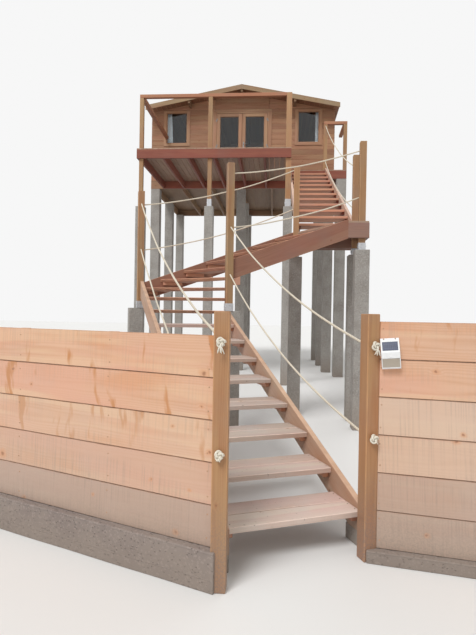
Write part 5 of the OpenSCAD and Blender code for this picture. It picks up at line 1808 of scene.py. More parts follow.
@dataclass
class Joinery:
    """Shared ways of cutting sloping boards and of filling an outline with boards."""

    bench: Bench
    screws: list[Thing] = field(default_factory=list)
    sliver: float = 0.015
    screw_in: float = 0.022
    sag: float = 0.0012

    def raker(self, top: Vector, ahead: Vector, slope: float, run: float, deep: float,
              thick: float, aside: Vector) -> Board:
        """Cut a sloping board on edge, longer than its run at both ends.

        Args:
            top: A point of its upper edge where the run starts, on one face.
            ahead: Level direction of the run.
            slope: Rise over run.
            run: Level length of the run.
            deep: Depth of the board, square to its edge.
            thick: Thickness of the board.
            aside: Level direction from that face through the board.

        Returns:
            The board, to be sawn at its ends.
        """
        way = (ahead + Z_WAY * slope).normalized()
        rise = aside.cross(way)
        if rise.z < 0:
            rise = -rise
        middle = top + ahead * run / 2 + Z_WAY * (slope * run / 2)
        middle = middle - rise * deep / 2 + aside * thick / 2
        return self.bench.laid((run * math.hypot(1.0, slope) + 2 * deep, deep, thick), middle,
                               way, rise, bevel=0.004, cuts=10, wave=0.0008)

    def fill(self, corners: Sequence[Vector], top: float, thick: float, start: Vector,
             along: Vector, width: float, gap: float, bevel: float = 0.003) -> list[Board]:
        """Fill a convex outline with boards that lie side by side.

        Args:
            corners: Corners of the outline, in plan.
            top: Height of the boards' upper faces.
            thick: Thickness of the boards.
            start: A point of the first board's outer edge.
            along: Direction of the boards, with the outline on its left or right.
            width: Width of a board.
            gap: Gap between two boards.
            bevel: Width of the arrises.

        Returns:
            The boards.
        """
        outline = Outline(corners)
        along = Vector((along.x, along.y, 0.0)).normalized()
        aside = Vector((-along.y, along.x, 0.0))
        start = Vector((start.x, start.y, 0.0))
        if (outline.middle - start).dot(aside) < 0:
            aside = -aside
        reach = max((p - start).dot(aside) for p in outline.corners)
        low = min((p - start).dot(along) for p in outline.corners) - 0.05
        high = max((p - start).dot(along) for p in outline.corners) + 0.05
        boards: list[Board] = []
        count = max(1, math.ceil((reach - 0.02) / (width + gap)))
        for k in range(count):
            near = k * (width + gap)
            here = min(width, reach - near) if k == count - 1 else width
            if here < self.sliver:
                continue
            middle = start + aside * (near + here / 2) + along * (low + high) / 2
            middle.z = top - thick / 2
            board = self.bench.laid((high - low, here, thick), middle, along, aside,
                                    bevel=bevel, cuts=2)
            for a, _, out in outline.edges:
                board.saw((a.x, a.y, middle.z), out)
            board.keep(3, boards)
        return boards

    def joist(self, x0: float, y0: float, x1: float, y1: float, **finish: float) -> Board:
        """Cut a board on edge over a rectangle of the deck's or the cabin's frame."""
        return self.bench.between((x0, y0, PLAN.frame_base), (x1, y1, PLAN.frame_top),
                                  Lay.X_EDGE if x1 - x0 > y1 - y0 else Lay.Y_EDGE, **finish)

    def screw_down(self, point: Vector) -> None:
        """Drive a screw into a level face."""
        turn = Matrix.Rotation(self.bench.random.uniform(0, 3), 4, "Z")
        self.screws.append(self.bench.fixing(screw_head, Matrix.Translation(point) @ turn))

    def tread(self, length: float, spot: Spot, x: float, y: float, top: float,
              boards: list[Board], cleats: list[Board]) -> None:
        """Cut a tread of two boards with a cleat under each end.

        Args:
            length: Length of the tread.
            spot: Frame of the flight, x across it and y along it.
            x: Left end of the tread.
            y: Its nosing.
            top: Height of its upper face.
            boards: The list that takes the boards.
            cleats: The list that takes the cleats.
        """
        wide, cleat = (PLAN.tread_deep - PLAN.tread_gap) / 2, PLAN.cleat
        under = top - PLAN.tread_thick
        for near in (0.0, wide + PLAN.tread_gap):
            sag = self.bench.random.uniform(0.0, self.sag)
            boards.append(self.bench.between(
                (x, y + near, under - sag), (x + length, y + near + wide, top - sag),
                Lay.X_FLAT, spot, bevel=0.0045, segments=2, cuts=8, wave=0.0008))
            for end in (self.screw_in, length - self.screw_in):
                for part in (0.25, 0.75):
                    self.screw_down(spot.point(
                        x + end + self.bench.random.uniform(-0.004, 0.004),
                        y + near + wide * part, top - 0.0003))
        for end in (x, x + length - cleat):
            cleats.append(self.bench.between(
                (end, y + cleat, under - cleat - 0.0005),
                (end + cleat, y + PLAN.tread_deep - cleat, under - 0.0015), Lay.Y_FLAT, spot))

    def cleat(self, a: Vector, b: Vector, top: float, inwards: Vector) -> Board:
        """Cut a cleat that carries a tread, on a stringer's face between two points.

        Args:
            a: One end of it, in plan, on the face.
            b: The other end.
            top: Height of its upper face.
            inwards: Level direction from the face to the treads.

        Returns:
            The cleat.
        """
        middle = (a + b) / 2 + inwards * (PLAN.cleat / 2 + PLAN.gap)
        middle.z = top - PLAN.cleat / 2 - 0.0005
        return self.bench.laid(((b - a).length, PLAN.cleat, PLAN.cleat), middle,
                               (b - a).normalized(), inwards)


@dataclass
class LowerFlight:
    """Two stringers and eight treads of two boards each."""

    joinery: Joinery

    def build(self) -> None:
        """Make the flight."""
        bench, stair, start = self.joinery.bench, PLAN.stair, PLAN.string_start
        strings = []
        for x, end in ((0.0, PLAN.turn_start - PLAN.post / 2),
                       (-PLAN.tread - PLAN.string, PLAN.turn_back)):
            board = self.joinery.raker(
                stair.point(x, start, PLAN.edge(start)), stair.along, PLAN.slope, end - start,
                PLAN.string_deep, PLAN.string, stair.across)
            board.saw(stair.point(x, start, 0.3), -stair.along)
            board.saw(stair.point(x, end, 0.3), stair.along)
            strings.append(board.saw((0, 0, PLAN.gate_ground), (0, 0, -1)))
        bench.piece("lower_stringer_boards", strings, Finish.STRING, "stair_timber",
                    ["lower_stringers"])
        boards: list[Board] = []
        cleats: list[Board] = []
        for i in range(PLAN.lower_count):
            self.joinery.tread(PLAN.tread - 2 * PLAN.gap, stair, PLAN.gap - PLAN.tread,
                               i * PLAN.going, PLAN.first_top + i * PLAN.rise, boards, cleats)
        # Painted shade: the treads get a darker tone higher up the flight, and each back board a
        # little darker than its front board.
        for i, board in enumerate(boards):
            board.tone = min(0.9, (i // 2) * 0.45) + (i % 2) * 0.05
        bench.piece("lower_tread_boards", boards, Finish.TREAD, "stair_timber", ["lower_treads"])
        bench.piece("lower_tread_cleats", cleats, Finish.RED_TREAD, "stair_timber")


def meet(p: Vector, d: Vector, q: Vector, e: Vector) -> Vector:
    """Return where the line through p along d meets the line through q along e."""
    return p + d * (((q.x - p.x) * e.y - (q.y - p.y) * e.x) / (d.x * e.y - d.y * e.x))


@dataclass
class Turn:
    """The winder treads round the inner post, each of boards beside its nosing."""

    joinery: Joinery
    first: float = 21.7
    step: float = 15.0
    lap: float = 0.020
    board: float = 0.187

    def direction(self, i: int) -> Vector:
        """Return the direction of a winder's edge, from the inner post outwards."""
        angle = math.radians(self.first + i * self.step)
        return Vector((-math.cos(angle), math.sin(angle), 0.0))

    def lapped(self, i: int) -> Vector:
        """Return the inner post's middle, moved back from a winder's edge by the lap."""
        d = self.direction(i)
        return self.post - Vector((-d.y, d.x, 0.0)) * self.lap

    @property
    def post(self) -> Vector:
        """Middle of the inner post, in the stair's frame."""
        return Vector((*PLAN.inner, 0.0))

    def outlines(self) -> list[list[Vector]]:
        """Return each winder's outline, its nosing last except in the first one."""
        d, lapped, post = self.direction, self.lapped, self.post
        left = Vector((-PLAN.tread, 0, 0))
        back = Vector((0, PLAN.turn_back - PLAN.gap, 0))
        nosing = PLAN.lower_count * PLAN.going
        flight = MiddleFlight(self.joinery)
        return [
            [Vector((0, nosing, 0)), meet(lapped(0), d(0), Vector(), Y_WAY),
             meet(lapped(0), d(0), left, Y_WAY), Vector((-PLAN.tread, nosing, 0))],
            [post, lapped(1), meet(lapped(1), d(1), left, Y_WAY), meet(post, d(0), left, Y_WAY)],
            [post, lapped(2), meet(lapped(2), d(2), back, X_WAY), left + back,
             meet(post, d(1), left, Y_WAY)],
            [post, lapped(3), meet(lapped(3), d(3), back, X_WAY), meet(post, d(2), back, X_WAY)],
            [post, meet(Vector((PLAN.post, 0, 0)), Y_WAY, flight.inner, flight.ahead),
             meet(flight.inner, flight.ahead, flight.nosing_front(0), flight.nosing(0)),
             flight.nosing_back(0), meet(post, d(3), back, X_WAY)]]

    def build(self) -> None:
        """Make the winders and the posts of the turn."""
        boards: list[Board] = []
        bench, stair, (x, y) = self.joinery.bench, PLAN.stair, PLAN.inner
        for i, outline in enumerate(self.outlines()):
            height = PLAN.turn_top + (i - 1) * PLAN.turn_rise if i else PLAN.turn_top - PLAN.rise
            plan = [stair.matrix() @ p for p in outline]
            cut = self.joinery.fill(plan, height, PLAN.tread_thick, plan[0], plan[-1] - plan[0],
                                    self.board, PLAN.tread_gap, 0.0045)
            wide = PLAN.post / 2 + PLAN.gap + (0.0 if i else PLAN.shoe)
            for board in cut:
                board.notch((x - wide, y - wide, 0.0), (x + wide, y + wide, 4.0), stair)
            boards += cut
        bench.piece("turn_tread_boards", boards, Finish.RED_TREAD, "stair_timber",
                    ["turn_treads"])
        posts = [bench.post(*at, foot + PLAN.shoe, top, PLAN.post, stair) for at, foot, top in zip(
            (PLAN.inner, PLAN.outer), (PLAN.inner_shoe, PLAN.outer_shoe), PLAN.turn_tops)]
        bench.piece("turn_post_timbers", posts, Finish.PINE, "post_pine", ["turn_posts"])


@dataclass
class MiddleFlight:
    """The four fanned treads between two stringers, from the turn to the landing.

    Attributes:
        joinery: The joinery.
        clear: Distance from a nosing to the cleats' ends.
        block: Reach and depth of the block under the front stringer's foot.
        board: Width of a tread's boards.
        marks: Where the winders' cleats start on the back stringer.
        first_cleat: Length from the first mark to the end of the first cleat.
    """

    joinery: Joinery
    clear: float = 0.030
    block: tuple[float, float] = (0.105, 0.075)
    board: float = 0.178
    marks: tuple[float, ...] = (-0.92, -0.70, -0.36)
    first_cleat: float = 0.17

    @property
    def begin(self) -> Vector:
        """Start of the front stringer's outer face, in the stair's frame."""
        return Vector((PLAN.post, PLAN.turn_start, 0.0))

    @property
    def run(self) -> Vector:
        """The front stringer's outer face, from its start to the landing."""
        return Vector((PLAN.middle_front_last, PLAN.middle_front_end, 0.0)) - self.begin

    @property
    def ahead(self) -> Vector:
        """Direction of the front stringer."""
        return self.run.normalized()

    @property
    def inwards(self) -> Vector:
        """Direction from the front stringer to the treads."""
        return Vector((-self.ahead.y, self.ahead.x, 0.0))

    @property
    def inner(self) -> Vector:
        """A point of the line where the treads end before the front stringer."""
        return self.begin + self.inwards * (PLAN.string + PLAN.gap)

    def nosing_front(self, k: int) -> Vector:
        """Return the front end of a step's nosing."""
        span = PLAN.middle_front_last - PLAN.middle_front_first
        x = PLAN.middle_front_first + k * span / PLAN.middle_count
        return self.begin + self.ahead * ((x - self.begin.x) / self.ahead.x)

    def nosing_back(self, k: int) -> Vector:
        """Return the back end of a step's nosing."""
        span = PLAN.middle_back_last - PLAN.middle_back_first
        x = PLAN.middle_back_first + k * span / PLAN.middle_count
        return Vector((x, PLAN.turn_back - PLAN.gap, 0.0))

    def nosing(self, k: int) -> Vector:
        """Return the direction of a step's nosing."""
        return self.nosing_back(k) - self.nosing_front(k)

    def strings(self, start: Vector, ahead: Vector, slope: float) -> list[Board]:
        """Cut the back and the front stringer.

        Args:
            start: Start of the front stringer's upper outer arris.
            ahead: Its level direction.
            slope: Its slope.

        Returns:
            The stringers.
        """
        stair, x, side = PLAN.stair, -PLAN.tread, PLAN.side
        edge = side - PLAN.front
        away = Vector((edge.y, -edge.x, 0.0)).normalized()
        back = self.joinery.raker(
            stair.point(x, PLAN.turn_back, PLAN.middle_back_top(x)), stair.across,
            PLAN.middle_slope, PLAN.middle_back_last - x, PLAN.middle_deep, PLAN.string,
            stair.along)
        back.saw(stair.point(x, PLAN.turn_back, 2.5), -stair.across)
        back.saw((side.x, side.y, 2.8), away)
        back.clear(PLAN.landing_posts[2:], height=(0, 4))
        front = self.joinery.raker(start, ahead, slope, self.run.length, PLAN.middle_deep,
                                   PLAN.string, Vector((-ahead.y, ahead.x, 0.0)))
        front.saw(stair.point(PLAN.post, PLAN.turn_start, 2.5), -stair.across)
        front.saw((PLAN.front.x, PLAN.front.y, 2.8), away)
        return [back, front]

    def treads(self) -> list[Board]:
        """Cut the treads."""
        boards: list[Board] = []
        shrink = (PLAN.going - PLAN.tread_deep) / 2
        for k in range(PLAN.middle_count):
            last = k == PLAN.middle_count - 1
            pull = X_WAY * (PLAN.gap if last else shrink)
            plan = [PLAN.stair.matrix() @ p for p in (
                meet(self.inner, self.ahead, self.nosing_front(k), self.nosing(k)),
                meet(self.inner, self.ahead, self.nosing_front(k + 1) - pull, self.nosing(k + 1)),
                self.nosing_back(k + 1) - pull, self.nosing_back(k))]
            height = PLAN.turn_top + (PLAN.middle_count + k) * PLAN.turn_rise
            cut = self.joinery.fill(plan, height, PLAN.tread_thick, plan[0], plan[3] - plan[0],
                                    self.board, PLAN.tread_gap, 0.0045)
            if last:
                for board in cut:
                    board.clear([(*PLAN.side[:2], PLAN.post + 2 * PLAN.gap)], height=(0, 4))
            boards += cut
        return boards

    def cleats(self) -> list[Board]:
        """Cut the cleats under the winders' and the treads' ends, on both stringers."""
        stair, clear = PLAN.stair, self.clear
        base = PLAN.turn_top - PLAN.tread_thick
        steps = range(PLAN.middle_count + 1)
        backs = [*self.marks, *(self.nosing_back(k).x for k in steps)]
        cleats = []
        for i, (a, b) in enumerate(zip(backs, backs[1:])):
            end = b - clear if i else a + self.first_cleat
            if i == len(backs) - 2:
                end -= PLAN.post / 2
            cleats.append(self.joinery.cleat(
                stair.point(a + clear, PLAN.turn_back), stair.point(end, PLAN.turn_back),
                base + (i + 1) * PLAN.turn_rise, -stair.along))
        fronts = [0.0, *((self.nosing_front(k) - self.begin).length for k in steps)]
        for i, (a, b) in enumerate(zip(fronts, fronts[1:])):
            ends = [stair.matrix() @ (self.begin + self.inwards * PLAN.string
                                      + self.ahead * reach) for reach in (a + clear, b - clear)]
            cleats.append(self.joinery.cleat(*ends, base + (i + 3) * PLAN.turn_rise,
                                             stair.matrix().to_3x3() @ self.inwards))
        return cleats

    def build(self) -> None:
        """Make the stringers, the treads, the cleats and the block."""
        bench, stair = self.joinery.bench, PLAN.stair
        ahead = stair.matrix().to_3x3() @ self.ahead
        span = PLAN.middle_front_last - PLAN.middle_front_first
        slope = PLAN.turn_rise * PLAN.middle_count / (span / self.ahead.x)
        start = stair.matrix() @ self.begin
        start.z = PLAN.landing_z + PLAN.middle_over - slope * self.run.length
        bench.piece("middle_stringer_boards", self.strings(start, ahead, slope), Finish.SKEWED,
                    "deck_timber", ["middle_stringers"])
        bench.piece("middle_tread_boards", self.treads(), Finish.RED_TREAD, "stair_timber",
                    ["middle_treads"])
        low = start.copy()
        low.z -= PLAN.middle_deep * math.hypot(1.0, slope) + 0.0005
        block = bench.between(
            (PLAN.post + PLAN.gap, PLAN.turn_start - 0.022, low.z - self.block[1]),
            (PLAN.post + self.block[0], PLAN.turn_start + 0.043, low.z + 0.08), Lay.X_FLAT, stair)
        block.saw(low, Z_WAY - ahead * slope)
        bench.piece("middle_cleats", [*self.cleats(), block], Finish.RED_TREAD, "stair_timber")


@dataclass
class Landing:
    """The landing's frame, boards and posts."""

    joinery: Joinery
    board: float = 0.140
    gap: float = 0.005
    spare: float = 0.2

    @property
    def corners(self) -> list[Vector]:
        """Corners of the landing, in plan."""
        return [PLAN.front, Vector((PLAN.right, PLAN.front.y, 0)),
                Vector((PLAN.right, PLAN.back, 0)), Vector((PLAN.left, PLAN.back, 0)), PLAN.side]

    def rims(self, top: float) -> list[Board]:
        """Cut the rim's boards, mitred or butted at the corners, and the two bearers."""
        rims = []
        edges = Outline(self.corners).edges
        for i, (a, b, _) in enumerate(edges):
            along = (b - a).normalized()
            middle = (a + b) / 2 + Vector((-along.y, along.x, 0)) * PLAN.frame_thick / 2
            middle.z = top - PLAN.landing_frame / 2
            board = self.joinery.bench.laid(
                ((b - a).length + self.spare, PLAN.landing_frame, PLAN.frame_thick), middle,
                along, Z_WAY, cuts=4)
            for j, (c, _, out) in enumerate(edges):
                if j == i:
                    continue
                meets = i % 2 and j in ((i + 1) % len(edges), (i - 1) % len(edges))
                inset = PLAN.frame_thick if meets or (i, j) == (4, 0) else 0.0
                board.saw(Vector((c.x, c.y, middle.z)) - out * inset, out)
            rims.append(board)
        for y in (PLAN.side.y + PLAN.post / 2 + PLAN.frame_thick, (PLAN.side.y + PLAN.back) / 2):
            rims.append(self.joinery.bench.between(
                (PLAN.left + PLAN.frame_thick, y, top - PLAN.landing_frame),
                (PLAN.right - PLAN.frame_thick, y + PLAN.frame_thick, top), Lay.X_EDGE))
        return rims

    def build(self) -> None:
        """Make the landing."""
        bench = self.joinery.bench
        rims = self.rims(PLAN.landing_z - PLAN.board)
        for board in rims:
            board.clear(PLAN.landing_posts)
        bench.piece("landing_frame_boards", rims, Finish.FADED, "deck_timber",
                    ["landing_frame"])
        boards = self.joinery.fill(self.corners, PLAN.landing_z, PLAN.board, self.corners[3],
                                   X_WAY, self.board, self.gap)
        for board in boards:
            board.clear(PLAN.landing_posts)
        bench.piece("landing_floor_boards", boards, Finish.DECKING, "stair_timber",
                    ["landing_boards"])
        posts = [bench.post(x, y, PLAN.landing_foot + PLAN.shoe, top, width)
                 for (x, y, width), top in zip(PLAN.landing_posts, PLAN.landing_tops)]
        bench.piece("landing_post_timbers", posts, Finish.PINE, "post_pine", ["landing_posts"])


@dataclass
class UpperFlight:
    """The straight flight from the landing to the deck."""

    joinery: Joinery
    over: float = 0.040

    def build(self) -> None:
        """Make the flight."""
        bench, slope = self.joinery.bench, PLAN.upper_rise / PLAN.going
        start = PLAN.side.y + PLAN.post / 2
        edge = PLAN.landing_z + PLAN.upper_rise + self.over + slope * (start - PLAN.upper_first)
        strings = []
        for x in (PLAN.left, PLAN.right - PLAN.string):
            board = self.joinery.raker(Vector((x, start, edge)), Y_WAY, slope,
                                       PLAN.strip_front - start, PLAN.string_deep,
                                       PLAN.string, X_WAY)
            board.saw((x, start, 3), -Y_WAY).saw((x, PLAN.strip_front, 3), Y_WAY)
            strings.append(board.saw((x, start, PLAN.landing_z), -Z_WAY))
        bench.piece("upper_stringer_boards", strings, Finish.BLEACHED, "stair_timber",
                    ["upper_stringers"])
        boards: list[Board] = []
        cleats: list[Board] = []
        for i in range(PLAN.upper_count):
            self.joinery.tread(PLAN.upper_width - 2 * PLAN.gap, Spot(),
                               PLAN.left + PLAN.string + PLAN.gap,
                               PLAN.upper_first + i * PLAN.going,
                               PLAN.landing_z + (i + 1) * PLAN.upper_rise, boards, cleats)
        bench.piece("upper_tread_boards", boards, Finish.RED_TREAD, "stair_timber",
                    ["upper_treads"])
        bench.piece("upper_tread_cleats", cleats, Finish.STAINED, "stair_timber")


@dataclass
class Footings:
    """The galvanised shoes under the posts, and the concrete piers."""

    bench: Bench
    deck_deep: float = 0.169
    pier_wide: float = 0.200
    floor_wide: float = 0.250
    worn: float = 0.006

    def shoe(self, x: float, y: float, z: float, width: float, deep: float,
             spot: Spot = Spot()) -> list[Thing]:
        """Fold a shoe round a post's foot from one plate, with bolts through its cheeks.

        Args:
            x: Middle of the post.
            y: Middle of the post.
            z: Underside of the shoe.
            width: Width of the post.
            deep: Height of the cheeks.
            spot: The frame of the post.

        Returns:
            The shoe's parts.
        """
        out, t = width / 2 + PLAN.shoe, PLAN.shoe
        made = unit_cube()
        made.data.transform(Matrix.Translation((0, 0, deep / 2)) @ Matrix.Diagonal(
            (2 * out, 2 * out, deep, 1.0)))
        with editing(made):
            select("FACE", looks_up)
            bpy.ops.mesh.inset(thickness=t)
            push(0, 0, t - deep)
        round_off(made, 0.0014)
        place = spot.matrix() @ Matrix.Translation((x, y, z))
        made.data.transform(place)
        parts = [made]
        tilt = Matrix.Rotation(math.pi / 2, 4, "Y")
        for side in range(4):
            turn = Matrix.Rotation(side * math.pi / 2, 4, "Z")
            rows = ((0.0, 0.35), (0.0, 0.78)) if side % 2 else ((-0.25, 0.55), (0.25, 0.55))
            for across, up in rows:
                at = Matrix.Translation((out - 0.0002, across * width, up * deep))
                spin = Matrix.Rotation(self.bench.random.uniform(0, 1), 4, "Z")
                parts.append(self.bench.fixing(bolt_head, place @ turn @ at @ tilt @ spin))
        return parts

    def pier(self, x: float, y: float, top: float, width: float, spot: Spot = Spot()) -> Board:
        """Cast a pier whose upper arrises are worn."""
        block = self.bench.post(x, y, 0.0, top, width, spot, bevel=0.008, cuts=30)
        phase = self.bench.random.uniform(0, 6)
        for vertex in block.made.data.vertices:
            swell = 1.0 - self.worn * (1.0 + math.sin(vertex.co.x * 7.0 + phase))
            vertex.co.y *= swell
            vertex.co.z *= swell
        return block

    def build(self) -> None:
        """Make the shoes and the piers."""
        stair, post, wide = PLAN.stair, PLAN.post, self.pier_wide
        (inner_x, inner_y), (outer_x, outer_y) = PLAN.inner, PLAN.outer
        parts = self.shoe(inner_x, inner_y, PLAN.inner_shoe, post, PLAN.shoe_high, stair)
        parts += self.shoe(outer_x, outer_y, PLAN.outer_shoe, post, PLAN.shoe_high, stair)
        for x, y, width in PLAN.landing_posts:
            parts += self.shoe(x, y, PLAN.landing_foot, width, PLAN.shoe_high)
        for x, y, width in PLAN.deck_posts:
            parts += self.shoe(x, y, PLAN.deck_foot, width, self.deck_deep)
        self.bench.piece("galvanised_shoes", parts, Finish.ZINC, "shoe_steel", ["post_shoes"])
        shift = (wide - post) / 2
        piers = [self.pier(inner_x + shift, inner_y + shift, PLAN.inner_shoe, wide, stair),
                 self.pier(outer_x - shift, outer_y + shift, PLAN.outer_shoe, wide, stair)]
        piers += [self.pier(x, y, PLAN.landing_foot, wide) for x, y, _ in PLAN.landing_posts]
        front = PLAN.string_start
        piers += [self.bench.between(
            (x, front, 0.0), (x + PLAN.string, front + PLAN.string_deep, PLAN.gate_ground),
            Lay.Y_FLAT, stair, bevel=0.005, segments=2) for x in (0.0, -PLAN.tread - PLAN.string)]
        self.bench.piece("stair_footings", piers, Finish.PIER, "concrete", ["stair_piers"])
        piers = [self.pier(x, y, PLAN.deck_foot, wide) for x, y, _ in PLAN.deck_posts]
        half = self.floor_wide / 2
        piers.append(self.pier(PLAN.strip_right - half, PLAN.strip_front + half,
                               PLAN.frame_base, self.floor_wide))
        self.bench.piece("deck_footings", piers, Finish.PIER, "concrete", ["deck_piers"])
        reach = PLAN.cabin_wide / 2 - half
        rows = (PLAN.wall + half, (PLAN.wall + PLAN.cabin_back) / 2, PLAN.cabin_back - half)
        piers = [self.pier(PLAN.cabin_x + across * reach, y, PLAN.frame_base, self.floor_wide)
                 for across in (-1, 0, 1) for y in rows]
        self.bench.piece("cabin_footings", piers, Finish.PIER, "concrete", ["cabin_piers"])


@dataclass
class Deck:
    """The deck before the cabin, its strip beside the stairs, and the guard rails."""

    joinery: Joinery
    joists: int = 5
    strip_joists: int = 2
    plank: float = 0.120
    joint: float = 0.005

    def clear_posts(self, boards: Iterable[Board]) -> None:
        """Notch the boards round the posts that pass them."""
        for board in boards:
            board.clear(PLAN.deck_posts, 1e-4, (3, 7))

    def frame(self) -> None:
        """Make the rim and the joists."""
        joist, t = self.joinery.joist, PLAN.frame_thick
        left, front, right, back = PLAN.deck_left, PLAN.deck_front, PLAN.left, PLAN.wall
        strip, end = PLAN.strip_front, PLAN.strip_right
        boards = [joist(left, front, right, front + t, cuts=10, wave=0.0008),
                  joist(left, front + t, left + t, back),
                  joist(right - t, front + t, right, strip + t, cuts=6, wave=0.0006),
                  joist(right, strip, end, strip + t), joist(end - t, strip + t, end, back),
                  joist(left + t, back - t, end - t, back)]
        step = (right - left - t) / (self.joists + 1)
        for i in range(1, self.joists + 1):
            boards.append(joist(left + i * step, front + t, left + i * step + t, back - t))
        for i in range(1, self.strip_joists + 1):
            x = right + i * (end - right) / (self.strip_joists + 1)
            boards.append(joist(x, strip + t, x + t, back - t))
        self.clear_posts(boards)
        self.joinery.bench.piece("deck_frame_boards", boards, Finish.STAINED, "deck_timber",
                                 ["deck_frame"])

    def planks(self, x0: float, y0: float, x1: float, y1: float) -> list[Board]:
        """Lay boards over a rectangle of the frame, along y.

        Args:
            x0: Left edge.
            y0: Front edge.
            x1: Right edge.
            y1: Back edge.

        Returns:
            The boards.
        """
        joinery = self.joinery
        count = max(1, round((x1 - x0 + self.joint) / (self.plank + self.joint)))
        pitch = (x1 - x0 + self.joint) / count
        boards = []
        for k in range(count):
            x = x0 + k * pitch
            boards.append(joinery.bench.between(
                (x, y0, PLAN.frame_top), (x + pitch - self.joint, y1, PLAN.deck_z), Lay.Y_FLAT,
                cuts=6, wave=0.0006))
            for y in (y0 + joinery.screw_in, (y0 + y1) / 2, y1 - joinery.screw_in):
                for part in (0.25, 0.75):
                    joinery.screw_down(Vector((x + (pitch - self.joint) * part, y,
                                               PLAN.deck_z - 0.0003)))
        return boards

    def rails(self) -> None:
        """Make the guard rails with butt joints over the posts."""
        bench, post, wall = self.joinery.bench, PLAN.post, PLAN.wall
        corner, _, big = PLAN.deck_posts
        left, front = corner[0] - post / 2, corner[1] - post / 2
        right = big[0] - PLAN.big_post / 2 - PLAN.gap
        side = big[1] + PLAN.big_post / 2 + PLAN.gap
        strip, end = PLAN.strip_front, PLAN.strip_right
        spans = [(left, front, right, front + post),
                 (left, front + post, left + post, wall - PLAN.trim_thick - PLAN.gap),
                 (PLAN.left - post, side, PLAN.left, strip + post),
                 (PLAN.right - post, strip, end, strip + post),
                 (end - post, strip + post, end, wall)]
        rails = [bench.between((x0, y0, PLAN.rail_base), (x1, y1, PLAN.rail_top),
                               Lay.X_EDGE if x1 - x0 > y1 - y0 else Lay.Y_EDGE, bevel=0.005,
                               cuts=10, wave=0.0006, segments=2) for x0, y0, x1, y1 in spans]
        bench.piece("guard_rail_timbers", rails, Finish.RAIL, "deck_timber", ["guard_rails"])

    def posts(self) -> None:
        """Make the posts under the guard rails."""
        bench, under, half = self.joinery.bench, PLAN.rail_base - PLAN.gap, PLAN.post / 2
        posts = [bench.post(x, y, PLAN.deck_foot + PLAN.shoe,
                            PLAN.rail_top if width == PLAN.big_post else under, width)
                 for x, y, width in PLAN.deck_posts]
        posts += [bench.post(x - half, PLAN.strip_front + half, PLAN.deck_z, under, PLAN.post)
                  for x in (PLAN.left, PLAN.right, PLAN.strip_right)]
        bench.piece("deck_post_timbers", posts, Finish.PINE, "post_pine", ["deck_posts"])

    def build(self) -> None:
        """Make the deck."""
        bench = self.joinery.bench
        self.frame()
        boards = self.planks(PLAN.deck_left, PLAN.deck_front, PLAN.left, PLAN.wall)
        self.clear_posts(boards)
        bench.piece("deck_front_planks", boards, Finish.DECKING, "deck_timber",
                    ["deck_boards_front"])
        boards = self.planks(PLAN.left + PLAN.gap, PLAN.strip_front, PLAN.strip_right, PLAN.wall)
        bench.piece("deck_side_planks", boards, Finish.DECKING, "deck_timber",
                    ["deck_boards_side"])
        self.posts()
        self.rails()


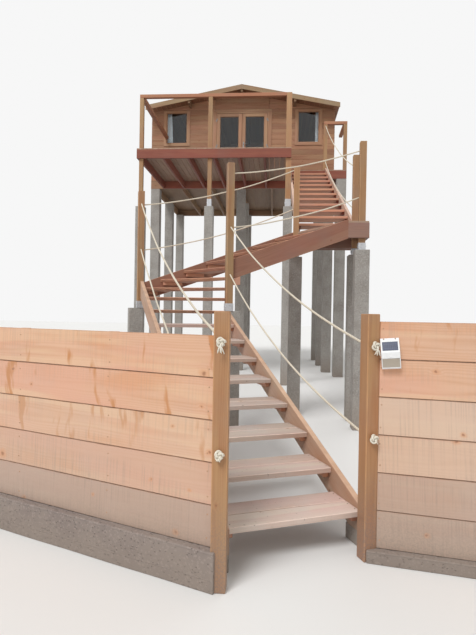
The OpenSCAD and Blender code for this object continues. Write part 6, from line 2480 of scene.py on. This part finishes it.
@dataclass
class Cabin:
    """The cabin's floor, clad walls, roof and barge boards."""

    joinery: Joinery
    course: float = 0.142
    course_gap: float = 0.0006
    joists: int = 5
    floor_count: int = 38
    barge_deep: float = 0.12753
    barge_thick: float = 0.028
    roof_board: float = 0.019
    roof_rows: int = 20
    roof_gap: float = 0.0004
    sheets: int = 4
    sheet: float = 0.002
    overlap: float = 0.050
    beam: tuple[float, float] = (0.060, 0.110)
    beam_off: float = 1.450

    @property
    def bench(self) -> Bench:
        """The workbench."""
        return self.joinery.bench

    @property
    def sides(self) -> tuple[float, float]:
        """Outer faces of the side walls."""
        return PLAN.cabin_x - PLAN.cabin_wide / 2, PLAN.cabin_x + PLAN.cabin_wide / 2

    def floor(self) -> None:
        """Make the joists, the rim and the floor boards."""
        joist, t = self.joinery.joist, PLAN.frame_thick
        (left, right), front, back = self.sides, PLAN.wall, PLAN.cabin_back
        boards = [joist(left, front, right, front + t), joist(left, back - t, right, back),
                  joist(left, front + t, left + t, back - t),
                  joist(right - t, front + t, right, back - t)]
        for i in range(1, self.joists + 1):
            x = left + i * PLAN.cabin_wide / (self.joists + 1)
            boards.append(joist(x - t / 2, front + t, x + t / 2, back - t))
        self.bench.piece("cabin_joist_boards", boards, Finish.ROOM, "deck_timber",
                         ["cabin_joists"])
        pitch = PLAN.cabin_wide / self.floor_count
        boards = [self.bench.between(
            (left + k * pitch, front, PLAN.frame_top),
            (left + (k + 1) * pitch - 0.001, back, PLAN.deck_z), Lay.Y_FLAT, bevel=0.002)
            for k in range(self.floor_count)]
        self.bench.piece("cabin_floor_boards", boards, Finish.ROOM, "deck_timber",
                         ["cabin_floor"])

    @staticmethod
    def saw_roof(board: Board, side: int) -> Board:
        """Saw a board to the left or the right slope of the roof, -1 or 1."""
        return board.saw((PLAN.cabin_x, PLAN.wall, PLAN.roof_z(PLAN.cabin_x)),
                         Vector((side * PLAN.roof_slope, 0.0, 1.0)).normalized())

    def cladding(self, low: Sequence[float], high: Sequence[float], lay: Lay,
                 wave: float = 0.0) -> Board:
        """Cut a course of cladding that lies in a box, with a shadow gap above and below."""
        gap = Z_WAY * self.course_gap
        return self.bench.between(Vector(low) + gap, Vector(high) - gap, lay, bevel=0.009,
                                  cuts=6, wave=wave, segments=2)

    def courses(self, x0: float, x1: float, y: float, low: float, out: float) -> list[Board]:
        """Clad a span of a gable wall with boards that lie edge to edge.

        Args:
            x0: Left end of the span.
            x1: Right end.
            y: The wall's outer face.
            low: Underside of the span.
            out: Direction of the outer face along y, 1 or -1.

        Returns:
            The boards, sawn to the roof's slopes.
        """
        top, z = PLAN.roof_z(min(max(PLAN.cabin_x, x0), x1)), low
        upper = self.course + PLAN.deck_z + math.floor(
            (low - PLAN.deck_z) / self.course + 1e-6) * self.course
        y0, y1 = sorted((y, y - out * PLAN.wall_thick))
        boards: list[Board] = []
        while z < top - 0.012:
            high = min(upper, top)
            board = self.cladding((x0, y0, z), (x1, y1, high), Lay.X_EDGE, 0.0003)
            for side, end in ((-1, x0), (1, x1)):
                if high > PLAN.roof_z(end):
                    self.saw_roof(board, side)
            board.keep(5, boards)
            z, upper = high, high + self.course
        return boards

    def walls(self) -> None:
        """Clad the five walls."""
        (left, right), wall, t = self.sides, PLAN.wall, PLAN.wall_thick
        door, sash = PLAN.door_wide / 2 + PLAN.gap, PLAN.window_wide / 2 + PLAN.sash
        low, high = PLAN.window_z
        for name, x0, x1, window in zip(
                ("left", "right"), (left, PLAN.cabin_x + door), (PLAN.cabin_x - door, right),
                PLAN.windows):
            boards = self.courses(x0, x1, wall, PLAN.deck_z, -1)
            for board in boards:
                board.notch((window - sash, wall - 0.1, low - PLAN.sash),
                            (window + sash, wall + 0.1, high + PLAN.sash))
            self.bench.piece(f"front_cladding_{name}", boards, Finish.CLADDING, "cladding",
                             [f"front_wall_{name}"])
        boards = self.courses(PLAN.cabin_x - door, PLAN.cabin_x + door, wall,
                              PLAN.deck_z + PLAN.door_high + PLAN.gap, -1)
        self.bench.piece("front_cladding_over_door", boards, Finish.CLADDING, "cladding",
                         ["front_wall_over_door"])
        boards = self.courses(left, right, PLAN.cabin_back, PLAN.deck_z, 1)
        self.bench.piece("back_cladding", boards, Finish.CLADDING, "cladding", ["back_wall"])
        for name, side, x0, x1 in (("left", -1, left, left + t), ("right", 1, right - t, right)):
            boards = []
            z, top = PLAN.deck_z, max(PLAN.roof_z(x0), PLAN.roof_z(x1))
            while z < top - 0.004:
                board = self.cladding((x0, wall + t, z), (
                    x1, PLAN.cabin_back - t, min(z + self.course, top)), Lay.Y_EDGE)
                boards.append(self.saw_roof(board, side))
                z += self.course
            self.bench.piece(f"{name}_cladding", boards, Finish.CLADDING, "cladding",
                             [f"{name}_wall"])

    @staticmethod
    def layer(a: float, b: float, low: float, high: float, bevel: float, cuts: int = 0) -> Thing:
        """Model a layer of the roof from gable to gable.

        Args:
            a: Its edge nearer the ridge.
            b: Its other edge.
            low: Its underside over the roof's.
            high: Its top over the roof's underside.
            bevel: Width of the arrises.
            cuts: Number of rings along it.

        Returns:
            The solid.
        """
        (front, back), near, far = PLAN.gables, PLAN.roof_z(a), PLAN.roof_z(b)
        return extruded([(a, front, near + low), (b, front, far + low), (b, front, far + high),
                         (a, front, near + high)], Y_WAY * (back - front), bevel, 2, cuts)

    def roof(self) -> None:
        """Make the roof boards and the felted roof halves, with the sheets' laps."""
        front, back = PLAN.gables
        ridge, deep, thick = PLAN.cabin_x, PLAN.roof_thick - 0.004, self.roof_board
        for name, side in (("left", -1), ("right", 1)):
            eave = ridge + side * (PLAN.cabin_wide / 2 + PLAN.eave_over)
            boards = []
            for k in range(self.roof_rows):
                a = ridge + (eave - ridge) * k / self.roof_rows + side * self.roof_gap
                b = ridge + (eave - ridge) * (k + 1) / self.roof_rows - side * self.roof_gap
                middle = Vector(((a + b) / 2, (front + back) / 2,
                                 PLAN.roof_z((a + b) / 2) + thick / 2))
                down = Vector((b - a, 0, PLAN.roof_z(b) - PLAN.roof_z(a)))
                boards.append(self.bench.laid((back - front, down.length, thick), middle, Y_WAY,
                                              down.normalized()))
            self.bench.piece(f"roof_boards_{name}", boards, Finish.CLADDING, "cladding")
            parts = [self.layer(ridge, eave, thick + 0.001, deep, 0.002)]
            run = (eave - ridge) / self.sheets
            for k in range(self.sheets):
                a = ridge + run * k - (side * self.overlap if k else 0.0)
                lift, lower = (self.sheet, 0.0002) if k % 2 else (0.0, 0.0)
                parts.append(self.layer(a, ridge + run * (k + 1), deep + lower,
                                        deep + self.sheet + lift, 0.0008, 30))
            self.bench.piece(f"felt_{name}", parts, Finish.FELT, "roof_felt", [f"roof_{name}"])

    def beams(self) -> None:
        """Make the ridge beam and the side beams."""
        wide, deep = self.beam
        (front, back), t, beams = PLAN.gables, PLAN.wall_thick, []
        for off in (-self.beam_off, 0.0, self.beam_off):
            x = PLAN.cabin_x + off
            low = min(PLAN.roof_z(x - wide / 2), PLAN.roof_z(x + wide / 2)) - deep
            for y0, y1 in ((front, PLAN.wall), (PLAN.wall + t, PLAN.cabin_back - t),
                           (PLAN.cabin_back, back)):
                board = self.bench.between((x - wide / 2, y0, low),
                                           (x + wide / 2, y1, PLAN.roof_z(x) + 0.02),
                                           Lay.Y_EDGE)
                for side in (-1, 1):
                    if side * off >= 0.0:
                        self.saw_roof(board, side)
                beams.append(board)
        self.bench.piece("roof_beam_timbers", beams, Finish.ROOM, "cladding", ["roof_beams"])

    def barges(self) -> None:
        """Make the barge boards: two sawn boards meet under the ridge on each gable."""
        (front, back), x, boards = PLAN.gables, PLAN.cabin_x, []
        over = PLAN.cabin_wide / 2 + PLAN.eave_over
        for y in (front - self.barge_thick, back):
            for side in (-1, 1):
                ahead = X_WAY * side
                board = self.joinery.raker(
                    Vector((x, y, PLAN.roof_z(x) + PLAN.roof_thick)), ahead, -PLAN.roof_slope,
                    over, self.barge_deep, self.barge_thick, Y_WAY)
                board.saw((x + side * 0.0008, y, 8.0), -ahead)
                boards.append(board.saw((x + side * over, y, 8.0), ahead))
        self.bench.piece("barge_board_timbers", boards, Finish.BARGE, "weathered_board",
                         ["barge_boards"])

    def build(self) -> None:
        """Make the cabin's shell."""
        self.floor()
        self.walls()
        self.roof()
        self.beams()
        self.barges()


@dataclass
class Openings:
    """Windows, trims, the glazed double door, and the curtains on their rods."""

    joinery: Joinery
    glass: float = 0.008
    pane_arris: float = 0.0008
    bead: tuple[float, float] = (0.010, 0.010)
    leaf_bead: tuple[float, float] = (0.011, 0.009)
    nail_in: float = 0.035
    under_roof: float = 0.028
    stile: float = 0.085
    bottom_rail: float = 0.160
    leaf_thick: float = 0.044
    frame_out: float = 0.020
    handle_high: float = 0.96
    hinge_r: float = 0.008
    hinge_high: float = 0.040
    hinge_play: float = 0.0003
    plate: tuple[float, float] = (0.030, 0.003)
    rod_r: float = 0.008
    rod_off: float = 0.060
    rod_up: float = 0.025
    rod_over: float = 0.040
    curtain_high: float = 1.000
    cloth: float = 0.0012
    fold: float = 0.032
    fold_columns: int = 16
    curtain_rows: int = 56
    left_curtain: tuple[float, float] = (0.150, 0.040)
    right_curtain: tuple[float, float] = (0.120, 0.006)

    @property
    def bench(self) -> Bench:
        """The workbench."""
        return self.joinery.bench

    @property
    def leaf_face(self) -> float:
        """Front face of the leaves."""
        return PLAN.wall - self.frame_out

    @property
    def rod(self) -> tuple[float, float]:
        """Place along y and height of the rods' middles."""
        return (PLAN.wall + PLAN.wall_thick + self.rod_off,
                PLAN.window_z[1] + PLAN.sash + self.rod_up)

    def ring(self, x0: float, x1: float, z0: float, z1: float, wide: float, y0: float, y1: float,
             bevel: float = 0.003) -> list[Board]:
        """Make a frame in the wall's plane of two uprights and two rails between them.

        Args:
            x0: Left edge.
            x1: Right edge.
            z0: Lower edge.
            z1: Upper edge.
            wide: Width of its boards.
            y0: Front face.
            y1: Back face.
            bevel: Width of the arrises.

        Returns:
            The boards.
        """
        between, left, right = self.bench.between, x0 + wide, x1 - wide
        return [between((x0, y0, z0), (left, y1, z1), Lay.Z_X, bevel=bevel),
                between((right, y0, z0), (x1, y1, z1), Lay.Z_X, bevel=bevel),
                between((left, y0, z0), (right, y1, z0 + wide), Lay.X_EDGE, bevel=bevel),
                between((left, y0, z1 - wide), (right, y1, z1), Lay.X_EDGE, bevel=bevel)]

    def window_parts(self) -> None:
        """Make the window frames with glazing beads, and the trims round them."""
        wall, t, sash, trim = PLAN.wall, PLAN.wall_thick, PLAN.sash, PLAN.trim
        (low, high), front = PLAN.window_z, wall - PLAN.trim_thick
        half, lap = PLAN.window_wide / 2 + sash, sash / 2
        out = half + trim - lap
        base, roof = low - sash - trim + lap, PLAN.roof_z(PLAN.windows[0] - half - trim)
        top = min(high + sash + trim - lap, roof - self.under_roof)
        glass, (bead, bead_thick) = wall + (t - self.glass) / 2, self.bead
        frames, trims = [], []
        for x in PLAN.windows:
            frames += self.ring(x - half, x + half, low - sash, high + sash, sash, wall, wall + t)
            frames += self.ring(x - half + sash, x + half - sash, low, high, bead,
                                glass - bead_thick, glass, 0.002)
            trims += self.ring(x - out, x + out, base, top, trim, front, wall)
            for across in (-1, 1):
                for z in (base + self.nail_in, (base + top) / 2, top - self.nail_in):
                    at = Matrix.Translation((x + across * (out - self.nail_in),
                                             front - 0.0001, z))
                    self.joinery.screws.append(self.bench.fixing(
                        screw_head, at @ Matrix.Rotation(math.pi / 2, 4, "X")))
        door, head = PLAN.door_wide / 2 + PLAN.gap, PLAN.deck_z + PLAN.door_high + PLAN.gap
        between, reach = self.bench.between, door + trim
        for x0, x1 in ((-reach, -door), (door, reach)):
            trims.append(between((PLAN.cabin_x + x0, front, PLAN.deck_z),
                                 (PLAN.cabin_x + x1, wall, head), Lay.Z_X))
        trims.append(between((PLAN.cabin_x - reach, front, head),
                             (PLAN.cabin_x + reach, wall, head + trim), Lay.X_EDGE))
        self.bench.piece("window_joinery", frames, Finish.TRIM, "trim_timber", ["window_frames"])
        self.bench.piece("opening_trims", trims, Finish.TRIM, "trim_timber", ["wall_trims"])

    def pane(self, x0: float, x1: float, z0: float, z1: float, y: float) -> Board:
        """Cut a pane between two edges and two heights, with its front face at y."""
        return self.bench.between((x0, y, z0), (x1, y + self.glass, z1), Lay.Z_X,
                                  bevel=self.pane_arris)

    def panes(self) -> None:
        """Make the panes of the windows."""
        y, half = PLAN.wall + (PLAN.wall_thick - self.glass) / 2, PLAN.window_wide / 2
        panes = [self.pane(x - half, x + half, *PLAN.window_z, y) for x in PLAN.windows]
        self.bench.piece("window_panes", panes, Finish.GLASS, "pane", ["window_glass"])

    def hinges(self, x: float, side: int, low: float) -> list[Thing]:
        """Make one half of each hinge of a leaf: a barrel on a screwed plate.

        Args:
            x: Place of the hinges' axis.
            side: Side that the plates reach to.
            low: Underside of the halves, from where the hinges' halves meet.

        Returns:
            The parts.
        """
        base = PLAN.deck_z + PLAN.door_frame + PLAN.leaf_gap
        leaf = PLAN.door_high - 2 * PLAN.door_frame - 2 * PLAN.leaf_gap
        face, (long, thick), parts = self.leaf_face, self.plate, []
        x0, x1 = sorted((x, x + side * long))
        for share in (0.1, 0.5, 0.9):
            z0 = base + leaf * share + low
            z1 = z0 + self.hinge_high
            barrel = cylinder(self.hinge_r, z1 - z0, at=(x, face - self.hinge_r, (z0 + z1) / 2))
            round_off(barrel, 0.0008)
            parts += [barrel, self.bench.between((x0, face - thick, z0), (x1, face, z1),
                                                 Lay.X_EDGE, bevel=0.0006).done()]
            for z in (z0 + 0.010, z1 - 0.010):
                at = Matrix.Translation((x + side * (long - 0.008), face - thick - 0.0002, z))
                parts.append(self.bench.fixing(
                    screw_head, at @ Matrix.Rotation(math.pi / 2, 4, "X")))
        return parts

    def door(self) -> None:
        """Make the door's frame and its two glazed leaves with handles and hinges."""
        edge, inset = PLAN.door_wide / 2, PLAN.door_frame + PLAN.leaf_gap
        middle, axis = PLAN.cabin_x, PLAN.door_wide / 2 - PLAN.door_frame - PLAN.leaf_gap / 2
        frame = self.ring(middle - edge, middle + edge, PLAN.deck_z,
                          PLAN.deck_z + PLAN.door_high, PLAN.door_frame, self.leaf_face,
                          PLAN.wall + PLAN.wall_thick)
        self.bench.piece("door_jambs", frame, Finish.TRIM, "trim_timber", ["door_frame"])
        halves = [part for side in (-1, 1)
                  for part in self.hinges(middle + side * axis, side, -self.hinge_high)]
        self.bench.piece("frame_hinges", halves, Finish.HINGE, "shoe_steel")
        wide = (PLAN.door_wide - 2 * inset - PLAN.meeting) / 2
        self.leaf("left", -1, middle - edge + inset, wide, middle - axis)
        self.leaf("right", 1, middle + edge - inset - wide, wide, middle + axis)

    def leaf(self, name: str, side: int, x0: float, wide: float, axis: float) -> None:
        """Make one leaf, its pane, its hinges and its handle.

        Args:
            name: Side of the doorway, as a word.
            side: The same as a sign.
            x0: Left edge of the leaf.
            wide: Its width.
            axis: Place of its hinges' axis.
        """
        y0, y1 = self.leaf_face, self.leaf_face + self.leaf_thick
        z0 = PLAN.deck_z + PLAN.door_frame + PLAN.leaf_gap
        z1 = PLAN.deck_z + PLAN.door_high - PLAN.door_frame - PLAN.leaf_gap
        x1, left, right = x0 + wide, x0 + self.stile, x0 + wide - self.stile
        low, high = z0 + self.bottom_rail, z1 - self.stile
        between, body = self.bench.between, f"door_leaf_{name}"
        timbers = [between((x0, y0, z0), (left, y1, z1), Lay.Z_X),
                   between((right, y0, z0), (x1, y1, z1), Lay.Z_X),
                   between((left, y0, z0), (right, y1, low), Lay.X_EDGE),
                   between((left, y0, high), (right, y1, z1), Lay.X_EDGE)]
        glass, (bead, bead_thick) = y0 + (self.leaf_thick - self.glass) / 2, self.leaf_bead
        for y in (glass - bead_thick, glass + self.glass):
            timbers += self.ring(left, right, low, high, bead, y, y + bead_thick, 0.002)
        self.bench.piece(f"leaf_{name}_timbers", timbers, Finish.TRIM, "trim_timber", [body],
                         body)
        self.bench.piece(f"leaf_{name}_pane", [self.pane(left, right, low, high, glass)],
                         Finish.GLASS, "pane", [f"door_glass_{name}"], body)
        self.bench.piece(f"leaf_{name}_hinges", self.hinges(axis, -side, self.hinge_play),
                         Finish.HINGE, "shoe_steel", (), body)
        if side > 0:
            self.handle(x0 + self.stile / 2, y0, z0 + self.handle_high, body)

    def handle(self, x: float, y: float, z: float, body: str) -> None:
        """Fit a lever on a plate to the leaf that opens first.

        Args:
            x: Middle of the plate.
            y: Face of the leaf.
            z: Height of the lever.
            body: The body that it rides on.
        """
        out = (math.pi / 2, 0, 0)
        plate = self.bench.between((x - 0.018, y - 0.004, z - 0.100), (x + 0.018, y, z + 0.060),
                                   Lay.Z_X, bevel=0.0012).done()
        neck = cylinder(0.008, 0.034, at=(x, y - 0.020, z), turn=out)
        lever = cylinder(0.007, 0.105, at=(x + 0.046, y - 0.034, z), turn=(0, math.pi / 2, 0))
        for vertex in lever.data.vertices:
            vertex.co.y += 0.006 * max(0.0, (vertex.co.x - x) / 0.1) ** 2
        for part in (neck, lever):
            round_off(part, 0.002, 3)
        lock = cylinder(0.006, 0.0024, 16, (x, y - 0.0048, z - 0.062), out)
        self.bench.piece("door_handle", [plate, neck, lever, lock], Finish.HINGE, "shoe_steel",
                         (), body)

    def rods(self) -> None:
        """Make the curtain rods with rounded ends, on brackets."""
        (y, z), r, parts = self.rod, self.rod_r, []
        reach = PLAN.window_wide / 2 + PLAN.sash + self.rod_over
        for x in PLAN.windows:
            rod = cylinder(r, 2 * reach, at=(x, y, z), turn=(0, math.pi / 2, 0))
            round_off(rod, 0.003, 3)
            parts.append(rod)
            for at in (x - reach + 2 * r, x + reach - 2 * r):
                parts.append(self.bench.between(
                    (at - r, PLAN.wall + PLAN.wall_thick, z - r), (at + r, y, z + r),
                    Lay.Y_FLAT, bevel=0.0015).done())
        self.bench.piece("curtain_rod_set", parts, Finish.ROD, "rod_steel", ["curtain_rods"])

    def folds(self, down: float, columns: int, span: float, chance: Sequence[float]
              ) -> list[Vector]:
        """Return the points along a curtain's folds at a share of its drop.

        Args:
            down: The share, from 0 at the rod to 1 at the foot.
            columns: Number of points after the first one.
            span: Width of the cloth there.
            chance: A random number from -1 to 1 for each fold, and two more.

        Returns:
            The points, from the cloth's left end.
        """
        count, (y, z) = len(chance) - 2, self.rod
        z -= self.rod_r + self.hinge_play + down * self.curtain_high
        points = []
        for column in range(columns + 1):
            share = column / columns
            turn, k = share * count * math.tau, min(int(share * count), count)
            deep = 0.0095 * (0.75 + 0.25 * chance[k]) * (0.55 + 0.45 * down) if down else 0.0078
            sway = 0.0035 * math.sin(down * 3.0 + chance[k + 1] * 2.0) * down
            points.append(Vector((share * span + 0.004 * math.sin(2 * turn) + sway,
                                  y + deep * math.sin(turn), z + 0.0025 * math.cos(turn) * down)))
        return points

    def curtain(self, name: str, x0: float, x1: float, outer: int, flare: float) -> None:
        """Gather a curtain on its rod: even folds that hang from the rod's underside.

        Args:
            name: Which window.
            x0: Left edge at the top.
            x1: Right edge at the top.
            outer: Side that stays plumb, 1 or -1.
            flare: How much wider it hangs at its foot than at its top.
        """
        count, rows = max(3, round((x1 - x0) / self.fold)), self.curtain_rows
        columns = count * self.fold_columns
        chance = [self.bench.random.uniform(-1, 1) for _ in range(count + 2)]
        shape = bmesh.new()
        layer = shape.verts.layers.float_vector.new("grain")
        front: list[list[bmesh.types.BMVert]] = []
        back: list[list[bmesh.types.BMVert]] = []
        for row in range(rows + 1):
            down = row / rows
            span = x1 - x0 + flare * down ** 0.8
            start = X_WAY * (x0 if outer < 0 else x1 - span)
            line = [start + point for point in self.folds(down, columns, span, chance)]
            walked = [0.0]
            for a, b in zip(line, line[1:]):
                walked.append(walked[-1] + (b - a).length)
            normals = []
            for a, b in zip([line[0], *line], [*line[1:], line[-1]]):
                ahead = (b - a).normalized()
                normals.append(Vector((-ahead.y, ahead.x, 0.0)).normalized())
            for face, (rings, offset) in enumerate(((front, -self.cloth / 2),
                                                    (back, self.cloth / 2))):
                rings.append([shape.verts.new(point + normal * offset)
                              for point, normal in zip(line, normals)])
                for vertex, length in zip(rings[-1], walked):
                    vertex[layer] = (length, down * self.curtain_high, float(face))
        face = shape.faces.new
        for f, g, b, c in zip(front, front[1:], back, back[1:]):
            for k in range(columns):
                face((f[k], g[k], g[k + 1], f[k + 1]))
                face((b[k], b[k + 1], c[k + 1], c[k]))
            for k in (0, columns):
                face((f[k], b[k], c[k], g[k]))
        for f, b in ((front[0], back[0]), (front[-1], back[-1])):
            for k in range(columns):
                face((f[k], f[k + 1], b[k + 1], b[k]))
        for each in shape.faces:
            each.smooth = True
        area = sum(each.calc_area() for each in shape.faces) / 2
        drawn = self.bench.piece(f"drawn_{name}", [meshed(name, shape)], Finish.CURTAIN,
                                 "curtain_cloth", [name])

    def build(self) -> None:
        """Make the openings' parts."""
        self.window_parts()
        self.panes()
        self.door()
        self.rods()
        half = PLAN.window_wide / 2 + PLAN.sash
        left, right = PLAN.windows[0] - half, PLAN.windows[1] + half
        (width, flare), (narrow, lean) = self.left_curtain, self.right_curtain
        self.curtain("curtain_left", left, left + width, -1, flare)
        self.curtain("curtain_right", right - narrow, right, 1, lean)


def wired(tree: bpy.types.NodeTree, kind: str, *feeds: bpy.types.NodeSocket) -> bpy.types.Node:
    """Add a node and link its first inputs to other nodes' outputs."""
    node = tree.nodes.new(kind)
    for socket, feed in zip(node.inputs, feeds):
        tree.links.new(feed, socket)
    return node


@dataclass
class Studio:
    """The pale floor, the white surroundings, the soft sun and the camera.

    Attributes:
        reach: Half the floor's width.
        daylight: Colour of the light from all round.
        strength: Its strength.
        paper: Colour that shows where nothing stands.
        suns: Name, strength, size, heading and height in degrees of each sun.
        eye: Place of the camera.
        pan: The camera's heading, tilt and roll, in degrees.
        lens: Its focal length in mm, on a sensor that is 36 mm high.
    """

    reach: float = 60.0
    daylight: RGB = (1.0, 0.99, 0.97)
    strength: float = 0.52
    paper: RGB = (0.93, 0.93, 0.93)
    suns: tuple[tuple[str, float, float, float, float], ...] = (
        ("sun", 1.95, 24.0, -28.0, 52.0), ("fill", 0.4, 60.0, 150.0, 40.0))
    eye: tuple[float, float, float] = (0.290, -2.750, 1.587)
    pan: tuple[float, float, float] = (4.2, 89.55, 0.95)
    lens: float = 27.38

    def background(self) -> None:
        """Light the scene evenly, and show white where nothing stands."""
        world = bpy.data.worlds.new("surroundings")
        bpy.context.scene.world = world
        world.use_nodes = True
        tree = world.node_tree
        tree.nodes.clear()
        rays = wired(tree, "ShaderNodeLightPath").outputs
        seen = wired(tree, "ShaderNodeMath", rays["Is Camera Ray"], rays["Is Glossy Ray"])
        also = wired(tree, "ShaderNodeMath", seen.outputs[0], rays["Is Transmission Ray"])
        seen.operation = also.operation = "MAXIMUM"
        light, shown = wired(tree, "ShaderNodeBackground"), wired(tree, "ShaderNodeBackground")
        light.inputs["Color"].default_value = (*self.daylight, 1.0)
        light.inputs["Strength"].default_value = self.strength
        shown.inputs["Color"].default_value = (*self.paper, 1.0)
        mixed = wired(tree, "ShaderNodeMixShader", also.outputs[0], light.outputs[0],
                      shown.outputs[0])
        wired(tree, "ShaderNodeOutputWorld", mixed.outputs[0])

    def floor(self) -> None:
        """Lay the pale floor under the piers."""
        select_only()
        bpy.ops.mesh.primitive_plane_add(size=2 * self.reach, location=(0, 6.0, 0))
        floor = bpy.context.object
        floor.name = "pale_floor"
        shader = Shader("pale_floor")
        shader.set(Base_Color=(0.80, 0.80, 0.79), Roughness=0.85)
        floor.data.materials.append(shader.material)

    def lamps(self) -> None:
        """Hang a broad sun from the front left and a weak one from behind."""
        for name, strength, angle, heading, height in self.suns:
            data = bpy.data.lights.new(name, "SUN")
            data.energy, data.angle = strength, math.radians(angle)
            lamp = bpy.data.objects.new(name, data)
            lamp.rotation_euler = (math.radians(90.0 - height), 0.0, math.radians(heading))
            bpy.context.scene.collection.objects.link(lamp)

    def camera(self) -> None:
        """Stand the camera where the photographer stood."""
        data = bpy.data.cameras.new("camera")
        data.sensor_fit = "VERTICAL"
        data.sensor_width = data.sensor_height = 36.0
        data.lens, data.clip_end = self.lens, 500.0
        camera = bpy.data.objects.new("camera", data)
        heading, tilt, roll = (Matrix.Rotation(math.radians(angle), 4, axis)
                               for angle, axis in zip(self.pan, "ZXZ"))
        camera.matrix_world = Matrix.Translation(self.eye) @ heading @ tilt @ roll
        bpy.context.scene.collection.objects.link(camera)
        bpy.context.scene.camera = camera

    def build(self) -> None:
        """Set the stage."""
        bpy.context.scene.view_settings.view_transform = "Standard"
        self.camera()
        self.background()
        self.floor()
        self.lamps()


def main() -> None:
    """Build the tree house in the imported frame."""
    logging.basicConfig(level=logging.INFO, format="%(message)s")
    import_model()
    Studio().build()
    bench = Bench()
    Ropes(bench).build()
    fences = Fences(bench)
    fences.build()
    SolarLamp(bench).build(fences)
    joinery = Joinery(bench)
    for part in (LowerFlight, Turn, MiddleFlight, Landing, UpperFlight):
        part(joinery).build()
    Footings(bench).build()
    for part in (Deck, Cabin, Openings):
        part(joinery).build()
    bench.piece("stair_screws", joinery.screws, Finish.SCREW, "shoe_steel")


if __name__ == "__main__":
    main()
